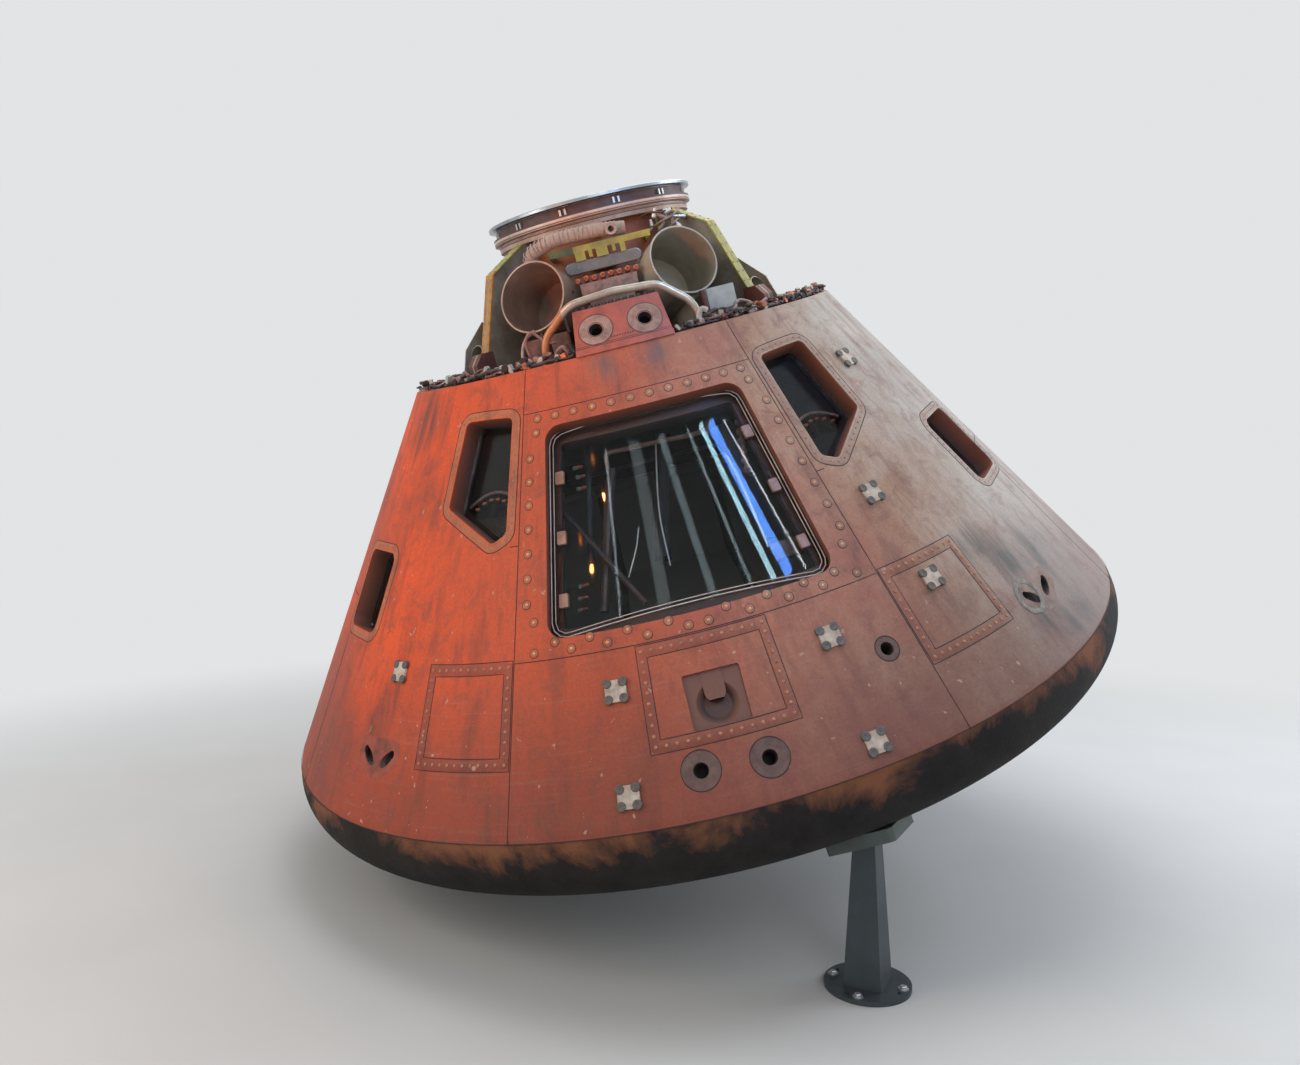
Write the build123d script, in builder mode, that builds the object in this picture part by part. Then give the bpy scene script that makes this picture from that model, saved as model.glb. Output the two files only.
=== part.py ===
# Three-seat conical crew re-entry capsule, forward cover off and side hatch out,
# leaning on a museum stand of three tapered posts. Millimetres, +Z up, floor at z = 0.
# The origin is on the floor under the centre of the capsule's widest circle.
# The hatch side faces -Y. Azimuths are degrees about the capsule's own axis, 0 at the
# hatch, positive towards +X. Heights count up the axis from the widest circle.
from build123d import *
from math import asin, cos, degrees, radians, sin, sqrt
import os

os.makedirs("parts", exist_ok=True)

# Place and lean of the capsule
CENTRE_H = 966.5        # floor to the centre of the widest circle
ROLL = 14.09            # lean towards -X, degrees
PITCH = 10.8            # lean towards the hatch side, degrees

# Outer surface
CORNER_RING_R = 1760.2  # circle that the rounded corner turns about
CORNER_R = 195.6        # the rounded corner itself
DISH_R = 4693.9         # spherical aft face
HALF_ANGLE = 33.0       # cone half angle, degrees
RIM_H = 1542.0          # top edge of the conical heat shield
AFT_SEAM_H = 77.0       # joint between the aft dish and the conical heat shield
SHIELD_REAR_AZ = 112.0  # joints between the side panels and the rear panel

# Walls and gaps
SHIELD_T = 50.0         # ablator with its steel backing
AFT_T = 65.0            # aft dish
CABIN_GAP = 60.0        # space between heat shield and pressure cabin
CABIN_T = 22.0          # pressure cabin wall
FLOOR_T = 30.0          # aft bulkhead
FLOOR_LIFT = 7.0        # aft bulkhead above the aft seam
DECK_T = 24.0           # forward bulkhead
RIM_STEP = 38.0         # forward bulkhead below the rim
SEAT = 0.3              # clearance of a piece on its seat
PANEL_GAP = 0.4         # joint between neighbouring shield panels
OUTSIDE = 100.0         # outlines that cut the cone start this far outside it
THROUGH = 500.0         # and go this deep, through shield and cabin wall

# Hatch opening in the conical shield, closed by a clear cover on a ledge
FRAME_AZ = 23.95        # half width of the frame plate, degrees
FRAME_LOW = 579.0
FRAME_RIM_GAP = 162.0   # strip between the frame plate and the rim
OPEN_AZ = 19.2          # half width of the opening, degrees
OPEN_BORDER = 58.0      # height of the frame plate above and below the opening
OPEN_CORNER_R = 62.0
COLLAR_T = 34.0         # wall round the opening, through to the cabin
COVER_DEPTH = 62.0      # clear cover below the outer surface
COVER_T = 10.0
COVER_LEDGE = 48.0      # ledge that the cover lies on
COVER_EDGE_GAP = 3.0
CLIP_L, CLIP_W, CLIP_T = 50.0, 34.0, 14.0
CLIP_AZ = 17.6
CLIP_SHARES = (0.18, 0.47, 0.76)    # clips up the opening, as shares of its height
CLIP_CORNER_R = 4.0

# Windows: a forward-looking pair beside the hatch and a square pair at the sides
WINDOW_BORDER = 36.0    # riveted border, flush with the shield
WINDOW_AZ = 33.0
WINDOW_DROP = 372.0     # middle of the forward windows below the rim
WINDOW_CORNER_R = 26.0
WINDOW_LEDGE = 20.0     # inner frame that the pane lies on
PANE_DEPTH = 96.0
PANE_T = 12.0
SIDE_WINDOW_AZ, SIDE_WINDOW_H = 60.5, 806.0
SIDE_WINDOW_W, SIDE_WINDOW_L = 320.0, 335.0
SIDE_CORNER_R = 45.0
# corners of the left and right forward window: azimuth, drop below the rim
WINDOW_CORNERS = (
    (26.6, 162.0),
    (39.0, 149.0),
    (40.0, 447.0),
    (29.0, 585.0),
    (26.4, 557.0),
)

# Flush panels in the lower part of the cone
ACCESS_AZ_OUT = 37.3    # outer edge of the bolted access panels, degrees
ACCESS_LOW, ACCESS_HIGH = 292.0, 576.0
VENT_AZ = 7.4           # half width of the vent panel, degrees
VENT_LOW, VENT_HIGH = 287.0, 555.0
VENT_DROP = 34.0        # pocket below the middle of the panel
VENT_POCKET_W, VENT_POCKET_L, VENT_POCKET_D = 196.0, 186.0, 12.0
VENT_POCKET_CORNER_R = 8.0
VENT_BOWL_R, VENT_BOWL_FLOOR_R, VENT_BOWL_D = 72.0, 46.0, 34.0
VENT_BOWL_DROP = 18.0   # bowl below the middle of the pocket
VENT_SPOUT_R, VENT_SPOUT_D = 36.0, 24.0
VENT_SPOUT_END = 14.0   # round end of the spout below the middle of the pocket
VENT_BORE_W, VENT_BORE_T, VENT_BORE_L = 56.0, 16.0, 60.0
VENT_BORE_TILT = 40.0

# Round thruster ports in the cone: azimuth, height, outer radius, bore radius
PORTS = (
    (-3.3, 205.0, 64.0, 26.0),
    (3.6, 195.0, 64.0, 26.0),
    (20.0, 367.0, 43.0, 24.0),
)
PORT_DEPTH = 44.0
BORE_TAPER = 0.75       # foot of a bore against its mouth

# Roll thruster pairs: one three-cornered liner each, two slanted nozzles that meet below
ROLL_AZ, ROLL_H = 45.3, 296.0
ROLL_AZIMUTHS = (-ROLL_AZ, ROLL_AZ, -180 + ROLL_AZ, 180 - ROLL_AZ)
ROLL_X, ROLL_Y = 88.0, 12.0     # starts of the two nozzles
ROLL_END_Y = -60.0      # where they meet
# corners of the liner: sideways, up the cone
ROLL_CORNERS = (
    (-138.0, 62.0),
    (138.0, 62.0),
    (138.0, -20.0),
    (30.0, -90.0),
    (-30.0, -90.0),
    (-138.0, -20.0),
)
ROLL_CORNER_R = 30.0
ROLL_BORE_R, ROLL_BORE_L = 21.0, 170.0
ROLL_BORE_D = 20.0      # start of the slanted bore below the skin
ROLL_BORE_TILT = 26.0   # slope of the bore out of the skin, degrees

# Square strut pads on the cone: azimuth, height
PADS = (
    (-10.9, 460.0),
    (14.3, 456.0),
    (-10.8, 172.0),
    (14.1, 145.0),
    (30.6, 498.0),
    (30.4, 812.0),
    (47.4, 1272.0),
    (-44.0, 560.0),
)
PAD_W, PAD_T, PAD_CORNER_R = 74.0, 9.0, 14.0

# Tunnel, docking ring and its hatch
TUNNEL_R, TUNNEL_T = 400.0, 12.0
TUNNEL_SKIRT = 40.0     # tunnel below the forward bulkhead
TUNNEL_L = 555.0        # tunnel from the forward bulkhead to the banded flange
BAND_T = 56.0           # banded flange
BAND_LOW_IN, BAND_LOW_T = 18.0, 24.0    # its lower band: step in from the lip, height
BAND_GROOVE_IN, BAND_GROOVE_T = 28.0, 4.0
BAND_BEVEL = 4.0
RING_L = 62.0           # docking ring
RING_OUT = 79.0         # its rim, lip and web outside the tunnel
RING_LIP_OUT = 68.0
RING_WEB_OUT = 46.0
RING_TOP_T, RING_LIP_T, RING_WEB_T = 17.0, 7.0, 8.0
RING_MOUTH_IN = 16.0    # bright face starts this far outside the tunnel
RING_EDGE = 3.0
LATCHES, LATCH_START = 12, 15.0
LATCH_W, LATCH_D, LATCH_L = 9.0, 10.0, 26.0
LATCH_GAP = 14.0        # between the two pins of a latch
TUNNEL_HATCH_RISE, TUNNEL_HATCH_T = 106.0, 34.0
TUNNEL_HATCH_BEVEL = 8.0
HATCH_BOSS_R, HATCH_BOSS_T = 96.0, 16.0
TUNNEL_LEDGE, TUNNEL_LEDGE_T = 26.0, 20.0

# Gussets between tunnel and deck
GUSSET_AZ = 45.0
GUSSET_T = 8.0
STRIP_W, STRIP_T = 48.0, 6.0
STRIP_TOP_W, STRIP_KNEE_DROP = 14.0, 3.0
GUSSET_FOOT_IN = 82.0   # foot in from the edge of the forward bulkhead
GUSSET_KNEE_IN, GUSSET_KNEE_DROP = 272.0, 106.0
GUSSET_TOP_OUT = 82.0   # top outside the tunnel
GUSSET_EDGE_W, GUSSET_EDGE_T = 40.0, 4.0    # riveted edge along the tunnel
FOOT_W, FOOT_OUT, FOOT_IN = 62.0, 22.0, 78.0
FOOT_H, FOOT_SHOULDER = 138.0, 96.0
FOOT_TOP_IN = 16.0

# Open drogue mortar cans
CAN_AZ = 24.5
CAN_IN, CAN_DROP = 190.0, 244.0     # mouth in from the bulkhead's edge, below the flange
CAN_BACK_GAP = 82.0     # between the cans' backs and the tunnel
CAN_TILT = 18.0         # mouth raised, degrees
CAN_R, CAN_T = 146.0, 4.0
CAN_BEAD_T, CAN_BEAD_L = 3.0, 7.0
CAN_WEB_T = 10.0
CAN_WEB_IN, CAN_WEB_END, CAN_WEB_FOOT = 40.0, 10.0, 30.0

# Thruster plate above the rim
THRUSTER_AZ = 11.3
THRUSTER_RISE = 171.0   # top of the plate above the rim
THRUSTER_T = 40.0
THRUSTER_PORT_AZ, THRUSTER_PORT_RISE = 6.0, 86.0
THRUSTER_PORT_R, THRUSTER_BORE_R = 66.0, 28.0
THRUSTER_PORT_DEPTH = 30.0
THRUSTER_LEDGE_T, THRUSTER_LEDGE_H = 6.0, 22.0      # strip along the plate's foot

# Small pieces on the deck
TUBE_R = 16.0
TUBE_IN = 107.0         # plane of the guard tube, in from the edge of the forward bulkhead
TUBE_BEND_R = 110.0
# guard tube corners: sideways, height above the rim
TUBE_CORNERS = (
    (-306.0, 91.0),
    (-180.0, 201.0),
    (6.0, 214.0),
    (182.0, 201.0),
    (301.0, 100.0),
)
TUBE_FOOT_X = 321.0
TUBE_FOOT_R, TUBE_FOOT_T = 30.0, 10.0
COMB_IN, COMB_OVER = 317.0, 27.0    # in from the bulkhead's edge, reach over each can
COMB_LIFT = 3.0         # comb bar above the cans
COMB_BAR, COMB_T = 26.0, 6.0
# comb teeth: sideways, width, length below the bar
COMB_TEETH = (
    (-88.0, 42.0, 34.0),
    (-44.0, 15.0, 28.0),
    (4.0, 48.0, 34.0),
    (54.0, 14.0, 26.0),
    (91.0, 22.0, 36.0),
)
STADIUM_IN, STADIUM_DROP = 337.0, 71.0      # drop below the comb
STADIUM_GAP, STADIUM_BAR, STADIUM_T = 23.0, 50.0, 14.0
STADIUM_EDGE = 5.0
STADIUM_ARM_W, STADIUM_ARM_H = 120.0, 24.0
STUD_IN, STUD_R, STUD_L = 58.0, 9.0, 8.0
MANIFOLD_IN, MANIFOLD_DROP = 277.0, 162.0   # drop below the comb
MANIFOLD_GAP, MANIFOLD_BLOCK_H, MANIFOLD_D = 67.0, 42.0, 44.0
MANIFOLD_PORTS, MANIFOLD_LOBE_R = 7, 15.0
UNION_R, UNION_L, UNION_RISE = 12.0, 24.0, 34.0
MANIFOLD_BACK_H = 50.0  # back plate of the unions, above the block's middle
MANIFOLD_LEG_T, MANIFOLD_LEG_IN = 10.0, 24.0
# pale plate on the deck beside the right gusset, on its leg
BOX_X, BOX_IN, BOX_RISE = 424.0, 171.0, 173.0
BOX_W, BOX_H, BOX_T = 112.0, 90.0, 26.0
BOX_LEG_W, BOX_LEG_T = 84.0, 60.0
BOX_CORNER_R = 6.0
DUCT_R = 29.0
# duct route: sideways, outside the tunnel, height above the comb
DUCT_ROUTE = (
    (-300.0, 70.0, -42.0),
    (-290.0, 120.0, 33.0),
    (-190.0, 160.0, 65.0),
    (0.0, 175.0, 63.0),
    (118.0, 160.0, 47.0),
)
DUCT_BEND_R = 50.0
DUCT_ARM_W, DUCT_ARM_T = 60.0, 12.0
SOCKET_X, SOCKET_R, SOCKET_BORE, SOCKET_L = 61.0, 24.0, 13.0, 48.0
SOCKET_DROP = 12.0      # socket below the duct's middle
PILOT_AZ, PILOT_IN = 51.5, 157.0    # mouth in from the edge of the forward bulkhead
PILOT_R, PILOT_T, PILOT_L, PILOT_TILT = 54.0, 4.0, 190.0, 20.0
PILOT_LIFT = 12.0       # lower end above the forward bulkhead
PILOT_WEB_T = 6.0
# three-cornered web beside the tube: out from the mouth's radius, height above the bulkhead
PILOT_WEB = (
    (-200.0, 0.0),
    (-160.0, 190.0),
    (-106.0, 271.0),
    (10.0, 168.0),
    (52.0, 60.0),
    (70.0, 0.0),
)
# small boxes on the forward bulkhead: sideways, in from its edge, width, depth, height
JUNCTION_BOXES = (
    (-352.0, 205.0, 74.0, 70.0, 141.0),
    (-247.0, 205.0, 78.0, 60.0, 144.0),
)
RELAY_BLOCKS = ((351.0, 165.0, 24.0, 60.0, 172.0),)
CONNECTOR_BOXES = ((487.0, 260.0, 38.0, 44.0, 68.0),)
SMALL_EDGE = 8.0

# Crew cabin
COUCH_PITCH, COUCH_W, COUCH_PAD_T = 560.0, 500.0, 60.0
# couch slabs from head to foot: middle away from the hatch, height, length, slope in degrees
COUCH_SLABS = (
    (-1010.0, 432.0, 240.0, -6.0),
    (-500.0, 415.0, 860.0, 0.0),
    (0.0, 610.0, 470.0, 66.0),
    (330.0, 800.0, 520.0, -8.0),
)
BEAM_W, BEAM_H, BEAM_L = 60.0, 50.0, 1880.0
BEAM_YS = (-760.0, -220.0)
BEAM_LEG_X = 700.0
STRUT_R = 26.0
STRUT_TOP_AZ, STRUT_TOP_IN = 45.0, 165.0
CONSOLE_W, CONSOLE_L, CONSOLE_T, CONSOLE_SLOPE = 1120.0, 700.0, 70.0, -21.0
CONSOLE_Y, CONSOLE_H = 180.0, 1105.0
CONSOLE_POST_X, CONSOLE_POST_W = 480.0, 60.0
BAY_AZ, BAY_R, BAY_TOP = 52.0, 1180.0, 760.0

# Stand: posts about the origin, the first in the photo's foreground
POST_RING_R = 1700.0
POST_AZ = 17.6          # first post, degrees from -Y towards +X
POSTS = ("front", "right", "left")
POST_FOOT_W, POST_HEAD_W = 131.0, 84.0
FLANGE_R, FLANGE_T = 148.0, 16.0
SADDLE_W, SADDLE_T, SADDLE_CORNER_R = 250.0, 44.0, 20.0
FOOT_BOLT_PCD, FOOT_BOLT_R, FOOT_BOLTS = 244.0, 7.0, 4
FOOT_BOLT_AZ = 45.0

# Worked out from the sizes above
SIN_H = sin(radians(HALF_ANGLE))
COS_H = cos(radians(HALF_ANGLE))
CABIN_OUT = SHIELD_T + CABIN_GAP
CABIN_IN = CABIN_OUT + CABIN_T
DECK_TOP = RIM_H - RIM_STEP
DECK_LOW = DECK_TOP - DECK_T
FRAME_HIGH = RIM_H - FRAME_RIM_GAP
OPEN_LOW = FRAME_LOW + OPEN_BORDER
OPEN_HIGH = FRAME_HIGH - OPEN_BORDER
WINDOW_H = RIM_H - WINDOW_DROP
FLANGE_H = DECK_TOP + TUNNEL_L
RING_H = FLANGE_H + BAND_T
RING_TOP = RING_H + RING_L
RING_R = TUNNEL_R + RING_OUT
RING_LIP_R = TUNNEL_R + RING_LIP_OUT
RING_WEB_R = TUNNEL_R + RING_WEB_OUT
TUNNEL_HATCH_H = DECK_TOP + TUNNEL_HATCH_RISE
CAN_MOUTH_H = FLANGE_H - CAN_DROP
CAN_TOP = CAN_MOUTH_H + CAN_R * cos(radians(CAN_TILT))
COMB_H = CAN_TOP + COMB_LIFT
STADIUM_H = COMB_H - STADIUM_DROP
MANIFOLD_H = COMB_H - MANIFOLD_DROP
PILOT_DROP = PILOT_L * sin(radians(PILOT_TILT)) + PILOT_R * cos(radians(PILOT_TILT))
PILOT_MOUTH_H = DECK_TOP + PILOT_LIFT + PILOT_DROP
FLOOR_LOW = AFT_SEAM_H + PANEL_GAP + FLOOR_LIFT
FLOOR_TOP = FLOOR_LOW + FLOOR_T
DISH_CENTRE_H = sqrt((DISH_R - CORNER_R) ** 2 - CORNER_RING_R**2)
DISH_TURN = degrees(asin(CORNER_RING_R / (DISH_R - CORNER_R)))
JOINT_AZ = degrees(PANEL_GAP / CORNER_RING_R) / 2

CAPSULE = Plane(
    origin=(0, 0, CENTRE_H),
    x_dir=(cos(radians(ROLL)), 0, sin(radians(ROLL))),
    z_dir=(
        -sin(radians(ROLL)) * cos(radians(PITCH)),
        -sin(radians(PITCH)),
        cos(radians(ROLL)) * cos(radians(PITCH)),
    ),
)
AXIS = Axis(CAPSULE.origin, CAPSULE.z_dir)


def skin_r(height, depth=0.0):
    """Radius of the cone at a height, a depth below its outer surface."""
    return CORNER_RING_R + (CORNER_R - depth - height * SIN_H) / COS_H


DECK_R = skin_r(DECK_TOP, SHIELD_T)     # edge of the forward bulkhead
GUSSET_FOOT_R = DECK_R - GUSSET_FOOT_IN
TUBE_Y = DECK_R - TUBE_IN
PILOT_MOUTH_R = DECK_R - PILOT_IN
CAN_MOUTH_R = DECK_R - CAN_IN
CAN_L = (CAN_MOUTH_R - TUNNEL_R - CAN_BACK_GAP) / cos(radians(CAN_TILT))
CANS_APART = 2 * (CAN_MOUTH_R * sin(radians(CAN_AZ)) - CAN_R * cos(radians(CAN_AZ)))
COMB_Y = DECK_R - COMB_IN
COMB_W = CANS_APART + 2 * COMB_OVER
STADIUM_Y = DECK_R - STADIUM_IN
STADIUM_W = CANS_APART - 2 * STADIUM_GAP
MANIFOLD_Y = DECK_R - MANIFOLD_IN
MANIFOLD_W = CANS_APART - 2 * MANIFOLD_GAP


def outward(azimuth):
    """Unit direction away from the axis."""
    turn = radians(azimuth)
    return CAPSULE.x_dir * sin(turn) - CAPSULE.y_dir * cos(turn)


def at(sideways, back, height):
    """Point by its distance sideways, back from the hatch side and up the axis."""
    return CAPSULE.origin + CAPSULE.x_dir * sideways + CAPSULE.y_dir * back + CAPSULE.z_dir * height


def level(height):
    """Plane square to the axis: x sideways, y away from the hatch."""
    return CAPSULE.offset(height)


def meridian(azimuth):
    """Plane that holds the axis: x outward, y up the axis."""
    out = outward(azimuth)
    return Plane(origin=CAPSULE.origin, x_dir=out, z_dir=out.cross(CAPSULE.z_dir))


def facing(back):
    """Plane seen square on from the hatch side: x sideways, y up the axis, z to the hatch side."""
    return Plane(origin=at(0, back, 0), x_dir=CAPSULE.x_dir, z_dir=-CAPSULE.y_dir)


def sideways(offset):
    """Plane seen from the right: x away from the hatch, y up the axis."""
    return Plane(origin=at(offset, 0, 0), x_dir=CAPSULE.y_dir, z_dir=CAPSULE.x_dir)


def tilted(azimuth, radius, height, tilt):
    """Plane of a tube's mouth that looks outward and is raised by a tilt."""
    out = outward(azimuth)
    origin = CAPSULE.origin + out * radius + CAPSULE.z_dir * height
    normal = out * cos(radians(tilt)) + CAPSULE.z_dir * sin(radians(tilt))
    return Plane(origin=origin, x_dir=outward(azimuth + 90), z_dir=normal)


def skin(azimuth, height, proud=0.0):
    """Plane that lies on the cone: x round it, y up the slope, z straight out."""
    return tilted(azimuth, skin_r(height), height, HALF_ANGLE).offset(proud)


def on_skin(plane_az, plane_h, azimuth, height):
    """A point of the cone's surface, as x and y in the plane skin(plane_az, plane_h)."""
    turn = radians(azimuth - plane_az)
    across = skin_r(height) * sin(turn)
    drop = skin_r(height) * cos(turn) - skin_r(plane_h)
    return across, (height - plane_h) * COS_H - drop * SIN_H


def wall_section(low, high, outer, inner):
    """Draws the section of a straight conical wall between two heights and two depths."""
    Polyline(
        (skin_r(low, outer), low),
        (skin_r(high, outer), high),
        (skin_r(high, inner), high),
        (skin_r(low, inner), low),
        close=True,
    )


def corner_angle(height, radius):
    """Angle round the corner, up from the widest circle, at a height."""
    return degrees(asin(height / radius))


def shield_section(high):
    """Draws the section of the conical shield from the aft seam up, rounded at its foot."""
    inner_r = CORNER_R - SHIELD_T
    low = AFT_SEAM_H + PANEL_GAP
    low_out = corner_angle(low, CORNER_R)
    low_in = corner_angle(low, inner_r)
    foot = CenterArc((CORNER_RING_R, 0), CORNER_R, low_out, HALF_ANGLE - low_out)
    heel = CenterArc((CORNER_RING_R, 0), inner_r, HALF_ANGLE, low_in - HALF_ANGLE)
    Polyline(foot @ 1, (skin_r(high), high), (skin_r(high, SHIELD_T), high), heel @ 0)
    Line(heel @ 1, foot @ 0)


def hatch_outline(growth=0.0):
    """The hatch opening in the plane of the cone at azimuth 0, larger by a growth."""
    mid_h = (OPEN_LOW + OPEN_HIGH) / 2
    low_left = on_skin(0, mid_h, -OPEN_AZ, OPEN_LOW)
    low_mid = on_skin(0, mid_h, 0, OPEN_LOW)
    low_right = on_skin(0, mid_h, OPEN_AZ, OPEN_LOW)
    high_left = on_skin(0, mid_h, -OPEN_AZ, OPEN_HIGH)
    high_mid = on_skin(0, mid_h, 0, OPEN_HIGH)
    high_right = on_skin(0, mid_h, OPEN_AZ, OPEN_HIGH)
    with BuildSketch(Plane.XY) as outline:
        with BuildLine():
            ThreePointArc(low_left, low_mid, low_right)
            Line(low_right, high_right)
            ThreePointArc(high_right, high_mid, high_left)
            Line(high_left, low_left)
        make_face()
        fillet(vertices(), radius=OPEN_CORNER_R)
        if growth:
            offset(amount=growth, kind=Kind.ARC, mode=Mode.REPLACE)
    return outline.sketch


HATCH_PLANE = skin(0, (OPEN_LOW + OPEN_HIGH) / 2)


def window_outline(side, growth=0.0):
    """A forward window's opening in its own plane, larger by a growth."""
    corners = [
        on_skin(WINDOW_AZ, WINDOW_H, azimuth, RIM_H - drop) for azimuth, drop in WINDOW_CORNERS
    ]
    with BuildSketch(Plane.XY) as outline:
        with BuildLine():
            Polyline(*[(side * across, up) for across, up in corners], close=True)
        make_face()
        fillet(vertices(), radius=WINDOW_CORNER_R)
        if growth:
            offset(amount=growth, kind=Kind.ARC, mode=Mode.REPLACE)
    return outline.sketch


def side_window_outline(growth=0.0):
    """A side window's opening in its own plane, larger by a growth."""
    with BuildSketch(Plane.XY) as outline:
        RectangleRounded(
            SIDE_WINDOW_W + 2 * growth,
            SIDE_WINDOW_L + 2 * growth,
            SIDE_CORNER_R + growth,
        )
    return outline.sketch


def roll_outline(growth=0.0):
    """A roll thruster pair's liner in its own plane, larger by a growth."""
    with BuildSketch(Plane.XY) as outline:
        with BuildLine():
            Polyline(*ROLL_CORNERS, close=True)
        make_face()
        fillet(vertices(), radius=ROLL_CORNER_R)
        if growth:
            offset(amount=growth, kind=Kind.ARC, mode=Mode.REPLACE)
    return outline.sketch


def save(piece, name):
    """Labels a finished piece and writes it."""
    piece.part.label = name
    export_step(piece.part, f"parts/{name}.step")


# Aft heat shield: spherical dish with a rounded corner, one shell of even thickness
with BuildPart() as aft_heat_shield:
    with BuildSketch(meridian(0)):
        with BuildLine():
            inner_r = CORNER_R - AFT_T
            turn_out = 90 - DISH_TURN + corner_angle(AFT_SEAM_H, CORNER_R)
            turn_in = 90 - DISH_TURN + corner_angle(AFT_SEAM_H, inner_r)
            face = CenterArc((0, DISH_CENTRE_H), DISH_R, -90, DISH_TURN)
            corner = CenterArc((CORNER_RING_R, 0), CORNER_R, -90 + DISH_TURN, turn_out)
            back = CenterArc((0, DISH_CENTRE_H), DISH_R - AFT_T, -90, DISH_TURN)
            heel = CenterArc((CORNER_RING_R, 0), inner_r, -90 + DISH_TURN, turn_in)
            Line(corner @ 1, heel @ 1)
            Line(back @ 0, face @ 0)
        make_face()
    revolve(axis=AXIS)
save(aft_heat_shield, "aft_heat_shield")


# Space that the ports take out of the shield: every liner's seat, and its bore right through
with BuildPart() as port_cuts:
    for azimuth, height, radius, bore in PORTS:
        mouth = skin(azimuth, height, OUTSIDE)
        with BuildSketch(mouth):
            Circle(radius + SEAT)
        extrude(amount=-OUTSIDE - PORT_DEPTH - SEAT)
        with BuildSketch(mouth):
            Circle(bore * BORE_TAPER)
        extrude(amount=-OUTSIDE - 2 * SHIELD_T)
    for azimuth in ROLL_AZIMUTHS:
        mouth = skin(azimuth, ROLL_H, OUTSIDE)
        with BuildSketch(mouth):
            add(roll_outline(SEAT))
        extrude(amount=-OUTSIDE - PORT_DEPTH - SEAT)
        with BuildSketch(mouth):
            with Locations((-ROLL_X, ROLL_Y), (ROLL_X, ROLL_Y)):
                Circle(ROLL_BORE_R * BORE_TAPER)
        extrude(amount=-OUTSIDE - 2 * SHIELD_T)

# Side panels of the conical shield: name, side of the hatch
for name, side in (("shield_left", -1), ("shield_right", 1)):
    low_az = FRAME_AZ + JOINT_AZ
    high_az = SHIELD_REAR_AZ - JOINT_AZ
    start = low_az if side > 0 else -high_az
    with BuildPart() as panel:
        with BuildSketch(meridian(start)):
            with BuildLine():
                shield_section(RIM_H)
            make_face()
        revolve(axis=AXIS, revolution_arc=high_az - low_az)
        # opening of the bolted access panel beside the hatch's lower corner
        notch_az = ACCESS_AZ_OUT + JOINT_AZ
        with BuildSketch(meridian(FRAME_AZ - 1 if side > 0 else -notch_az)):
            with BuildLine():
                wall_section(ACCESS_LOW - PANEL_GAP, ACCESS_HIGH + PANEL_GAP, -10, SHIELD_T + 10)
            make_face()
        revolve(axis=AXIS, revolution_arc=notch_az - FRAME_AZ + 1, mode=Mode.SUBTRACT)
        # forward window and side window
        with BuildSketch(skin(side * WINDOW_AZ, WINDOW_H, OUTSIDE)):
            add(window_outline(side, WINDOW_BORDER + SEAT))
        with BuildSketch(skin(side * SIDE_WINDOW_AZ, SIDE_WINDOW_H, OUTSIDE)):
            add(side_window_outline(WINDOW_BORDER + SEAT))
        extrude(amount=-THROUGH, mode=Mode.SUBTRACT)
        add(port_cuts.part, mode=Mode.SUBTRACT)
    save(panel, name)

# Rear panel
with BuildPart() as shield_rear:
    with BuildSketch(meridian(SHIELD_REAR_AZ + JOINT_AZ)):
        with BuildLine():
            shield_section(RIM_H)
        make_face()
    revolve(axis=AXIS, revolution_arc=360 - 2 * (SHIELD_REAR_AZ + JOINT_AZ))
    add(port_cuts.part, mode=Mode.SUBTRACT)
save(shield_rear, "shield_rear")

# Front panel below the hatch, with the pocket of the vent panel
front_az = FRAME_AZ - JOINT_AZ
with BuildPart() as shield_front_lower:
    with BuildSketch(meridian(-front_az)):
        with BuildLine():
            shield_section(FRAME_LOW - PANEL_GAP)
        make_face()
    revolve(axis=AXIS, revolution_arc=2 * front_az)
    vent_cut_az = VENT_AZ + JOINT_AZ
    with BuildSketch(meridian(-vent_cut_az)):
        with BuildLine():
            wall_section(VENT_LOW - PANEL_GAP, VENT_HIGH + PANEL_GAP, -10, SHIELD_T + 10)
        make_face()
    revolve(axis=AXIS, revolution_arc=2 * vent_cut_az, mode=Mode.SUBTRACT)
    add(port_cuts.part, mode=Mode.SUBTRACT)
save(shield_front_lower, "shield_front_lower")

# Front strip between the hatch frame and the rim
with BuildPart() as shield_front_upper:
    with BuildSketch(meridian(-front_az)):
        with BuildLine():
            wall_section(FRAME_HIGH + PANEL_GAP, RIM_H, 0, SHIELD_T)
        make_face()
    revolve(axis=AXIS, revolution_arc=2 * front_az)
save(shield_front_upper, "shield_front_upper")

# Space that the clear cover and the open recess take out of the hatch frame
with BuildPart() as hatch_recess:
    with BuildSketch(HATCH_PLANE.offset(OUTSIDE)):
        add(hatch_outline())
    extrude(amount=-THROUGH)
    with BuildSketch(meridian(-FRAME_AZ)):
        with BuildLine():
            wall_section(FRAME_LOW, FRAME_HIGH, -20, COVER_DEPTH + COVER_T + SEAT)
        make_face()
    revolve(axis=AXIS, revolution_arc=2 * FRAME_AZ, mode=Mode.INTERSECT)

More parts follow.
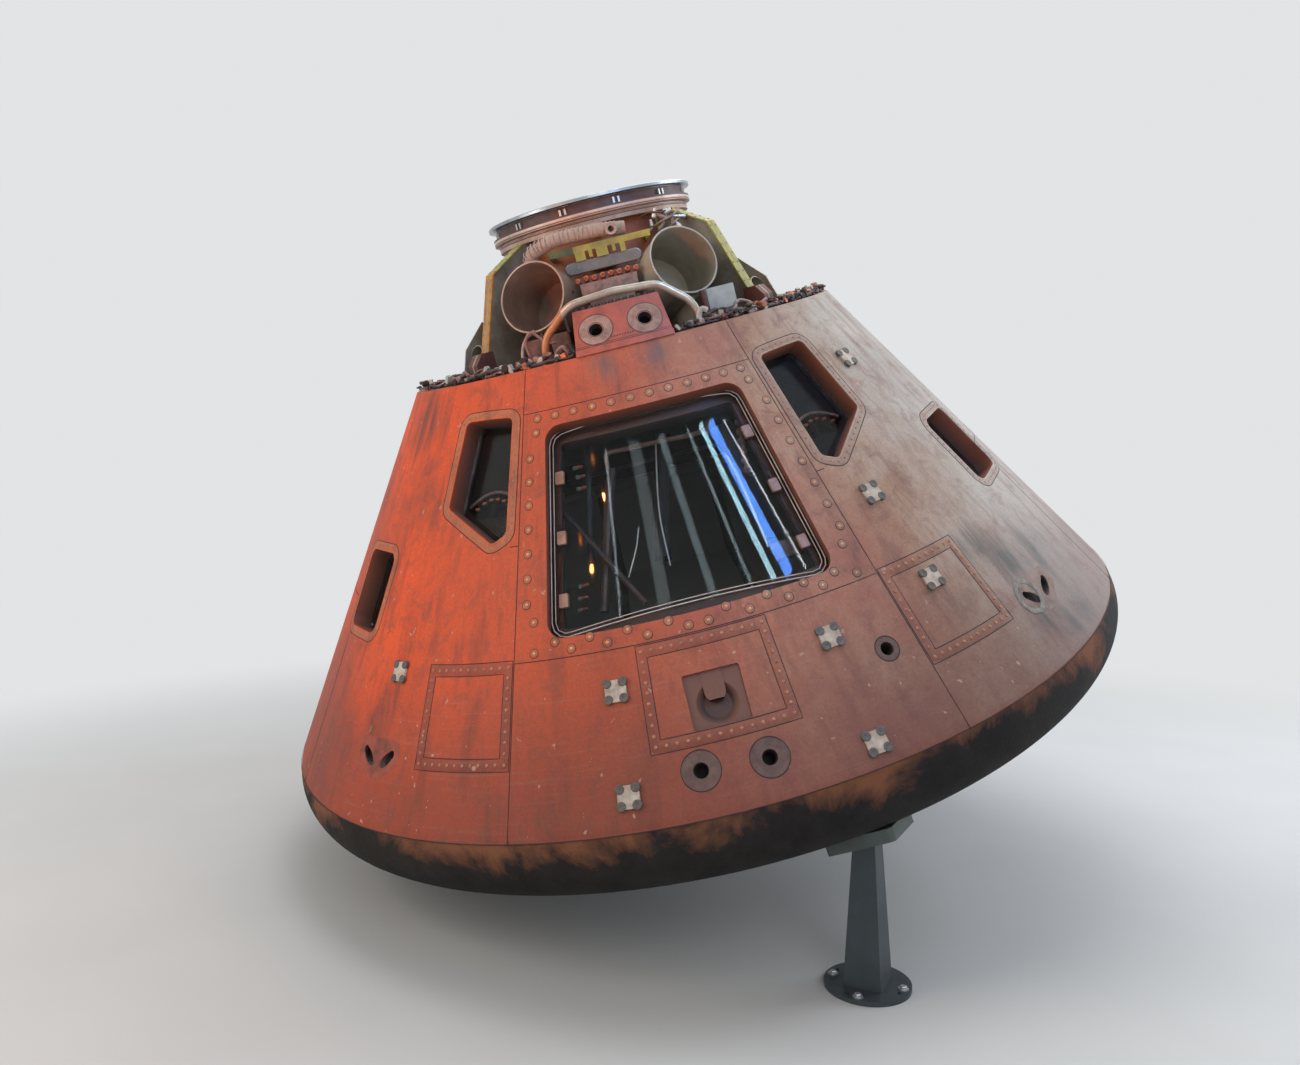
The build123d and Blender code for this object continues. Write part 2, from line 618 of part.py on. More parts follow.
# Hatch frame: flush plate, wall round the opening down into the cabin, ledge for the cover
with BuildPart() as hatch_frame:
    with BuildSketch(HATCH_PLANE.offset(OUTSIDE)):
        add(hatch_outline(COLLAR_T))
    extrude(amount=-THROUGH)
    with BuildSketch(meridian(-front_az)):
        with BuildLine():
            wall_section(FRAME_LOW, FRAME_HIGH, 0, CABIN_IN)
        make_face()
    revolve(axis=AXIS, revolution_arc=2 * front_az, mode=Mode.INTERSECT)
    with BuildSketch(meridian(-front_az)):
        with BuildLine():
            wall_section(FRAME_LOW, FRAME_HIGH, 0, SHIELD_T)
        make_face()
    revolve(axis=AXIS, revolution_arc=2 * front_az)
    add(hatch_recess.part, mode=Mode.SUBTRACT)
    with BuildSketch(HATCH_PLANE.offset(OUTSIDE)):
        add(hatch_outline(-COVER_LEDGE))
    extrude(amount=-THROUGH, mode=Mode.SUBTRACT)
save(hatch_frame, "hatch_frame")

# Clear cover, curved like the cone, on the ledge of the frame
with BuildPart() as hatch_cover:
    with BuildSketch(HATCH_PLANE.offset(OUTSIDE)):
        add(hatch_outline(-COVER_EDGE_GAP))
    extrude(amount=-THROUGH)
    with BuildSketch(meridian(-FRAME_AZ)):
        with BuildLine():
            wall_section(FRAME_LOW, FRAME_HIGH, COVER_DEPTH, COVER_DEPTH + COVER_T)
        make_face()
    revolve(axis=AXIS, revolution_arc=2 * FRAME_AZ, mode=Mode.INTERSECT)
save(hatch_cover, "hatch_cover")

# Clip blocks that hold the cover down along its two sides
with BuildPart() as hatch_clips:
    for azimuth in (-CLIP_AZ, CLIP_AZ):
        for share in CLIP_SHARES:
            height = OPEN_LOW + share * (OPEN_HIGH - OPEN_LOW)
            with BuildSketch(skin(azimuth, height, SEAT - COVER_DEPTH)):
                RectangleRounded(CLIP_W, CLIP_L, CLIP_CORNER_R)
            extrude(amount=CLIP_T)
save(hatch_clips, "hatch_clips")

# Window frames: flush border and reveal through to the cabin wall
for name, side in (("window_frame_left", -1), ("window_frame_right", 1)):
    with BuildPart() as frame:
        with BuildSketch(skin(side * WINDOW_AZ, WINDOW_H, OUTSIDE)):
            add(window_outline(side, WINDOW_BORDER))
        extrude(amount=-THROUGH)
        with BuildSketch(meridian(0)):
            with BuildLine():
                wall_section(OPEN_LOW, RIM_H, 0, CABIN_IN)
            make_face()
        revolve(axis=AXIS, mode=Mode.INTERSECT)
        with BuildSketch(skin(side * WINDOW_AZ, WINDOW_H, OUTSIDE)):
            add(window_outline(side))
        extrude(amount=-OUTSIDE - PANE_DEPTH - SEAT, mode=Mode.SUBTRACT)
        with BuildSketch(skin(side * WINDOW_AZ, WINDOW_H, OUTSIDE)):
            add(window_outline(side, -WINDOW_LEDGE))
        extrude(amount=-THROUGH, mode=Mode.SUBTRACT)
    save(frame, name)

for name, side in (("side_window_frame_left", -1), ("side_window_frame_right", 1)):
    with BuildPart() as frame:
        with BuildSketch(skin(side * SIDE_WINDOW_AZ, SIDE_WINDOW_H, OUTSIDE)):
            add(side_window_outline(WINDOW_BORDER))
        extrude(amount=-THROUGH)
        with BuildSketch(meridian(0)):
            with BuildLine():
                wall_section(SIDE_WINDOW_H - SIDE_WINDOW_L, RIM_H, 0, CABIN_IN)
            make_face()
        revolve(axis=AXIS, mode=Mode.INTERSECT)
        with BuildSketch(skin(side * SIDE_WINDOW_AZ, SIDE_WINDOW_H, OUTSIDE)):
            add(side_window_outline())
        extrude(amount=-OUTSIDE - PANE_DEPTH - SEAT, mode=Mode.SUBTRACT)
        with BuildSketch(skin(side * SIDE_WINDOW_AZ, SIDE_WINDOW_H, OUTSIDE)):
            add(side_window_outline(-WINDOW_LEDGE))
        extrude(amount=-THROUGH, mode=Mode.SUBTRACT)
    save(frame, name)

# Panes, flat, set back in the reveals
with BuildPart() as window_panes:
    for side in (-1, 1):
        with BuildSketch(skin(side * WINDOW_AZ, WINDOW_H, -PANE_DEPTH)):
            add(window_outline(side, -SEAT))
        extrude(amount=PANE_T)
save(window_panes, "window_panes")

with BuildPart() as side_window_panes:
    for side in (-1, 1):
        with BuildSketch(skin(side * SIDE_WINDOW_AZ, SIDE_WINDOW_H, -PANE_DEPTH)):
            add(side_window_outline(-SEAT))
        extrude(amount=PANE_T)
save(side_window_panes, "side_window_panes")

# Bolted access panels beside the lower corners of the hatch frame: name, start azimuth
access_span = ACCESS_AZ_OUT - FRAME_AZ - 2 * JOINT_AZ
for name, start in (
    ("access_panel_left", -ACCESS_AZ_OUT + JOINT_AZ),
    ("access_panel_right", FRAME_AZ + JOINT_AZ),
):
    with BuildPart() as panel:
        with BuildSketch(meridian(start)):
            with BuildLine():
                wall_section(ACCESS_LOW, ACCESS_HIGH, 0, SHIELD_T)
            make_face()
        revolve(axis=AXIS, revolution_arc=access_span)
    save(panel, name)

# Vent panel: flush panel with a square pocket, a round bowl, and a spout over the bowl
vent_h = (VENT_LOW + VENT_HIGH) / 2 - VENT_DROP
with BuildPart() as vent_panel:
    with BuildSketch(meridian(-VENT_AZ)):
        with BuildLine():
            wall_section(VENT_LOW, VENT_HIGH, 0, SHIELD_T)
        make_face()
    revolve(axis=AXIS, revolution_arc=2 * VENT_AZ)
    pocket = skin(0, vent_h, -VENT_POCKET_D)
    with BuildSketch(pocket):
        RectangleRounded(VENT_POCKET_W, VENT_POCKET_L, VENT_POCKET_CORNER_R)
    extrude(amount=OUTSIDE, mode=Mode.SUBTRACT)
    with BuildSketch(pocket.offset(VENT_POCKET_D - VENT_BOWL_D)):
        with Locations((0, -VENT_BOWL_DROP)):
            Circle(VENT_BOWL_FLOOR_R)
    with BuildSketch(pocket):
        with Locations((0, -VENT_BOWL_DROP)):
            Circle(VENT_BOWL_R)
    loft(mode=Mode.SUBTRACT)
    # the spout hangs from the pocket's upper edge and ends round over the bowl
    with BuildSketch(pocket.offset(VENT_POCKET_D - VENT_BOWL_D)):
        with BuildLine():
            end = CenterArc((0, -VENT_SPOUT_END + VENT_SPOUT_R), VENT_SPOUT_R, 180, 180)
            Polyline(end @ 1, (VENT_SPOUT_R, VENT_POCKET_L / 2))
            Polyline((VENT_SPOUT_R, VENT_POCKET_L / 2), (-VENT_SPOUT_R, VENT_POCKET_L / 2))
            Polyline((-VENT_SPOUT_R, VENT_POCKET_L / 2), end @ 0)
        make_face()
    extrude(amount=VENT_SPOUT_D)
    bore_mouth = Plane(
        origin=pocket.origin - pocket.y_dir * VENT_SPOUT_END,
        x_dir=pocket.x_dir,
        z_dir=pocket.z_dir * sin(radians(VENT_BORE_TILT))
        - pocket.y_dir * cos(radians(VENT_BORE_TILT)),
    )
    with BuildSketch(bore_mouth.offset(VENT_BORE_L)):
        SlotOverall(VENT_BORE_W, VENT_BORE_T)
    extrude(amount=-2 * VENT_BORE_L, mode=Mode.SUBTRACT)
save(vent_panel, "vent_panel")

# Port liners: rings with a flared mouth in the round ports, and the roll pairs' liners
with BuildPart() as port_liners:
    for azimuth in ROLL_AZIMUTHS:
        with BuildSketch(skin(azimuth, ROLL_H, OUTSIDE)):
            add(roll_outline())
    extrude(amount=-OUTSIDE - PORT_DEPTH)
    with BuildSketch(meridian(0)):
        with BuildLine():
            wall_section(AFT_SEAM_H, FRAME_LOW, 0, 2 * SHIELD_T)
        make_face()
    revolve(axis=AXIS, mode=Mode.INTERSECT)
    for azimuth in ROLL_AZIMUTHS:
        mouth = skin(azimuth, ROLL_H)
        for side in (-1, 1):
            start = mouth.origin + mouth.x_dir * side * ROLL_X + mouth.y_dir * ROLL_Y
            across = mouth.x_dir * -side * ROLL_X + mouth.y_dir * (ROLL_END_Y - ROLL_Y)
            run = across.normalized() * cos(radians(ROLL_BORE_TILT)) + mouth.z_dir * sin(
                radians(ROLL_BORE_TILT)
            )
            with BuildSketch(Plane(origin=start - mouth.z_dir * ROLL_BORE_D, z_dir=run)):
                Circle(ROLL_BORE_R)
            extrude(amount=ROLL_BORE_L, mode=Mode.SUBTRACT)
            with BuildSketch(Plane(origin=start, z_dir=mouth.z_dir)):
                Circle(ROLL_BORE_R * BORE_TAPER)
            extrude(amount=-PORT_DEPTH - SEAT, mode=Mode.SUBTRACT)
    for azimuth, height, radius, bore in PORTS:
        mouth = skin(azimuth, height)
        with BuildSketch(mouth):
            Circle(radius)
        extrude(amount=-PORT_DEPTH)
        with BuildSketch(mouth.offset(-PORT_DEPTH)):
            Circle(bore * BORE_TAPER)
        with BuildSketch(mouth):
            Circle(bore)
        loft(mode=Mode.SUBTRACT)
save(port_liners, "port_liners")

# Strut pads: small square plates, four bolts each
with BuildPart() as strut_pads:
    for azimuth, height in PADS:
        with BuildSketch(skin(azimuth, height, SEAT)):
            RectangleRounded(PAD_W, PAD_W, PAD_CORNER_R)
        extrude(amount=PAD_T)
save(strut_pads, "strut_pads")

# Pressure cabin: aft bulkhead, conical wall, forward bulkhead
with BuildPart() as cabin_floor:
    with BuildSketch(meridian(0)):
        with BuildLine():
            Polyline(
                (0, FLOOR_LOW),
                (skin_r(FLOOR_TOP, SHIELD_T) - 2 * SEAT, FLOOR_LOW),
                (skin_r(FLOOR_TOP, SHIELD_T) - 2 * SEAT, FLOOR_TOP),
                (0, FLOOR_TOP),
                close=True,
            )
        make_face()
    revolve(axis=AXIS)
save(cabin_floor, "cabin_floor")

with BuildPart() as cabin_wall:
    with BuildSketch(meridian(0)):
        with BuildLine():
            wall_section(FLOOR_TOP + SEAT, DECK_LOW - SEAT, CABIN_OUT, CABIN_IN)
        make_face()
    revolve(axis=AXIS)
    with BuildSketch(HATCH_PLANE.offset(OUTSIDE)):
        add(hatch_outline(COLLAR_T + SEAT))
    extrude(amount=-THROUGH, mode=Mode.SUBTRACT)
    for side in (-1, 1):
        with BuildSketch(skin(side * WINDOW_AZ, WINDOW_H, OUTSIDE)):
            add(window_outline(side, WINDOW_BORDER + SEAT))
        with BuildSketch(skin(side * SIDE_WINDOW_AZ, SIDE_WINDOW_H, OUTSIDE)):
            add(side_window_outline(WINDOW_BORDER + SEAT))
    extrude(amount=-THROUGH, mode=Mode.SUBTRACT)
save(cabin_wall, "cabin_wall")

with BuildPart() as forward_deck:
    with BuildSketch(meridian(0)):
        with BuildLine():
            Polyline(
                (TUNNEL_R + SEAT, DECK_LOW),
                (skin_r(DECK_LOW, SHIELD_T + SEAT), DECK_LOW),
                (skin_r(DECK_TOP, SHIELD_T + SEAT), DECK_TOP),
                (TUNNEL_R + SEAT, DECK_TOP),
                close=True,
            )
        make_face()
    revolve(axis=AXIS)
save(forward_deck, "forward_deck")

# Tunnel with an inner ledge that its hatch lies on
with BuildPart() as tunnel:
    with BuildSketch(level(DECK_LOW - TUNNEL_SKIRT)):
        Circle(TUNNEL_R)
        Circle(TUNNEL_R - TUNNEL_T, mode=Mode.SUBTRACT)
    extrude(amount=FLANGE_H - DECK_LOW + TUNNEL_SKIRT)
    with BuildSketch(level(TUNNEL_HATCH_H - TUNNEL_LEDGE_T)):
        Circle(TUNNEL_R - TUNNEL_T / 2)
        Circle(TUNNEL_R - TUNNEL_T - TUNNEL_LEDGE, mode=Mode.SUBTRACT)
    extrude(amount=TUNNEL_LEDGE_T)
save(tunnel, "tunnel")

with BuildPart() as tunnel_hatch:
    with BuildSketch(level(TUNNEL_HATCH_H + SEAT)):
        Circle(TUNNEL_R - TUNNEL_T - SEAT)
    extrude(amount=TUNNEL_HATCH_T)
    chamfer(faces().sort_by(AXIS)[-1].edges(), TUNNEL_HATCH_BEVEL)
    with BuildSketch(level(TUNNEL_HATCH_H + TUNNEL_HATCH_T)):
        Circle(HATCH_BOSS_R)
    extrude(amount=HATCH_BOSS_T)
save(tunnel_hatch, "tunnel_hatch")

# Banded flange on top of the tunnel
groove_h = FLANGE_H + BAND_LOW_T + BAND_BEVEL
with BuildPart() as tunnel_flange:
    with BuildSketch(meridian(0)):
        with BuildLine():
            Polyline(
                (TUNNEL_R - TUNNEL_T, FLANGE_H + SEAT),
                (RING_LIP_R - BAND_LOW_IN, FLANGE_H + SEAT),
                (RING_LIP_R - BAND_LOW_IN, FLANGE_H + BAND_LOW_T),
                (RING_LIP_R - BAND_GROOVE_IN, groove_h),
                (RING_LIP_R - BAND_GROOVE_IN, groove_h + BAND_GROOVE_T),
                (RING_LIP_R, groove_h + BAND_GROOVE_T + BAND_BEVEL),
                (RING_LIP_R, RING_H - SEAT),
                (TUNNEL_R - TUNNEL_T, RING_H - SEAT),
                close=True,
            )
        make_face()
    revolve(axis=AXIS)
save(tunnel_flange, "tunnel_flange")

# Docking ring: channel open outward between a thin bright top flange and a lower lip
with BuildPart() as docking_ring:
    with BuildSketch(meridian(0)):
        with BuildLine():
            Polyline(
                (TUNNEL_R - TUNNEL_T, RING_H),
                (RING_LIP_R, RING_H),
                (RING_LIP_R, RING_H + RING_LIP_T),
                (RING_WEB_R, RING_H + RING_LIP_T),
                (RING_WEB_R, RING_TOP - RING_TOP_T),
                (RING_R, RING_TOP - RING_TOP_T + RING_EDGE),
                (RING_R, RING_TOP - RING_EDGE),
                (RING_R - RING_EDGE, RING_TOP),
                (TUNNEL_R + RING_MOUTH_IN, RING_TOP),
                (TUNNEL_R + RING_MOUTH_IN, RING_TOP - RING_TOP_T),
                (RING_WEB_R - RING_WEB_T, RING_TOP - RING_TOP_T),
                (RING_WEB_R - RING_WEB_T, RING_H + RING_LIP_T),
                (TUNNEL_R - TUNNEL_T, RING_H + RING_LIP_T),
                close=True,
            )
        make_face()
    revolve(axis=AXIS)
save(docking_ring, "docking_ring")

# Latches of the docking ring: two pins each, on the lip in front of the web
with BuildPart() as ring_latches:
    for count in range(LATCHES):
        azimuth = LATCH_START + count * 360 / LATCHES
        foot = RING_H + RING_LIP_T + SEAT
        seat_plane = tilted(azimuth, RING_WEB_R + SEAT, foot + LATCH_L / 2, 0)
        with BuildSketch(seat_plane):
            with GridLocations(LATCH_W + LATCH_GAP, 0, 2, 1):
                Rectangle(LATCH_W, LATCH_L)
        extrude(amount=LATCH_D)
save(ring_latches, "ring_latches")

# Gussets: name, azimuth
for name, azimuth in (
    ("gusset_front_left", -GUSSET_AZ),
    ("gusset_front_right", GUSSET_AZ),
    ("gusset_rear_left", GUSSET_AZ - 180),
    ("gusset_rear_right", 180 - GUSSET_AZ),
):
    foot = (GUSSET_FOOT_R, DECK_TOP + SEAT)
    knee = (DECK_R - GUSSET_KNEE_IN, FLANGE_H - GUSSET_KNEE_DROP)
    top = (TUNNEL_R + GUSSET_TOP_OUT, FLANGE_H - SEAT)
    with BuildPart() as gusset:
        with BuildSketch(meridian(azimuth)):
            with BuildLine():
                Polyline(
                    (TUNNEL_R + SEAT, DECK_TOP + SEAT),
                    foot,
                    knee,
                    top,
                    (TUNNEL_R + SEAT, FLANGE_H - SEAT),
                    close=True,
                )
            make_face()
        extrude(amount=GUSSET_T / 2, both=True)
        with BuildSketch(meridian(azimuth)):
            with BuildLine():
                Polyline(
                    foot,
                    knee,
                    top,
                    (top[0] - STRIP_TOP_W, top[1]),
                    (knee[0] - STRIP_T, knee[1] - STRIP_KNEE_DROP),
                    (foot[0] - STRIP_T, foot[1]),
                    close=True,
                )
            make_face()
        extrude(amount=STRIP_W / 2, both=True)
        # riveted edge along the tunnel
        with BuildSketch(meridian(azimuth)):
            with BuildLine():
                Polyline(
                    (TUNNEL_R + SEAT, foot[1]),
                    (TUNNEL_R + SEAT + GUSSET_EDGE_T, foot[1]),
                    (TUNNEL_R + SEAT + GUSSET_EDGE_T, top[1]),
                    (TUNNEL_R + SEAT, top[1]),
                    close=True,
                )
            make_face()
        extrude(amount=GUSSET_EDGE_W / 2, both=True)
        # hinge block round the foot
        with BuildSketch(meridian(azimuth)):
            with BuildLine():
                Polyline(
                    (foot[0] - FOOT_IN, foot[1]),
                    (foot[0] + FOOT_OUT, foot[1]),
                    (foot[0] + FOOT_OUT, DECK_TOP + FOOT_SHOULDER),
                    (foot[0] - FOOT_TOP_IN, DECK_TOP + FOOT_H),
                    (foot[0] - FOOT_IN, DECK_TOP + FOOT_H),
                    close=True,
                )
            make_face()
        extrude(amount=FOOT_W / 2, both=True)
    save(gusset, name)

# Open mortar cans on their webs: name, side
for name, side in (("mortar_can_left", -1), ("mortar_can_right", 1)):
    azimuth = side * CAN_AZ
    mouth = tilted(azimuth, CAN_MOUTH_R, CAN_MOUTH_H, CAN_TILT)
    out_c, up_c = cos(radians(CAN_TILT)), sin(radians(CAN_TILT))
    with BuildPart() as can:
        with BuildSketch(mouth):
            Circle(CAN_R)
            Circle(CAN_R - CAN_T, mode=Mode.SUBTRACT)
        extrude(amount=-CAN_L)
        with BuildSketch(mouth):
            Circle(CAN_R + CAN_BEAD_T)
            Circle(CAN_R - CAN_T, mode=Mode.SUBTRACT)
        extrude(amount=-CAN_BEAD_L)
        with BuildSketch(mouth.offset(-CAN_L)):
            Circle(CAN_R)
        extrude(amount=2 * CAN_T)
        with BuildSketch(meridian(azimuth)):
            with BuildLine():
                under_r = CAN_MOUTH_R + (CAN_R - CAN_T / 2) * up_c
                under_h = CAN_MOUTH_H - (CAN_R - CAN_T / 2) * out_c
                near, far = CAN_WEB_IN, CAN_L - CAN_WEB_END
                Polyline(
                    (under_r - near * out_c, under_h - near * up_c),
                    (under_r - far * out_c, under_h - far * up_c),
                    (CAN_MOUTH_R - CAN_L, DECK_TOP + SEAT),
                    (CAN_MOUTH_R - CAN_WEB_FOOT, DECK_TOP + SEAT),
                    close=True,
                )
            make_face()
        extrude(amount=CAN_WEB_T / 2, both=True)
    save(can, name)

# Thruster plate: a slab of the forward cone that stands on the rim, two bored seats
THRUSTER_PORT_H = RIM_H + THRUSTER_PORT_RISE
with BuildPart() as thruster_plate:
    with BuildSketch(meridian(-THRUSTER_AZ)):
        with BuildLine():
            wall_section(RIM_H + SEAT, RIM_H + THRUSTER_RISE, 0, THRUSTER_T)
        make_face()
        with BuildLine():
            wall_section(RIM_H + SEAT, RIM_H + THRUSTER_LEDGE_H, -THRUSTER_LEDGE_T, THRUSTER_T)
        make_face()
    revolve(axis=AXIS, revolution_arc=2 * THRUSTER_AZ)
    for side in (-1, 1):
        with Locations(skin(side * THRUSTER_PORT_AZ, THRUSTER_PORT_H)):
            Hole(THRUSTER_PORT_R + SEAT, depth=THRUSTER_PORT_DEPTH + SEAT)
            Hole(THRUSTER_BORE_R * BORE_TAPER, depth=2 * THRUSTER_T)
save(thruster_plate, "thruster_plate")

with BuildPart() as thruster_rings:
    for side in (-1, 1):
        mouth = skin(side * THRUSTER_PORT_AZ, THRUSTER_PORT_H)
        with BuildSketch(mouth.offset(-THRUSTER_PORT_DEPTH)):
            Circle(THRUSTER_PORT_R)
        extrude(amount=THRUSTER_PORT_DEPTH)
        with BuildSketch(mouth.offset(-THRUSTER_PORT_DEPTH)):
            Circle(THRUSTER_BORE_R * BORE_TAPER)
        with BuildSketch(mouth):
            Circle(THRUSTER_BORE_R)
        loft(mode=Mode.SUBTRACT)
save(thruster_rings, "thruster_rings")

# Guard tube bent over the thruster plate, a round foot at each end
with BuildPart() as guard_tube:
    foot_h = DECK_TOP + SEAT + TUBE_FOOT_T / 2
    with BuildLine(facing(-TUBE_Y)) as route:
        FilletPolyline(
            (-TUBE_FOOT_X, foot_h),
            *[(across, RIM_H + rise) for across, rise in TUBE_CORNERS],
            (TUBE_FOOT_X, foot_h),
            radius=TUBE_BEND_R,
        )
    with BuildSketch(Plane(origin=route.line @ 0, z_dir=route.line % 0)):
        Circle(TUBE_R)
    sweep()
    with BuildSketch(level(DECK_TOP + SEAT)):
        with Locations((-TUBE_FOOT_X, -TUBE_Y), (TUBE_FOOT_X, -TUBE_Y)):
            Circle(TUBE_FOOT_R)
    extrude(amount=TUBE_FOOT_T)
save(guard_tube, "guard_tube")

# Comb bracket: a bar with teeth, held by two arms from the tunnel
with BuildPart() as comb_bracket:
    with BuildSketch(facing(-COMB_Y)):
        with Locations((0, COMB_H)):
            Rectangle(COMB_W, COMB_BAR)
        for across, width, length in COMB_TEETH:
            with Locations((across, COMB_H - length / 2)):
                Rectangle(width, COMB_BAR + length)
    extrude(amount=COMB_T)
    arm_x = COMB_W / 2 - COMB_T
    arm_start = sqrt(TUNNEL_R**2 - arm_x**2)
    for side in (-1, 1):
        with BuildSketch(level(COMB_H - COMB_BAR / 2)):
            with BuildLine():
                Polyline(
                    (side * arm_x, -COMB_Y),
                    (side * (arm_x + COMB_T), -COMB_Y),
                    (side * (arm_x + COMB_T), -arm_start - SEAT),
                    (side * arm_x, -arm_start - SEAT),
                    close=True,
                )
            make_face()
        extrude(amount=COMB_BAR)
save(comb_bracket, "comb_bracket")

# Stadium-shaped plate with two studs, on an arm from the tunnel
with BuildPart() as stadium_plate:
    with BuildSketch(facing(-STADIUM_Y + STADIUM_T)):
        with Locations((0, STADIUM_H)):
            SlotOverall(STADIUM_W, STADIUM_BAR)
    extrude(amount=STADIUM_T)
    fillet(faces().sort_by(Axis(CAPSULE.origin, -CAPSULE.y_dir))[-1].edges(), STADIUM_EDGE)
    with BuildSketch(facing(-STADIUM_Y)):
        stud_x = STADIUM_W / 2 - STUD_IN
        with Locations((-stud_x, STADIUM_H), (stud_x, STADIUM_H)):
            Circle(STUD_R)
    extrude(amount=STUD_L)
    arm_back = TUNNEL_R + SEAT
    with BuildSketch(level(STADIUM_H - STADIUM_ARM_H / 2)):
        with Locations((0, -(STADIUM_Y - STADIUM_T + arm_back) / 2)):
            Rectangle(STADIUM_ARM_W, STADIUM_Y - STADIUM_T - arm_back)
    extrude(amount=STADIUM_ARM_H)
save(stadium_plate, "stadium_plate")

# Valve manifold: block with a scalloped foot, a row of unions above, on a plate from the deck
with BuildPart() as manifold:
    pitch = MANIFOLD_W / MANIFOLD_PORTS
    with BuildSketch(facing(-MANIFOLD_Y + MANIFOLD_D)):
        with Locations((0, MANIFOLD_H)):
            Rectangle(MANIFOLD_W, MANIFOLD_BLOCK_H)
        with Locations((0, MANIFOLD_H - MANIFOLD_BLOCK_H / 2)):
            with GridLocations(pitch, 0, MANIFOLD_PORTS, 1):
                Circle(MANIFOLD_LOBE_R)
    extrude(amount=MANIFOLD_D)
    with BuildSketch(facing(-MANIFOLD_Y + MANIFOLD_D)):
        with Locations((0, MANIFOLD_H + MANIFOLD_BACK_H / 2)):
            Rectangle(MANIFOLD_W, MANIFOLD_BACK_H)
    extrude(amount=MANIFOLD_D - UNION_L)
    with BuildSketch(facing(-MANIFOLD_Y + UNION_L)):
        with Locations((0, MANIFOLD_H + UNION_RISE)):
            with GridLocations(pitch, 0, MANIFOLD_PORTS, 1):
                Circle(UNION_R)
    extrude(amount=UNION_L)
    with BuildSketch(facing(-MANIFOLD_Y + MANIFOLD_D)):
        with Locations((0, (DECK_TOP + SEAT + MANIFOLD_H) / 2)):
            Rectangle(MANIFOLD_W - 2 * MANIFOLD_LEG_IN, MANIFOLD_H - DECK_TOP - SEAT)
    extrude(amount=MANIFOLD_LEG_T)
save(manifold, "manifold")

# Pale plate on a leg, beside the right gusset
box_back = -DECK_R + BOX_IN
box_mid = DECK_TOP + BOX_RISE - BOX_H / 2
with BuildPart() as deck_box:
    with BuildSketch(facing(box_back + BOX_T)):
        with Locations((BOX_X, box_mid)):
            RectangleRounded(BOX_W, BOX_H, BOX_CORNER_R)
    extrude(amount=BOX_T)
    with BuildSketch(level(DECK_TOP + SEAT)):
        with Locations((BOX_X, box_back + BOX_T + BOX_LEG_T / 2 - SEAT)):
            Rectangle(BOX_LEG_W, BOX_LEG_T)
    extrude(amount=box_mid - DECK_TOP - SEAT)
save(deck_box, "deck_box")

# Small boxes on the forward bulkhead: name, table
for name, table in (
    ("junction_boxes", JUNCTION_BOXES),
    ("relay_block", RELAY_BLOCKS),
    ("connector_box", CONNECTOR_BOXES),
):
    with BuildPart() as boxes:
        for across, inset, width, depth, height in table:
            with BuildSketch(level(DECK_TOP + SEAT)):
                with Locations((across, inset - DECK_R)):
                    Rectangle(width, depth)
            extrude(amount=height)
        chamfer(edges().filter_by(AXIS), min(SMALL_EDGE, table[0][2] / 4))
    save(boxes, name)

# Air duct that bends round the tunnel under the flange
with BuildPart() as air_duct:
    with BuildLine() as route:
        FilletPolyline(
            *[at(across, -TUNNEL_R - out, COMB_H + rise) for across, out, rise in DUCT_ROUTE],
            radius=DUCT_BEND_R,
        )
    with BuildSketch(Plane(origin=route.line @ 0, z_dir=route.line % 0)):
        Circle(DUCT_R)
    sweep()
    arm_x, arm_out, arm_h = DUCT_ROUTE[3]
    arm_y = TUNNEL_R + arm_out
    with BuildSketch(level(COMB_H + arm_h - DUCT_ARM_T / 2)):
        with Locations((arm_x, -(arm_y + TUNNEL_R + SEAT) / 2)):
            Rectangle(DUCT_ARM_W, arm_y - TUNNEL_R - SEAT)
    extrude(amount=DUCT_ARM_T)
    # round socket that looks to the hatch side
    with BuildSketch(facing(-arm_y)):
        with Locations((SOCKET_X, COMB_H + arm_h - SOCKET_DROP)):
            Circle(SOCKET_R)
    extrude(amount=SOCKET_L)
    with BuildSketch(facing(-arm_y)):
        with Locations((SOCKET_X, COMB_H + arm_h - SOCKET_DROP)):
            Circle(SOCKET_BORE)
    extrude(amount=SOCKET_L, mode=Mode.SUBTRACT)
save(air_duct, "air_duct")

# Pilot mortar tubes outside the front gussets, each beside its three-cornered web
with BuildPart() as pilot_mortars:
    for side in (-1, 1):
        azimuth = side * PILOT_AZ
        mouth = tilted(azimuth, PILOT_MOUTH_R, PILOT_MOUTH_H, PILOT_TILT)
        beside = meridian(azimuth).offset(-side * (PILOT_R - PILOT_T / 2))
        with BuildSketch(beside):
            with BuildLine():
                Polyline(
                    *[(PILOT_MOUTH_R + out, DECK_TOP + SEAT + rise) for out, rise in PILOT_WEB],
                    close=True,
                )
            make_face()
        extrude(amount=-side * PILOT_WEB_T)
        with BuildSketch(mouth):
            Circle(PILOT_R)
        extrude(amount=-PILOT_L)
        with BuildSketch(mouth):
            Circle(PILOT_R - PILOT_T)
        extrude(amount=-PILOT_L + 2 * PILOT_T, mode=Mode.SUBTRACT)
save(pilot_mortars, "pilot_mortars")

# Crew couches, seen through the cover and the windows: name, place sideways
for name, offset_x in (
    ("couch_left", -COUCH_PITCH),
    ("couch_centre", 0.0),
    ("couch_right", COUCH_PITCH),
):
    with BuildPart() as couch:
        with BuildSketch(sideways(offset_x)):
            for back, height, length, slope in COUCH_SLABS:
                with Locations((back, height)):
                    SlotOverall(length, COUCH_PAD_T, rotation=slope)
        extrude(amount=COUCH_W / 2, both=True)
    save(couch, name)

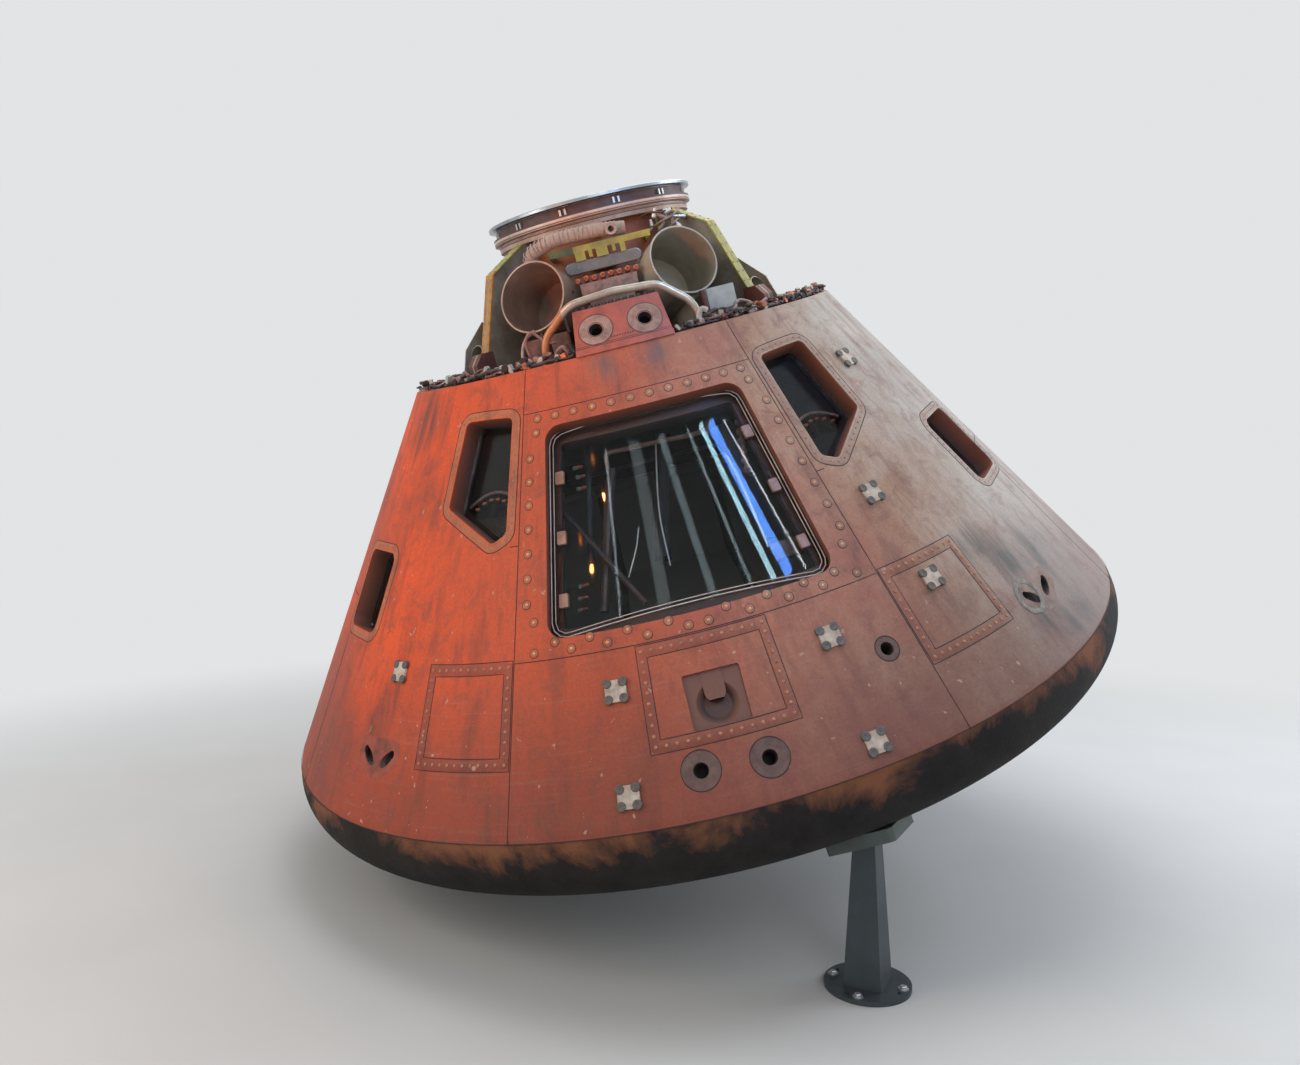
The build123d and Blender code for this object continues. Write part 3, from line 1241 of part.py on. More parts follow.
# Couch frame on the aft bulkhead, with its two forward struts up to the forward bulkhead
couch_low = COUCH_SLABS[1][1] - COUCH_PAD_T / 2
with BuildPart() as couch_frame:
    for back in BEAM_YS:
        with BuildSketch(level(couch_low - SEAT - BEAM_H)):
            with Locations((0, back)):
                Rectangle(BEAM_L, BEAM_W)
        extrude(amount=BEAM_H)
        with BuildSketch(level(FLOOR_TOP + SEAT)):
            with Locations((-BEAM_LEG_X, back), (BEAM_LEG_X, back)):
                Rectangle(BEAM_W, BEAM_W)
        extrude(amount=couch_low - SEAT - BEAM_H - FLOOR_TOP)
save(couch_frame, "couch_frame")

beam_top = couch_low - SEAT
with BuildPart() as couch_struts:
    for side in (-1, 1):
        low = at(side * (BEAM_L / 2 - STRUT_R), BEAM_YS[0], beam_top - BEAM_H / 2)
        top_r = DECK_R - STRUT_TOP_IN
        high = CAPSULE.origin + outward(side * STRUT_TOP_AZ) * top_r + CAPSULE.z_dir * DECK_LOW
        run = high - low
        with BuildSketch(Plane(origin=low, z_dir=run)):
            Circle(STRUT_R)
        extrude(amount=run.length + 60)
    # flat feet, square to the axis, on the beam and under the forward bulkhead
    with BuildSketch(level(beam_top + SEAT)):
        Rectangle(3000, 3000)
    extrude(amount=DECK_LOW - 2 * SEAT - beam_top, mode=Mode.INTERSECT)
save(couch_struts, "couch_struts")

# Main console above the couches, hung from the forward bulkhead
with BuildPart() as console:
    with BuildSketch(sideways(0)):
        with Locations((CONSOLE_Y, CONSOLE_H)):
            Rectangle(CONSOLE_L, CONSOLE_T, rotation=CONSOLE_SLOPE)
    extrude(amount=CONSOLE_W / 2, both=True)
    with BuildSketch(level(CONSOLE_H)):
        with Locations((-CONSOLE_POST_X, CONSOLE_Y), (CONSOLE_POST_X, CONSOLE_Y)):
            Rectangle(CONSOLE_POST_W, CONSOLE_POST_W)
    extrude(amount=DECK_LOW - SEAT - CONSOLE_H)
save(console, "console")

# Lockers of the lower equipment bay, opposite the hatch
with BuildPart() as equipment_bay:
    with BuildSketch(meridian(180 - BAY_AZ)):
        with BuildLine():
            Polyline(
                (BAY_R, FLOOR_TOP + SEAT),
                (skin_r(FLOOR_TOP + SEAT, CABIN_IN + SEAT), FLOOR_TOP + SEAT),
                (skin_r(BAY_TOP, CABIN_IN + SEAT), BAY_TOP),
                (BAY_R, BAY_TOP),
                close=True,
            )
        make_face()
    revolve(axis=AXIS, revolution_arc=2 * BAY_AZ)
save(equipment_bay, "equipment_bay")


def under_dish(x, y):
    """Point of the aft face above a floor point, and the direction straight out of it."""
    centre = CAPSULE.origin + CAPSULE.z_dir * DISH_CENTRE_H
    reach = (x - centre.X) ** 2 + (y - centre.Y) ** 2
    point = Vector(x, y, centre.Z - sqrt(DISH_R**2 - reach))
    return point, (point - centre).normalized()


# Stand: tapered posts on round floor flanges, one square saddle under the dish on each
saddle_planes = []
for count, name in enumerate(POSTS):
    turn = radians(POST_AZ + count * 360 / len(POSTS))
    foot_x, foot_y = POST_RING_R * sin(turn), -POST_RING_R * cos(turn)
    touch, out = under_dish(foot_x, foot_y)
    level_dir = Vector(-out.Y, out.X, 0).normalized()
    saddle_planes.append(Plane(origin=touch + out * SEAT, x_dir=level_dir, z_dir=out))
    floor = Plane(origin=(foot_x, foot_y, 0))
    square = Plane(origin=(foot_x, foot_y, 0), x_dir=level_dir, z_dir=(0, 0, 1))
    head_drop = SADDLE_T + SEAT
    head = Plane(
        origin=touch + Vector(0, 0, -(head_drop + 2 * SEAT) / abs(out.Z)),
        x_dir=level_dir,
        z_dir=-out,
    )
    with BuildPart() as post:
        with BuildSketch(square.offset(FLANGE_T)):
            Rectangle(POST_FOOT_W, POST_FOOT_W)
        with BuildSketch(head):
            Rectangle(POST_HEAD_W, POST_HEAD_W)
        loft()
        with BuildSketch(floor):
            Circle(FLANGE_R)
            with PolarLocations(FOOT_BOLT_PCD / 2, FOOT_BOLTS, start_angle=FOOT_BOLT_AZ):
                Circle(FOOT_BOLT_R, mode=Mode.SUBTRACT)
        extrude(amount=FLANGE_T)
    save(post, f"stand_post_{name}")

with BuildPart() as stand_saddles:
    for plane in saddle_planes:
        with BuildSketch(plane):
            RectangleRounded(SADDLE_W, SADDLE_W, SADDLE_CORNER_R)
        extrude(amount=SADDLE_T)
save(stand_saddles, "stand_saddles")
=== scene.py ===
"""Looks of a cone-shaped crew re-entry capsule that leans on its display stand.

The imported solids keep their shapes. This script gives each one the finish of the real
thing, and adds what is too small for them: bolts, rivets, border strips, pipes and
wiring of the open deck, char and the fittings seen through the clear hatch cover.
Lengths are metres unless a name ends in _mm or a comment says mm, and azimuths are
degrees. The capsule has its own frame, as in the solids: azimuth 0 at the hatch,
positive towards +X, heights up its axis from the widest circle.
"""

from __future__ import annotations

import logging
import math
from dataclasses import dataclass
from enum import Enum

import bpy
import numpy as np
from mathutils import Matrix, Vector


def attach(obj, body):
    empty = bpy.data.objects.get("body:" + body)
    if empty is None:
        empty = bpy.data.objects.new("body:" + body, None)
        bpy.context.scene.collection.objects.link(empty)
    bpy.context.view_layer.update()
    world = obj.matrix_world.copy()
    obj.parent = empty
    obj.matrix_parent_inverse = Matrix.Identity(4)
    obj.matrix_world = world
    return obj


log = logging.getLogger("capsule")
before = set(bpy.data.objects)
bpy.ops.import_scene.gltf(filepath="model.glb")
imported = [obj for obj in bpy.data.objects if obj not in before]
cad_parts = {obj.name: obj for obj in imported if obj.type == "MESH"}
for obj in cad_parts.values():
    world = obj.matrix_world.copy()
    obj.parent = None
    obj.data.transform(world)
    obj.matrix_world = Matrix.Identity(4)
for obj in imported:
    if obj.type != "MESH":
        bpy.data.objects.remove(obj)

MM = 0.001
Array = np.ndarray
Colour = tuple[float, float, float, float]
Place = tuple[float, float, float]
# rows of numbers, each named in the comment above it, and stops of a colour ramp
Table = tuple[tuple[float, ...], ...]
Ramp = tuple[tuple[float, str], ...]
Tree = bpy.types.NodeTree
Node = bpy.types.Node
Source = Node | bpy.types.NodeSocket


def linear(code: str) -> Colour:
    """Turns an sRGB hex value into a linear colour.

    Args:
        code: Six hex digits after a hash mark.

    Returns:
        Red, green, blue and an alpha of 1, by the sRGB curve's two pieces.
    """
    parts = np.array([int(code[i : i + 2], 16) / 255 for i in (1, 3, 5)])
    low, high = parts / 12.92, ((parts + 0.055) / 1.055) ** 2.4
    red, green, blue = np.where(parts <= 0.04045, low, high)
    return float(red), float(green), float(blue), 1.0


def add_node(tree: Tree, kind: str, settings: dict | None = None,
             links: dict[int | str, Source] | None = None) -> Node:
    """Adds a node with its settings and its incoming links.

    Args:
        tree: The node tree of a material or the world.
        kind: Blender's type name of the node, less the word ShaderNode.
        settings: Properties by their lower case names, sockets by their titles or
            numbers with colours in hex, and "stops" for a colour ramp as pairs of
            place and hex colour.
        links: What feeds each input, by the input's title or number. A node feeds its
            first output in use.

    Returns:
        The node.
    """
    made = tree.nodes.new("ShaderNode" + kind)
    for key, value in (settings or {}).items():
        if key == "stops":
            while len(made.color_ramp.elements) < len(value):
                made.color_ramp.elements.new(0.5)
            for element, (place, code) in zip(made.color_ramp.elements, value):
                element.position = place
                element.color = linear(code)
        elif isinstance(key, str) and hasattr(made, key):
            setattr(made, key, value)
        else:
            made.inputs[key].default_value = linear(value) if isinstance(value, str) else value
    for key, source in (links or {}).items():
        if isinstance(source, Node):
            source = next(output for output in source.outputs if output.enabled)
        tree.links.new(source, made.inputs[key])
    return made


def own_place(tree: Tree) -> Node:
    """Place in the capsule's frame: sideways, back from the hatch, up the axis.

    Args:
        tree: The material's node tree.

    Returns:
        The place that the surface's point has in that frame, in metres.
    """
    turn = Matrix([list(row) for row in CAPSULE.axes]).transposed().to_euler("XYZ")
    place = add_node(tree, "TexCoord").outputs["Object"]
    return add_node(tree, "Mapping", {
        "vector_type": "TEXTURE", "Location": tuple(CAPSULE.origin), "Rotation": tuple(turn)},
        {"Vector": place})


def off_axis(tree: Tree, own: Source) -> Node:
    """The part of a place in the capsule's frame that is square to the axis."""
    return add_node(tree, "VectorMath", {"operation": "MULTIPLY", 1: (1, 1, 0)}, {0: own})


def seen_rays(tree: Tree) -> Node:
    """1 for the rays that the eye follows, direct, mirrored or through glass.

    Args:
        tree: The node tree of a material or the world.

    Returns:
        The greatest of the three kinds' values, 0 or 1.
    """
    path = add_node(tree, "LightPath").outputs
    seen = add_node(tree, "Math", {"operation": "MAXIMUM"},
                    {0: path["Is Camera Ray"], 1: path["Is Glossy Ray"]})
    return add_node(tree, "Math", {"operation": "MAXIMUM"},
                    {0: seen, 1: path["Is Transmission Ray"]})


@dataclass
class Shape:
    """Points and faces of one or more closed surfaces."""

    points: Array
    faces: list[list[int]]

    @staticmethod
    def joined(shapes: list[Shape]) -> Shape:
        """Puts several shapes into one.

        Args:
            shapes: The shapes, which keep their places.

        Returns:
            One shape, with each face list moved on by the points before it.
        """
        starts = np.cumsum([0] + [len(shape.points) for shape in shapes]).tolist()
        faces = [[i + start for i in face] for shape, start in zip(shapes, starts)
                 for face in shape.faces]
        return Shape(np.concatenate([shape.points for shape in shapes]), faces)

    def copies(self, origins: Array, axes: Array, sizes: Array | float = 1.0) -> Shape:
        """Sets a copy of the shape at each of several places.

        Args:
            origins: One point per copy.
            axes: One 3 by 3 array per copy, or one for all, whose rows are the copy's
                own x, y and z.
            sizes: One factor per copy, or one for all.

        Returns:
            All copies: origin + size * (x * row 0 + y * row 1 + z * row 2).
        """
        origins = np.atleast_2d(origins)
        count, step = len(origins), len(self.points)
        axes = np.broadcast_to(axes, (count, 3, 3))
        scale = np.broadcast_to(np.asarray(sizes, float), (count,))[:, None, None]
        placed = origins[:, None, :] + scale * np.einsum("pi,nij->npj", self.points, axes)
        faces = [[i + step * k for i in face] for k in range(count) for face in self.faces]
        return Shape(placed.reshape(-1, 3), faces)


# corners of a square, anticlockwise
SQUARE = np.array([[1, 1], [-1, 1], [-1, -1], [1, -1]])


def circle(sides: int, radius: float = 1.0) -> Array:
    """Points evenly round a circle, anticlockwise, as an outline or a section."""
    turn = np.linspace(0, 2 * np.pi, sides, endpoint=False)
    return radius * np.stack([np.cos(turn), np.sin(turn)], 1)


def rounded(width: float, height: float, radius: float, arc: int = 4) -> Array:
    """Outline of a rectangle with round corners, anticlockwise.

    Args:
        width: Size along x.
        height: Size along y.
        radius: Radius of the corners.
        arc: Points on each corner.

    Returns:
        The outline: each corner's centre plus the radius turned through 90 degrees.
    """
    turn = np.linspace(0, np.pi / 2, arc)
    quarter = np.stack([np.cos(turn), np.sin(turn)], 1) * radius
    centre = np.array([width / 2 - radius, height / 2 - radius])
    corners = [quarter * flip + centre * flip for flip in SQUARE]
    corners[1], corners[3] = corners[1][::-1], corners[3][::-1]
    return np.concatenate(corners)


def ring_faces(rings: int, sides: int, closed: bool) -> list[list[int]]:
    """Four-sided faces between neighbouring rings of points, facing outwards.

    Args:
        rings: Number of rings, stored one after the other.
        sides: Points in each ring, anticlockwise.
        closed: Whether the last ring joins the first.

    Returns:
        Four point numbers for each face.
    """
    row = np.arange(rings if closed else rings - 1)[:, None]
    col = np.arange(sides)[None, :]
    up, on = (row + 1) % rings, (col + 1) % sides
    quads = np.stack(
        [row * sides + col, row * sides + on, up * sides + on, up * sides + col], -1)
    return quads.reshape(-1, 4).tolist()


def capped(points: Array, rings: int, sides: int) -> Shape:
    """Closes a run of rings with a fan at each end, from the middle of the end ring.

    Args:
        points: The rings' points, ring by ring.
        rings: Number of rings.
        sides: Points in each ring.

    Returns:
        The closed shape, with two points more, the ends' middles.
    """
    ends = np.stack([points[:sides].mean(0), points[-sides:].mean(0)])
    low, high = rings * sides, rings * sides + 1
    col = np.arange(sides)
    on = (col + 1) % sides
    last = (rings - 1) * sides
    fans = [np.stack([np.full(sides, low), on, col], 1),
            np.stack([np.full(sides, high), last + col, last + on], 1)]
    faces = ring_faces(rings, sides, closed=False) + np.concatenate(fans).tolist()
    return Shape(np.concatenate([points, ends]), faces)


def stack(outline: Array, levels: list[tuple[float, float]], unit: float = 1.0) -> Shape:
    """A closed form built up from one outline, such as a bolt head, dome or plate.

    Args:
        outline: Points anticlockwise about the origin.
        levels: Pairs of factor and height, from the bottom up.
        unit: What the heights are given in.

    Returns:
        The surface: outline times factor, at each height, with both ends closed.
    """
    factor, height = (np.array(levels, float) * (1.0, unit)).T
    flat = outline[None] * factor[:, None, None]
    tall = np.broadcast_to(height[:, None, None], flat.shape[:2] + (1,))
    points = np.concatenate([flat, tall], -1).reshape(-1, 3)
    return capped(points, len(levels), len(outline))


def collar(profile: list[tuple[float, float]], sides: int) -> Shape:
    """A closed ring, such as a washer or a liner.

    Args:
        profile: Section as pairs of radius and height, anticlockwise with the radius
            to the right.
        sides: Steps round the ring.

    Returns:
        The surface: the section turned about z.
    """
    radius, height = np.array(profile, float).T
    turn = np.linspace(0, 2 * np.pi, sides, endpoint=False)[:, None]
    points = np.stack(
        [radius * np.cos(turn), radius * np.sin(turn), height + 0 * turn], -1)
    faces = [f[::-1] for f in ring_faces(sides, len(profile), closed=True)]
    return Shape(points.reshape(-1, 3), faces)


def swept(section: Array, path: Array, normals: Array, closed: bool = False,
          sizes: Array | float = 1.0) -> Shape:
    """Carries a section along a path.

    Args:
        section: Outline anticlockwise, x across the path and y along the normals.
        path: Points of the path.
        normals: One direction per point that the section's y follows, or one for all.
        closed: Whether the path joins up with its start.
        sizes: One factor per point for the section, or one for all.

    Returns:
        The surface: path + size * (x * (tangent cross normal) + y * normal), where the
        normal is first made square to the tangent.
    """
    if closed:
        tangent = np.roll(path, -1, 0) - np.roll(path, 1, 0)
    else:
        tangent = np.gradient(path, axis=0)
    tangent /= np.linalg.norm(tangent, axis=1, keepdims=True)
    normal = np.broadcast_to(normals, path.shape) + 0.0
    normal -= (normal * tangent).sum(1, keepdims=True) * tangent
    normal /= np.linalg.norm(normal, axis=1, keepdims=True)
    across = np.cross(normal, tangent)
    scale = np.broadcast_to(np.asarray(sizes, float), (len(path),))[:, None, None]
    points = path[:, None] + scale * (
        section[None, :, :1] * across[:, None] + section[None, :, 1:] * normal[:, None])
    points = points.reshape(-1, 3)
    if closed:
        return Shape(points, ring_faces(len(path), len(section), closed=True))
    return capped(points, len(path), len(section))


def smooth_path(corners: Array, steps: int) -> Array:
    """A soft curve through corner points, by the Catmull-Rom formula in whole arrays.

    Args:
        corners: Points that the curve passes through.
        steps: Points on each stretch.

    Returns:
        Points along the curve.
    """
    padded = np.concatenate([2 * corners[:1] - corners[1:2], corners,
                             2 * corners[-1:] - corners[-2:-1]])
    t = np.linspace(0, 1, steps, endpoint=False)[None, :, None]
    a, b, c, d = (padded[i : len(padded) - 3 + i, None] for i in range(4))
    curve = 0.5 * (2 * b + (c - a) * t + (2 * a - 5 * b + 4 * c - d) * t**2
                   + (3 * b - a - 3 * c + d) * t**3)
    return np.concatenate([curve.reshape(-1, 3), corners[-1:]])


def slab(grid: Array, normals: Array, thickness: float) -> Shape:
    """A closed sheet of even thickness over a grid of points.

    Args:
        grid: Points in rows and columns, anticlockwise as the normals see them.
        normals: Directions out of the upper face, one for all or one per point.
        thickness: Metres from the upper to the lower face.

    Returns:
        The grid, the grid less normal * thickness, and a band round both rims.
    """
    rows, cols = grid.shape[:2]
    count = rows * cols
    under = grid - np.broadcast_to(normals, grid.shape) * thickness
    index = np.arange(count).reshape(rows, cols)
    quads = np.stack([index[:-1, :-1], index[:-1, 1:], index[1:, 1:], index[1:, :-1]],
                     -1).reshape(-1, 4)
    rim = np.concatenate([index[0, :-1], index[:-1, -1], index[-1, :0:-1], index[:0:-1, 0]])
    on = np.roll(rim, -1)
    band = np.stack([rim, rim + count, on + count, on], 1)
    faces = np.concatenate([quads, quads[:, ::-1] + count, band]).tolist()
    return Shape(np.concatenate([grid.reshape(-1, 3), under.reshape(-1, 3)]), faces)


def resampled(path: Array, pitch: float, closed: bool = False) -> Array:
    """Points evenly along a path, by linear interpolation over its running length.

    Args:
        path: Points of the path.
        pitch: Distance between the new points, rounded to fit.
        closed: Whether the path joins up with its start.

    Returns:
        The new points.
    """
    if closed:
        path = np.concatenate([path, path[:1]])
    steps = np.linalg.norm(np.diff(path, axis=0), axis=1)
    length = np.concatenate([[0.0], np.cumsum(steps)])
    count = max(int(round(length[-1] / pitch)), 4)
    places = np.linspace(0, length[-1], count, endpoint=not closed)
    return np.stack([np.interp(places, length, column) for column in path.T], 1)


def filleted(corners: Array, radii: Array | float, arc: int = 7) -> Array:
    """Outline of a polygon with rounded corners, anticlockwise.

    Args:
        corners: Its corners.
        radii: Radius of each corner, or one for all.
        arc: Points on each corner.

    Returns:
        Points on arcs that touch both sides: the centre lies on the bisector, the radius
        over the sine of the half angle away from the corner.
    """
    back, ahead = np.roll(corners, 1, 0) - corners, np.roll(corners, -1, 0) - corners
    back /= np.linalg.norm(back, axis=1, keepdims=True)
    ahead /= np.linalg.norm(ahead, axis=1, keepdims=True)
    half = np.arccos(np.clip((back * ahead).sum(1), -1, 1)) / 2
    middle = back + ahead
    middle /= np.maximum(np.linalg.norm(middle, axis=1, keepdims=True), 1e-9)
    radius = np.broadcast_to(np.asarray(radii, float), half.shape)
    centre = corners + middle * (radius / np.sin(half))[:, None]
    turn = np.arctan2(-middle[:, 1], -middle[:, 0])[:, None]
    spread = (np.pi / 2 - half)[:, None] * np.linspace(-1, 1, arc)[None]
    points = centre[:, None] + radius[:, None, None] * np.stack(
        [np.cos(turn + spread), np.sin(turn + spread)], -1)
    return points.reshape(-1, 2)


def grown(outline: Array, growth: float) -> Array:
    """An anticlockwise outline moved outwards along its own normals.

    Args:
        outline: Points round a closed outline, n by 2.
        growth: How far it moves, inwards where that is below 0.

    Returns:
        outline + growth * (the direction between both neighbours, turned right).
    """
    tangent = np.roll(outline, -1, 0) - np.roll(outline, 1, 0)
    tangent /= np.linalg.norm(tangent, axis=1, keepdims=True)
    return outline + growth * np.stack([tangent[:, 1], -tangent[:, 0]], 1)


@dataclass(frozen=True)
class Capsule:
    """The capsule's own frame and its outer cone."""

    centre_h: float = 966.5 * MM
    roll: float = 14.09
    pitch: float = 10.8
    corner_ring_r: float = 1760.2 * MM
    corner_r: float = 195.6 * MM
    half_angle: float = 33.0
    rim_h: float = 1542.0 * MM
    seam_h: float = 77.0 * MM

    @property
    def origin(self) -> Array:
        """Middle of the widest circle."""
        return np.array([0.0, 0.0, self.centre_h])

    @property
    def axes(self) -> Array:
        """Rows: sideways, back from the hatch, up the axis.

        Returns:
            The upright frame rolled to the left, then pitched towards the eye.
        """
        roll, pitch = math.radians(self.roll), math.radians(self.pitch)
        side = np.array([math.cos(roll), 0.0, math.sin(roll)])
        up = np.array([-math.sin(roll) * math.cos(pitch), -math.sin(pitch),
                       math.cos(roll) * math.cos(pitch)])
        return np.stack([side, np.cross(up, side), up])

    @property
    def slope(self) -> tuple[float, float]:
        """Sine and cosine of the cone's half angle."""
        half = math.radians(self.half_angle)
        return math.sin(half), math.cos(half)

    @property
    def skin_depth(self) -> float:
        """Distance of the skin from the axis, measured square to the skin, at height 0."""
        return self.corner_ring_r * self.slope[1] + self.corner_r

    def at(self, local: Array) -> Array:
        """Turns sideways, back and up into the row frame."""
        return self.origin + np.asarray(local, float) @ self.axes

    def skin_r(self, height: Array, depth: float = 0.0) -> Array:
        """Radius of the cone at a height, a depth below its outer surface."""
        sine, cosine = self.slope
        return (self.skin_depth - depth - np.asarray(height) * sine) / cosine

    def outward(self, azimuth: Array) -> Array:
        """Unit directions away from the axis at azimuths in degrees."""
        turn = np.radians(np.asarray(azimuth, float))[..., None]
        return np.sin(turn) * self.axes[0] - np.cos(turn) * self.axes[1]

    def normal(self, azimuth: Array) -> Array:
        """Directions straight out of the cone."""
        sine, cosine = self.slope
        return self.outward(azimuth) * cosine + self.axes[2] * sine

    def skin(self, azimuth: Array, height: Array, proud: float = 0.0) -> Array:
        """Points on the cone, or a little proud of it.

        Args:
            azimuth: Degrees round the axis.
            height: Metres up the axis.
            proud: Metres out of the surface.

        Returns:
            origin + outward * radius(height) + up * height + normal * proud.
        """
        azimuth, height = np.broadcast_arrays(np.asarray(azimuth, float),
                                              np.asarray(height, float))
        out = self.outward(azimuth)
        base = self.origin + out * self.skin_r(height)[..., None]
        return base + height[..., None] * self.axes[2] + self.normal(azimuth) * proud

    def on_skin(self, azimuth: Array) -> Array:
        """Frames that lie on the cone: x round it, y up the slope, z straight out.

        Args:
            azimuth: Places round the axis, degrees.

        Returns:
            One frame of three rows for each place.
        """
        azimuth = np.atleast_1d(np.asarray(azimuth, float))
        normal, round_it = self.normal(azimuth), self.outward(azimuth + 90)
        return np.stack([round_it, np.cross(normal, round_it), normal], 1)

    def spots(self, azimuth: Array, height: Array, proud: float = 0.0) -> tuple[Array, Array]:
        """Points on the cone or proud of it, with the frames that lie on it there."""
        return self.skin(azimuth, height, proud), self.on_skin(azimuth)

    def flat(self, azimuth: float, height: float, corners: Array) -> Array:
        """Corners on the cone as pairs across and up in the plane that touches it.

        Args:
            azimuth: Where the plane touches, degrees.
            height: Where it touches, metres.
            corners: Pairs of azimuth and height.

        Returns:
            Their offsets from the touching point along the plane's x and y.
        """
        offset = self.skin(corners[:, 0], corners[:, 1]) - self.skin(azimuth, height)
        return offset @ self.on_skin(azimuth)[0, :2].T

    def wrapped(self, flat: Array, azimuth: float, height: float, depth: float = 0.0
                ) -> tuple[Array, Array]:
        """Carries points of a touching plane straight down onto the cone.

        Args:
            flat: Pairs across and up in the plane.
            azimuth: Where the plane touches, degrees.
            height: Where it touches, metres.
            depth: Metres below the skin that they end up at.

        Returns:
            The points and the cone's normals there. Each point moves along the plane's
            normal by the depth that it still lacks, a few times over.
        """
        across, up, out = self.on_skin(azimuth)[0]
        sine, cosine = self.slope
        points = self.skin(azimuth, height) + flat @ np.stack([across, up])
        for _ in range(6):
            local = (points - self.origin) @ self.axes.T
            radius = np.hypot(local[:, 0], local[:, 1])
            lack = self.skin_depth - radius * cosine - local[:, 2] * sine - depth
            points = points + lack[:, None] * out
        return points, self.normal(np.degrees(np.arctan2(local[:, 0], -local[:, 1])))

    @property
    def facing(self) -> Array:
        """Frame seen square on from the hatch: x sideways, y up the axis, z to the viewer."""
        return np.stack([self.axes[0], self.axes[2], -self.axes[1]])


CAPSULE = Capsule()


class Slot(Enum):
    """The record's material slots, listed with the tubes and the rim's bits."""

    ABLATOR = "ablator"
    PORT = "port_ring"
    PAD = "pad"
    CABIN = "cabin_metal"
    CABIN_GREY = "cabin_grey"
    TUNNEL = "tunnel_paint"
    BAND = "band_tan"
    LATCH = "latch_metal"
    WEB = "web_grey"
    MANIFOLD = "manifold_metal"
    DUCT = "duct_cloth"
    STAND = "post_green"


@dataclass(frozen=True)
class Finish:
    """A finish with its name. Each kind paints its own node tree."""

    name: str

    def material(self) -> bpy.types.Material:
        """The material of this finish, made on first use.

        Returns:
            The one material by this name, with what paint() gives on its surface.
        """
        found = bpy.data.materials.get(self.name)
        if found:
            return found
        made = bpy.data.materials.new(self.name)
        made.use_nodes = True
        made.node_tree.nodes.clear()
        add_node(made.node_tree, "OutputMaterial", links={"Surface": self.paint(made.node_tree)})
        return made

    def paint(self, tree: Tree) -> Node:
        """Builds the nodes and returns the shader."""
        raise NotImplementedError


@dataclass(frozen=True)
class Worn(Finish):
    """Painted, primed or bare metal with mottling, grime and a fine grain."""

    base: str = "#808080"
    shade: str = "#606060"
    grime: str = "#2a2420"
    mottle_mm: float = 60.0
    grain_mm: float = 3.0
    grime_share: float = 0.35
    metallic: float = 0.0
    roughness: float = 0.5
    spread: float = 0.12
    bump: float = 0.15
    sheen: float = 0.5

    def inputs(self, tree: Tree) -> dict[str, Source]:
        """Base and shade by a broad noise, grime by a second one, grain in the bump.

        Args:
            tree: The material's nodes.

        Returns:
            The nodes of colour, roughness and normal by the titles of their sockets.
        """
        place = add_node(tree, "TexCoord").outputs["Object"]
        patch, grit = self.mottle_mm * MM, self.grain_mm * MM
        broad, dirt, grain = (add_node(tree, "TexNoise", {
            "Scale": scale, "Detail": detail, "Roughness": rough}, {"Vector": place})
            for scale, detail, rough in (
                (1 / patch, 5.0, 0.6), (0.45 / patch, 8.0, 0.68), (1 / grit, 2.0, 0.5)))
        tone = add_node(tree, "ValToRGB", {
            "stops": ((0.35, self.base), (0.68, self.shade))}, {0: broad})
        mask = add_node(tree, "MapRange", {
            "From Min": 0.47, "From Max": 0.78, "To Max": self.grime_share * 2}, {"Value": dirt})
        rough = add_node(tree, "MapRange", {
            "To Min": self.roughness - self.spread, "To Max": self.roughness + self.spread},
            {"Value": broad})
        return {"Base Color": add_node(tree, "Mix", {"data_type": "RGBA", 7: self.grime},
                                       {0: mask, 6: tone}),
                "Roughness": rough,
                "Normal": add_node(tree, "Bump", {"Strength": self.bump, "Distance": grit * 0.3},
                                   {"Height": grain})}

    def paint(self, tree: Tree) -> Node:
        """One shader from the finish's sockets."""
        return add_node(tree, "BsdfPrincipled", {
            "Metallic": self.metallic, "Specular IOR Level": self.sheen}, self.inputs(tree))


class Measure(Enum):
    """What a zone is told by, in the capsule's frame."""

    RADIUS = "distance from the axis"
    HEIGHT = "height up the axis"
    DEPTH = "depth below the skin, square to it"
    DIAGONAL = "distance from the two planes at 45 degrees through the axis"
    SIDE = "place to the right of the axis"

    def source(self, tree: Tree) -> Source:
        """The measured value at the shaded point, in metres.

        Args:
            tree: The material's nodes.

        Returns:
            What gives it: radius is the length of (x, y), the diagonal is the absolute
            difference of |x| and |y| over the root of 2, and the depth is the skin's
            distance less radius * cosine and height * sine.
        """
        own = own_place(tree)
        parts = add_node(tree, "SeparateXYZ", links={0: own}).outputs
        if self is Measure.HEIGHT:
            return parts[2]
        if self is Measure.SIDE:
            return parts[0]
        if self is Measure.DIAGONAL:
            across, back = (add_node(tree, "Math", {"operation": "ABSOLUTE"}, {0: parts[i]})
                            for i in (0, 1))
            apart = add_node(tree, "Math", {"operation": "SUBTRACT"}, {0: across, 1: back})
            size = add_node(tree, "Math", {"operation": "ABSOLUTE"}, {0: apart})
            return add_node(tree, "Math", {"operation": "MULTIPLY", 1: math.sqrt(0.5)}, {0: size})
        radius = add_node(tree, "VectorMath", {"operation": "LENGTH"}, {0: off_axis(tree, own)})
        if self is Measure.RADIUS:
            return radius
        sine, cosine = CAPSULE.slope
        rise = add_node(tree, "Math", {
            "operation": "MULTIPLY_ADD", 1: -sine, 2: CAPSULE.skin_depth}, {0: parts[2]})
        return add_node(tree, "Math", {"operation": "MULTIPLY_ADD", 1: -cosine},
                        {0: radius, 2: rise})


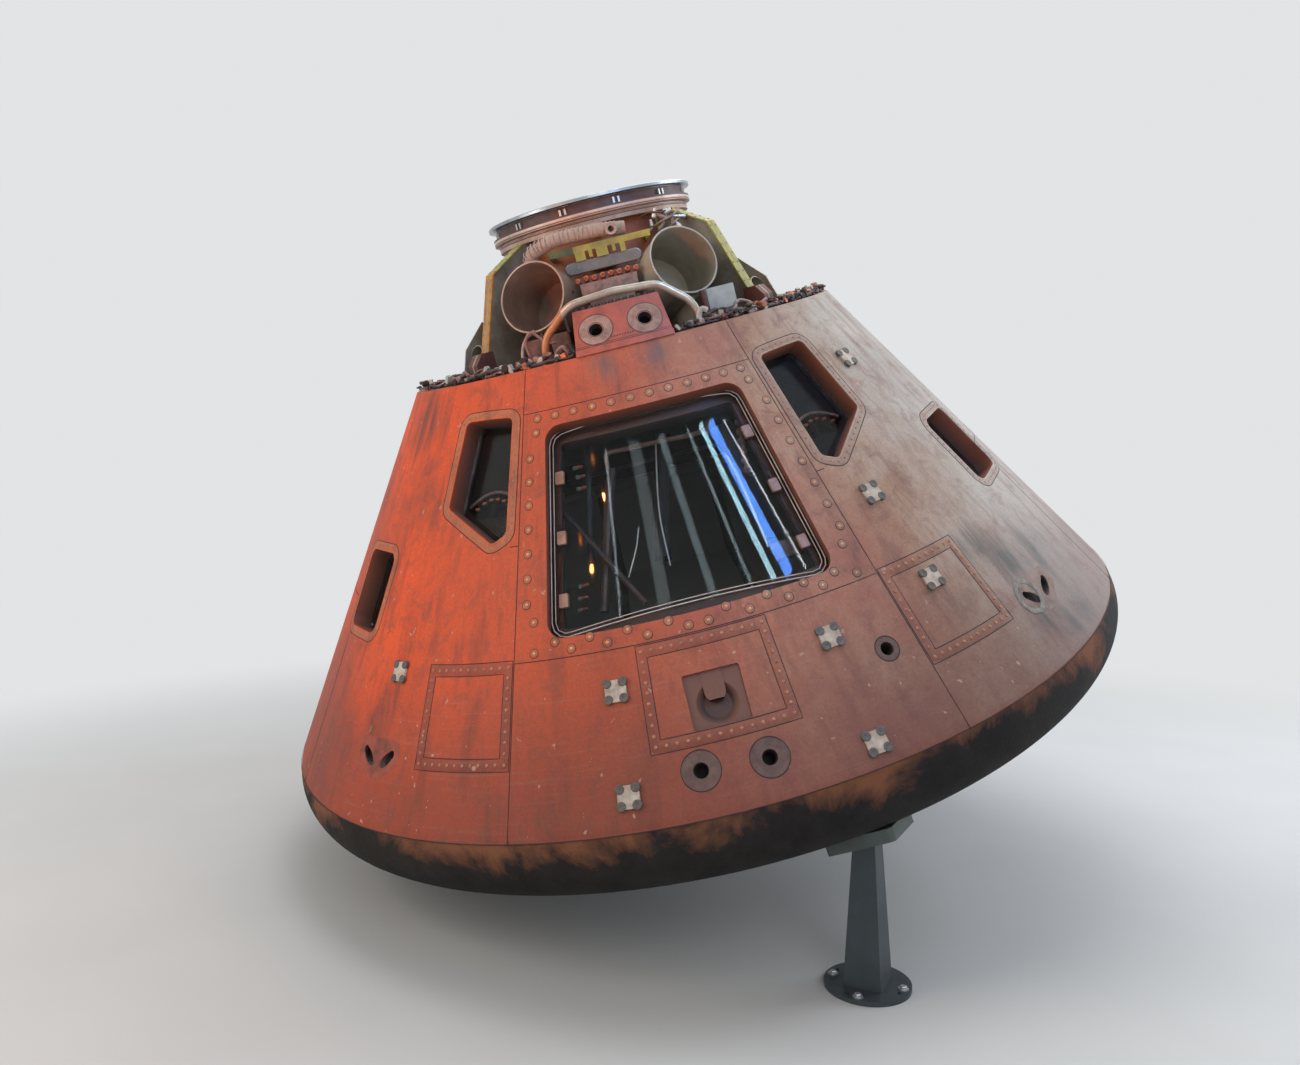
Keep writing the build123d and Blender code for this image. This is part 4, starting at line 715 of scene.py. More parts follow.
@dataclass(frozen=True)
class Zone:
    """A part of a node with a finish of its own, between limits in millimetres."""

    finish: Worn
    limits: tuple[tuple[Measure, float, float], ...]

    def share(self, tree: Tree) -> Node:
        """1 where every measured value lies between its limits, and 0 elsewhere.

        Args:
            tree: The material's node tree.

        Returns:
            The product of one comparison for each limit.
        """
        total = None
        for measure, low, high in self.limits:
            within = add_node(tree, "Math", {
                "operation": "COMPARE", 1: (low + high) / 2 * MM, 2: (high - low) / 2 * MM},
                {0: measure.source(tree)})
            total = within if total is None else add_node(
                tree, "Math", {"operation": "MULTIPLY"}, {0: total, 1: within})
        return total


@dataclass(frozen=True)
class Zoned(Finish):
    """One node with several finishes, each in its own zone, later zones over earlier."""

    rest: Worn
    zones: tuple[Zone, ...]

    def paint(self, tree: Tree) -> Node:
        """Mixes colour, roughness and metal by each zone's share, under one bump.

        Args:
            tree: The material's node tree.

        Returns:
            The shader.
        """
        sockets = self.rest.inputs(tree)
        metal = add_node(tree, "Value")
        metal.outputs[0].default_value = self.rest.metallic
        for zone in self.zones:
            share, over = zone.share(tree), zone.finish.inputs(tree)
            sockets["Base Color"] = add_node(tree, "Mix", {"data_type": "RGBA"}, {
                0: share, 6: sockets["Base Color"], 7: over["Base Color"]})
            sockets["Roughness"] = add_node(tree, "Mix", links={
                0: share, 2: sockets["Roughness"], 3: over["Roughness"]})
            metal = add_node(tree, "Mix", {3: zone.finish.metallic}, {0: share, 2: metal})
        return add_node(tree, "BsdfPrincipled", links=sockets | {"Metallic": metal})


@dataclass(frozen=True)
class Smudge:
    """A dark patch on the cone, an ellipse with a broken edge. Most are soot, some painted shade.
    """

    azimuth: float
    height_mm: float
    wide_mm: float
    tall_mm: float
    strength: float
    tone: str = "#2b2320"


@dataclass(frozen=True)
class Scorched(Finish):
    """Epoxy ablator in a honeycomb, scorched by the flight and faded since.

    Rusty orange on the left, fading to tan and grey across the hatch to the right: the
    ablator's own tone, with painted warm lamp light on the left and painted sky light and
    glancing reflection on the right. Streaked up the cone, with hand-worked lines across
    the lower part.
    Painted shade darkens the reveal of an opening with its depth below the skin.
    """

    tones_with_painted_light: Ramp = (
        (0.0, "#bb4d30"), (0.13, "#df5a33"), (0.24, "#d35734"), (0.36, "#bb5437"),
        (0.50, "#b25d42"), (0.62, "#ab6f55"), (0.74, "#a9866f"), (0.90, "#aba39c"))
    reveal_shade: Ramp = (
        (0.0, "#96503a"), (0.22, "#7d4837"), (0.52, "#5f3f35"), (0.80, "#2c201d"),
        (1.0, "#151212"))
    reveal_depth: float = 120 * MM
    dark: str = "#5c2c20"
    pale: str = "#b89382"
    foot: str = "#572c22"
    stain: str = "#6e3f31"
    cell_mm: float = 9.5
    soot_and_shade_patches: tuple[Smudge, ...] = (
        Smudge(-55.0, 1420, 150, 300, 0.75), Smudge(-49.0, 1200, 90, 260, 0.60),
        Smudge(-44.0, 480, 150, 170, 0.85), Smudge(-47.0, 385, 120, 110, 0.9),
        Smudge(-36.0, 640, 260, 60, 0.40, "#4a2a20"),
        Smudge(-5.8, 1480, 100, 120, 0.9, "#6d5049"), Smudge(5.6, 1490, 110, 90, 0.85, "#6d5049"),
        # the grey patches low on the right, 40 to 52 degrees, are soot and painted shade
        Smudge(45.0, 430, 170, 190, 0.85, "#4a443f"),
        Smudge(43.5, 215, 170, 150, 0.85), Smudge(52.0, 330, 240, 280, 0.95, "#4a4644"),
        Smudge(40.5, 520, 150, 120, 0.8, "#4f4842"), Smudge(49.0, 150, 260, 90, 0.8, "#454140"),
        Smudge(30.5, 400, 150, 110, 0.6), Smudge(135.0, 330, 240, 240, 0.7),
        Smudge(-135.0, 330, 240, 240, 0.7), Smudge(180.0, 900, 700, 500, 0.45),
        Smudge(150.0, 1250, 300, 260, 0.5), Smudge(-150.0, 1150, 260, 360, 0.5),
        # the patch at 88 degrees is painted shade on the far right side
        Smudge(88.0, 650, 300, 380, 0.40))

    def paint(self, tree: Tree) -> Node:
        """Tone with painted light, layers, mottling, soot, and painted shade by depth.

        Args:
            tree: The material's node tree.

        Returns:
            The shader.
        """
        own = own_place(tree)
        height = add_node(tree, "SeparateXYZ", links={0: own}).outputs[2]
        unit = add_node(tree, "VectorMath", {"operation": "NORMALIZE"}, {0: off_axis(tree, own)})
        # streaks hardly take any height beside the way round, and lines mostly height
        rise, level = (add_node(tree, "VectorMath", {"operation": "MULTIPLY", 1: factors}, {0: own})
                       for factors in ((0, 0, 0.16), (2.4, 2.4, 46.0)))
        along = add_node(tree, "VectorMath", {"operation": "ADD"}, {0: unit, 1: rise})
        # spots are a hand wide, flecks a finger
        broad, streak, lines, grain, spots, fleck = (add_node(tree, "TexNoise", {
            "Scale": scale, "Detail": detail, "Roughness": rough, "Distortion": bent},
            {"Vector": place}) for place, scale, detail, rough, bent in (
                (own, 2.1, 7.0, 0.62, 0.0), (along, 17.0, 6.0, 0.66, 0.35),
                (level, 1.6, 4.0, 0.6, 0.0), (own, 95.0, 5.0, 0.72, 0.0),
                (own, 11.0, 7.0, 0.72, 0.6), (own, 27.0, 2.5, 0.55, 0.0)))
        wander = add_node(tree, "Math", {"operation": "MULTIPLY_ADD", 1: 0.5, 2: -0.25},
                          {0: broad})
        # tone by the side: its own, with painted warm light left and painted sky light right
        around = add_node(tree, "SeparateXYZ", links={0: unit}).outputs[0]
        side = add_node(tree, "Math", {"operation": "MULTIPLY_ADD", 1: 0.5},
                        {0: around, 2: wander})
        shifted = add_node(tree, "Math", {"operation": "ADD", 1: 0.5}, {0: side})
        colour = add_node(tree, "ValToRGB", {"stops": self.tones_with_painted_light}, {0: shifted})
        for share, tone in self.layers(tree, height, (streak, lines, spots, fleck)):
            colour = add_node(tree, "Mix", {"data_type": "RGBA", 7: tone}, {0: share, 6: colour})
        # dark and light mottling, fine grain, and the walls of the honeycomb
        cells = add_node(tree, "TexVoronoi", {
            "feature": "DISTANCE_TO_EDGE", "Scale": 1 / (self.cell_mm * MM)}, {"Vector": own})
        mottle, fine, wall = (add_node(tree, "MapRange", {
            "From Min": start, "From Max": end, "To Min": low, "To Max": high}, {"Value": source})
            for source, start, end, low, high in (
                (broad, 0.30, 0.70, 0.78, 1.18), (grain, 0.25, 0.75, 0.82, 1.17),
                (cells, 0.0, 0.12, 0.90, 1.0)))
        both = add_node(tree, "Math", {"operation": "MULTIPLY"}, {0: mottle, 1: fine})
        value = add_node(tree, "Math", {"operation": "MULTIPLY"}, {0: both, 1: wall})
        colour = add_node(tree, "HueSaturation", {"Saturation": 1.04},
                          {"Color": colour, "Value": value})
        colour = self.sooted_and_shaded(tree, own, colour, (broad, streak))
        relief = add_node(tree, "Math", {"operation": "MULTIPLY_ADD", 1: 0.6},
                          {0: lines, 2: grain})
        return add_node(tree, "BsdfPrincipled", {"IOR": 1.5}, {
            "Base Color": self.deepened(tree, own, height, colour),
            "Roughness": add_node(tree, "MapRange", {"To Min": 0.50, "To Max": 0.78},
                                  {"Value": broad}),
            "Normal": add_node(tree, "Bump", {"Strength": 0.55, "Distance": 1.6 * MM},
                               {"Height": relief})})

    def layers(self, tree: Tree, height: Source, noises: tuple[Source, ...]
               ) -> tuple[tuple[Source, str], ...]:
        """What the flight and the makers' hands laid over the tone.

        Args:
            tree: The material's nodes.
            height: Height up the axis.
            noises: Streaks, lines, spots and flecks.

        Returns:
            Share and colour of burnt streaks, of pale hand-worked lines in the lower half, of a
            darkening towards the foot, and of brown stains and pale flecks.
        """
        burnt, worked, stained, flecked = (add_node(tree, "MapRange", {
            "From Min": start, "From Max": end, "To Max": most}, {"Value": noise})
            for noise, start, end, most in zip(noises, (0.50, 0.56, 0.49, 0.695),
                                               (0.74, 0.80, 0.70, 0.735), (0.62, 0.55, 0.58, 0.85)))
        low = add_node(tree, "MapRange", {"From Min": 0.75, "From Max": 0.15}, {"Value": height})
        pale = add_node(tree, "Math", {"operation": "MULTIPLY"}, {0: low, 1: worked})
        foot = add_node(tree, "MapRange", {
            "interpolation_type": "SMOOTHSTEP", "From Min": 0.66, "From Max": 0.12,
            "To Max": 0.62}, {"Value": height})
        return ((burnt, self.dark), (pale, self.pale), (foot, self.foot), (stained, self.stain),
                (flecked, self.pale))

    def sooted_and_shaded(self, tree: Tree, own: Source, colour: Source, noises: tuple[Source, Source]
               ) -> Source:
        """Lays the dark patches, soot and painted shade, over a colour, each broken by both noises.

        Args:
            tree: The material's nodes.
            own: Place in the capsule's frame.
            colour: The clean colour.
            noises: The mottling noise and the streak noise.

        Returns:
            The colour with soot and painted shade on it.
        """
        broken = add_node(tree, "Math", {"operation": "ADD"}, {0: noises[0], 1: noises[1]})
        edge = add_node(tree, "MapRange", {"From Min": 0.84, "From Max": 1.18, "To Max": 1.25},
                        {"Value": broken})
        for patch in self.soot_and_shade_patches:
            height, turn = patch.height_mm * MM, math.radians(patch.azimuth)
            radius = float(CAPSULE.skin_r(height))
            near = add_node(tree, "Mapping", {
                "vector_type": "TEXTURE", "Rotation": (0, 0, turn),
                "Location": (radius * math.sin(turn), -radius * math.cos(turn), height),
                "Scale": (patch.wide_mm * MM, patch.wide_mm * MM, patch.tall_mm * MM)},
                {"Vector": own})
            span = add_node(tree, "VectorMath", {"operation": "LENGTH"}, {0: near})
            share = add_node(tree, "MapRange", {
                "interpolation_type": "SMOOTHSTEP", "From Min": 1.0, "From Max": 0.1,
                "To Max": patch.strength}, {"Value": span})
            mask = add_node(tree, "Math", {"operation": "MULTIPLY", "use_clamp": True},
                            {0: share, 1: edge})
            colour = add_node(tree, "Mix", {"data_type": "RGBA", 7: patch.tone},
                              {0: mask, 6: colour})
        return colour

    def deepened(self, tree: Tree, own: Source, height: Source, colour: Source) -> Source:
        """Swaps the colour for the reveal's painted shade, darker the deeper below the skin.

        Args:
            tree: The material's nodes.
            own: Place in the capsule's frame.
            height: Height up the axis.
            colour: The skin's colour.

        Returns:
            The colour, by radius * cosine + height * sine, which falls with the depth.
        """
        sine, cosine = CAPSULE.slope
        radius = add_node(tree, "VectorMath", {"operation": "LENGTH"}, {0: off_axis(tree, own)})
        reach = add_node(tree, "Math", {"operation": "MULTIPLY", 1: cosine}, {0: radius})
        depth = add_node(tree, "Math", {"operation": "MULTIPLY_ADD", 1: sine},
                         {0: height, 2: reach})
        inside, within = (add_node(tree, "MapRange", {
            "From Min": CAPSULE.skin_depth - start, "From Max": CAPSULE.skin_depth - end},
            {"Value": depth}) for start, end in ((2 * MM, self.reveal_depth), (1.5 * MM, 5 * MM)))
        # painted shade of the reveal, darker the deeper it lies
        shadow = add_node(tree, "ValToRGB", {"stops": self.reveal_shade}, {0: inside})
        return add_node(tree, "Mix", {"data_type": "RGBA"}, {0: within, 6: colour, 7: shadow})


@dataclass(frozen=True)
class Charred(Finish):
    """The aft shield: ablator burnt to charcoal, brown where the char has come away."""

    black: str = "#151312"
    ash: str = "#2a2624"
    brown: str = "#7c4f37"

    def paint(self, tree: Tree) -> Node:
        """Black to ash by noise, and brown patches that thin out below the seam, where the black
        is partly painted shade of the underside.

        Args:
            tree: The material's node tree.

        Returns:
            The shader.
        """
        own = own_place(tree)
        up = add_node(tree, "SeparateXYZ", links={0: own}).outputs[2]
        broad, patches, crust = (add_node(tree, "TexNoise", {
            "Scale": scale, "Detail": detail, "Roughness": rough, "Distortion": bent},
            {"Vector": own}) for scale, detail, rough, bent in (
                (5.5, 8.0, 0.7, 0.0), (2.6, 9.0, 0.66, 0.4), (70.0, 6.0, 0.7, 0.0)))
        burnt = add_node(tree, "ValToRGB", {
            "stops": ((0.38, self.black), (0.70, self.ash))}, {0: broad})
        # brown thins out towards the bottom: the black underneath is partly painted shade
        height = add_node(tree, "MapRange", {
            "From Min": -0.16, "From Max": 0.08, "To Min": -0.24, "To Max": 0.16}, {"Value": up})
        total = add_node(tree, "Math", {"operation": "ADD"}, {0: patches, 1: height})
        share = add_node(tree, "MapRange", {"From Min": 0.55, "From Max": 0.70}, {"Value": total})
        colour = add_node(tree, "Mix", {"data_type": "RGBA", 7: self.brown},
                          {0: share, 6: burnt})
        bump = add_node(tree, "Bump", {"Strength": 0.8, "Distance": 4 * MM}, {"Height": crust})
        return add_node(tree, "BsdfPrincipled", {
            "Roughness": 0.85, "Specular IOR Level": 0.25}, {
            "Base Color": colour, "Normal": bump})


@dataclass(frozen=True)
class ClearSheet(Finish):
    """Cast acrylic or window glass. Lamps reach through it, so that the inside is lit."""

    tint: str = "#e9eeee"
    lit: str = "#8f9292"
    roughness: float = 0.02
    ior: float = 1.49

    def paint(self, tree: Tree) -> Node:
        """Refracting sheet for the eye, clear for the rays that carry the lamps' light.

        Args:
            tree: The material's node tree.

        Returns:
            The shader.
        """
        shader = add_node(tree, "BsdfPrincipled", {
            "Base Color": self.tint, "Roughness": self.roughness, "IOR": self.ior,
            "Transmission Weight": 1.0})
        clear = add_node(tree, "BsdfTransparent", {"Color": self.lit})
        path = add_node(tree, "LightPath").outputs
        either = add_node(tree, "Math", {"operation": "MAXIMUM"},
                          {0: path["Is Shadow Ray"], 1: path["Is Diffuse Ray"]})
        return add_node(tree, "MixShader", links={0: either, 1: shader, 2: clear})


@dataclass(frozen=True)
class Woven(Finish):
    """Glass cloth over a couch pad or a duct: a plain weave, a little soiled."""

    base: str = "#8a8274"
    shade: str = "#5f574c"
    thread_mm: float = 4.0

    def paint(self, tree: Tree) -> Node:
        """Two crossed waves at the thread's spacing, over soiled patches.

        Args:
            tree: The material's node tree.

        Returns:
            The shader.
        """
        place = add_node(tree, "TexCoord").outputs["Object"]
        soil = add_node(tree, "TexNoise", {"Scale": 9.0, "Detail": 6.0}, {"Vector": place})
        tone = add_node(tree, "ValToRGB", {
            "stops": ((0.35, self.base), (0.7, self.shade))}, {0: soil})
        # a band repeats each tau / (20 * scale), here about two threads, one over, one under
        warp, weft = (add_node(tree, "TexWave", {
            "bands_direction": way, "Scale": 1 / (self.thread_mm * MM * math.tau)},
            {"Vector": place}).outputs["Fac"] for way in ("X", "Z"))
        weave = add_node(tree, "Math", {"operation": "MAXIMUM"}, {0: warp, 1: weft})
        bump = add_node(tree, "Bump", {"Strength": 0.4, "Distance": 1 * MM}, {"Height": weave})
        return add_node(tree, "BsdfPrincipled", {"Roughness": 0.85},
                        {"Base Color": tone, "Normal": bump})


@dataclass(frozen=True)
class PaleFloor(Finish):
    """Smooth pale floor that keeps the shadow and fades into the backdrop."""

    backdrop: str = "#e2e4e5"
    # its own shading is gone between these distances from the middle
    fade: tuple[float, float] = (2.6, 7.0)

    def paint(self, tree: Tree) -> Node:
        """A lit floor near the stand, and the backdrop's plain tone for the eye far out.

        Args:
            tree: The material's node tree.

        Returns:
            The shader.
        """
        place = add_node(tree, "TexCoord").outputs["Object"]
        noise = add_node(tree, "TexNoise", {"Scale": 1.3, "Detail": 6.0}, {"Vector": place})
        tone = add_node(tree, "ValToRGB", {
            "stops": ((0.3, "#cfd0d0"), (0.7, "#d4d5d5"))}, {0: noise})
        lit = add_node(tree, "BsdfPrincipled", {"Roughness": 0.7}, {"Base Color": tone})
        plain = add_node(tree, "Emission", {"Color": self.backdrop})
        reach = add_node(tree, "VectorMath", {"operation": "LENGTH"}, {0: place})
        far = add_node(tree, "MapRange", {
            "interpolation_type": "SMOOTHSTEP", "From Min": self.fade[0],
            "From Max": self.fade[1]}, {"Value": reach})
        share = add_node(tree, "Math", {"operation": "MULTIPLY"}, {0: far, 1: seen_rays(tree)})
        return add_node(tree, "MixShader", links={0: share, 1: lit, 2: plain})


# Scorched epoxy ablator: matt, rusty to tan with painted lamp and sky light, streaked
ABLATOR = Scorched("scorched_ablator")
# Filler of a panel's border: darker and redder than the skin
BORDER = Scorched("border_filler", ((0.0, "#a8452f"), (0.34, "#a84e38"), (0.50, "#9f563f"),
                                    (0.70, "#a06b52"), (0.92, "#978271")), soot_and_shade_patches=())
# Lip of an opening: brighter and paler than the skin
LIP = Scorched("bright_lip", ((0.0, "#dc6537"), (0.30, "#cc643d"), (0.50, "#b4785b"),
                              (0.70, "#a98e7c"), (0.92, "#aea198")), soot_and_shade_patches=())
# Ablator plug ring round a bolt: paler than the skin
PLUG_RING = Scorched("plug_ring", ((0.0, "#c06c49"), (0.30, "#b7694a"), (0.50, "#a8705a"),
                                   (0.70, "#a08170"), (0.92, "#9d8f86")), soot_and_shade_patches=())
# Vent panel: its pocket gets its own painted shade, browner and darker than the skin's
VENT = Scorched("vent_ablator", reveal_shade=((0.0, "#7d5040"), (0.12, "#6b4536"), (0.30, "#4a3026"),
                                        (0.7, "#2a1d18"), (1.0, "#191311")), reveal_depth=80 * MM)
# Burnt ablator of the dish: black, crusty, brown where it flaked; black below partly painted shade
CHAR = Charred("burnt_ablator")
# Clear cast acrylic of the hatch cover: sharp reflections, hardly any tint
ACRYLIC = ClearSheet("cast_acrylic", lit="#b4b8b8", ior=1.2)
# Fused silica window pane, greyed by the flight
PANE = ClearSheet("silica_pane", tint="#b3b6b6", lit="#c0c2c2", roughness=0.05, ior=1.24)
# Joint between panels: a dark filler, darkened further as painted shade of the gap
JOINT = Worn("dark_joint_and_gap_shade", "#3a221b", "#2a1914", "#160f0d", 60, 3, 0.4, 0.0, 0.85)
# Soot inside a nozzle: black, dead matt, and painted shade deep in the bores
SOOT_AND_BORE_SHADE = Worn("nozzle_soot_and_shade", "#0d0b0a", "#0a0908", "#070606", 40, 3, 0.2, 0.0, 0.9, sheen=0.05)
# Baked-on dirt of a nozzle's throat, darker than the rim as painted shade of the bore
BAKED_DIRT_AND_SHADE = Worn("baked_throat_and_shade", "#3f302b", "#2d2320", "#1a1412", 30, 3, 0.4, 0.0, 0.8)
# Sooty nozzle liner: grey brown, matt
LINER_RIM = Worn("sooty_liner_rim", "#6a5049", "#54403b", "#2a201d", 35, 3, 0.4, 0.0, 0.72)
# Ash-grey ablator round a roll thruster
BURNT_RING = Worn("ash_ring", "#97928c", "#6f6b67", "#3a3735", 22, 2, 0.6, 0.0, 0.8)
# Face of a roll thruster pair: rusty on the left of the capsule, grey tan on the right,
# partly its own colour and partly painted warm and cool lamp light
PAIR_LEFT = Worn("rusty_warm_lit_pair_face", "#a04a37", "#833f30", "#3c231c", 45, 3, 0.5, 0.0, 0.72)
PAIR_RIGHT = Worn("grey_cool_lit_pair_face", "#93796c", "#77635a", "#35302d", 45, 3, 0.5, 0.0, 0.72)
# the liner darkens with depth into each bore: baked dirt and soot, and painted shade
LINER = Zoned("sooty_liner", LINER_RIM, (
    Zone(PAIR_LEFT, ((Measure.SIDE, -1600.0, -800.0),)),
    Zone(PAIR_RIGHT, ((Measure.SIDE, 800.0, 1600.0),)),
    Zone(BAKED_DIRT_AND_SHADE, ((Measure.DEPTH, 4.0, 13.0),)), Zone(SOOT_AND_BORE_SHADE, ((Measure.DEPTH, 13.0, 400.0),))))
# White insulating pad, chalky
PAD = Worn("chalky_pad", "#cfc4b9", "#b3a396", "#6d4a3a", 24, 2, 0.35, 0.0, 0.8)
# Dark phenolic plug over a strut bolt
PLUG = Worn("phenolic_plug", "#5f5b55", "#4c4641", "#2a2420", 12, 2, 0.4, 0.0, 0.6)
# Cadmium-plated bolt head, rubbed to a pale brass
BRASS = Worn("plated_bolt", "#d99a5c", "#b57443", "#55331f", 9, 1.5, 0.35, 0.2, 0.42)
# Bolt of a panel border: rusty tan
BORDER_BOLT = Worn("border_bolt", "#b07a57", "#8a553c", "#3b211a", 10, 1.5, 0.4, 0.25, 0.55)
# Bare alloy inside the cabin
ALLOY = Worn("bare_alloy", "#7d7e7a", "#63635f", "#2b2926", 80, 4, 0.3, 0.8, 0.45)
# Cabin paint, dull, darkened to near black as painted shade inside the cabin
CABIN_PAINT_AND_SHADE = Worn("cabin_paint_and_shade", "#24221f", "#191817", "#0e0d0c", 260, 4, 0.4, 0.0, 0.55)
# Insulating blanket behind the windows, dark partly as painted shade of the cabin
BLANKET = Worn("blanket_and_cabin_shade", "#2a2d2f", "#212426", "#131415", 60, 5, 0.2, 0.0, 0.75)
# Forward bulkhead: sooty primer under the loose wiring
DECK = Worn("sooty_deck", "#4a3a33", "#352c29", "#191615", 80, 4, 0.4, 0.0, 0.7)
# Red brown primer of the tunnel's outside, pale paint inside
PRIMER = Worn("red_primer", "#a8633d", "#84492f", "#3a2018", 90, 4, 0.35, 0.0, 0.6)
TUNNEL_PAINT = Worn("tunnel_paint", "#8f928d", "#7b7d79", "#3e3b37", 90, 4, 0.3, 0.1, 0.5)
TUNNEL = Zoned("primed_tunnel", PRIMER, (Zone(TUNNEL_PAINT, ((Measure.RADIUS, 0.0, 395.0),)),))
# Tan and pink banded flange
BAND_TAN = Worn("tan_band", "#bfa394", "#a38373", "#6f4a3c", 60, 3, 0.35, 0.1, 0.45)
BAND_PALE = Worn("pale_band", "#d9cdc6", "#c2b2aa", "#8a6a5e", 60, 3, 0.3, 0.1, 0.4)
BAND_DARK = Worn("dark_line_and_shadow_band", "#6b3d33", "#543029", "#2a1814", 60, 3, 0.3, 0.1, 0.5)
BAND = Zoned("banded_flange", BAND_TAN, (
    Zone(BAND_PALE, ((Measure.HEIGHT, 2106.0, 2113.0),)),
    Zone(BAND_DARK, ((Measure.HEIGHT, 2098.5, 2102.0),)),
    Zone(BAND_PALE, ((Measure.HEIGHT, 2085.0, 2090.0),)),
    # the lower dark band is painted shadow under the step above; the upper one is a dark line
    Zone(BAND_DARK, ((Measure.HEIGHT, 2076.0, 2081.0),))))
# Machined alloy ring: bright, fine turning marks, over its maroon channel
TURNED = Worn("turned_alloy", "#a3abb0", "#8b9398", "#5c5a59", 50, 1.5, 0.15, 0.9, 0.30, 0.07,
              0.08)
MAROON = Worn("maroon_channel", "#5f3c3b", "#4a302f", "#241716", 50, 3, 0.3, 0.0, 0.5)
RING = Zoned("docking_ring", MAROON, (Zone(TURNED, ((Measure.HEIGHT, 2159.5, 2400.0),)),))
# Latch steel: dull silver
STEEL = Worn("latch_steel", "#c2c4c4", "#9fa0a0", "#4d4a48", 25, 2, 0.2, 0.7, 0.38)
# Zinc chromate primer, yellow green
CHROMATE = Worn("chromate_primer", "#b3ad45", "#9a9a48", "#4f4a2c", 70, 3, 0.4, 0.0, 0.5)
GREEN = Worn("green_primer", "#4f6334", "#43542f", "#2b2c1c", 70, 3, 0.4, 0.0, 0.55)
COMB = Zoned("primed_comb", CHROMATE, (Zone(GREEN, ((Measure.SIDE, -400.0, -112.0),)),))
# Olive web between strips of chromate primer, and a red brown hinge block at the foot
WEB = Worn("web_paint", "#9b968c", "#7d766b", "#45382f", 90, 3, 0.4, 0.1, 0.5)
HINGE = Worn("hinge_block", "#6f3f31", "#573228", "#281a16", 40, 3, 0.4, 0.1, 0.55)
# Chromate strips on the left, orange as painted warm lamp light
CHROMATE_WARM_LIT = Worn("chromate_warm_lamp_lit", "#c98b2c", "#ab6f2a", "#5e3a1c", 60, 3, 0.35, 0.0, 0.5)
GUSSET = Zoned("primed_gusset", WEB, (
    Zone(CHROMATE, ((Measure.DIAGONAL, 4.6, 80.0),)),
    Zone(CHROMATE_WARM_LIT, ((Measure.DIAGONAL, 4.6, 80.0), (Measure.SIDE, -900.0, -440.0),
                 (Measure.HEIGHT, 1500.0, 1965.0))),
    Zone(HINGE, ((Measure.DIAGONAL, 4.6, 80.0), (Measure.RADIUS, 790.0, 1000.0),
                 (Measure.HEIGHT, 1400.0, 1644.0)))))
# Rolled alloy cans: grey brown and dull; the left one warmer and the right one paler
# and cooler, as painted warm and cool lamp light
CAN = Worn("rolled_can", "#a29a8e", "#857d72", "#4a3a2e", 120, 3, 0.35, 0.3, 0.42)
CAN_WARM = Worn("can_warm_lamp_lit", "#a28c80", "#897266", "#4f392e", 140, 3, 0.35, 0.15, 0.42)
CAN_COOL = Worn("can_cool_lamp_lit", "#b1ab9c", "#989284", "#5a5246", 140, 3, 0.3, 0.2, 0.38)
# Red ablator block round the forward thrusters
RED = Worn("red_ablator", "#a8523f", "#924636", "#4f271e", 45, 3, 0.40, 0.0, 0.55)
# Sanded border of a forward thruster: pinkish grey
SANDED = Worn("sanded_border", "#a5897f", "#8a6d62", "#4a3532", 25, 2, 0.4, 0.0, 0.7)
# soot and painted shade deeper than 3 mm into the bores
THRUSTER_LINER = Zoned("sanded_liner", SANDED, (Zone(SOOT_AND_BORE_SHADE, ((Measure.DEPTH, 3.0, 400.0),)),))
# Stained tube: brushed, orange on its left as painted warm lamp light
TUBE_GREY = Worn("stained_tube", "#b3aea4", "#948a7d", "#6a4a38", 60, 2, 0.3, 0.45, 0.32)
TUBE_WARM_LIT = Worn("tube_warm_lamp_lit", "#b87b52", "#9a6242", "#5a3524", 60, 2, 0.35, 0.3, 0.36)
TUBE = Zoned("guard_tube_metal", TUBE_GREY, (Zone(TUBE_WARM_LIT, ((Measure.SIDE, -400.0, -215.0),)),))
# Grey enamel plate, glossy
ENAMEL = Worn("grey_enamel", "#85868a", "#737478", "#3d3936", 60, 3, 0.2, 0.3, 0.24)
# Tarnished fittings
TARNISH = Worn("tarnished_fitting", "#a48c86", "#806b66", "#3a2a24", 25, 2, 0.4, 0.2, 0.5)
# Copper-coloured unions, and the burnt ones low on the manifold
COPPER = Worn("copper_union", "#b5694a", "#8e4f3a", "#4a281e", 15, 2, 0.3, 0.35, 0.35)
BURNT_COPPER = Worn("burnt_copper", "#7b4a3c", "#573630", "#241816", 22, 2, 0.4, 0.25, 0.45)
MANIFOLD = Zoned("tarnished_manifold", TARNISH, (
    Zone(BURNT_COPPER, ((Measure.HEIGHT, 1818.0, 1900.0), (Measure.RADIUS, 0.0, 700.0))),))
# Foil-covered plate, silver
FOIL = Worn("silver_foil", "#aab2b6", "#949b9f", "#56504c", 45, 3, 0.15, 0.45, 0.32)
# Painted boxes on the deck
BOX_TAN = Worn("tan_box", "#8d6a5f", "#765448", "#34241f", 40, 3, 0.35, 0.0, 0.6)
BOX_RED = Worn("dark_red_box", "#5c2823", "#45201c", "#1e1110", 40, 3, 0.3, 0.0, 0.5)
# Off-white plastic of a connector and of cable ties
WHITE = Worn("off_white_plastic", "#c2beb8", "#a09a93", "#5e5049", 20, 2, 0.35, 0.0, 0.5)
# Pinkish brown paint of rods and boxes
PINK = Worn("pinkish_paint", "#b08c80", "#91705f", "#4a3029", 30, 2, 0.35, 0.0, 0.5)
# Dark red brown fairing inside the hatch
UMBER = Worn("umber_paint", "#4c352d", "#382823", "#1c1614", 40, 3, 0.35, 0.0, 0.55)
# Black rubber sleeve
RUBBER = Worn("black_rubber", "#232120", "#1a1918", "#3a322d", 20, 2, 0.3, 0.0, 0.6)
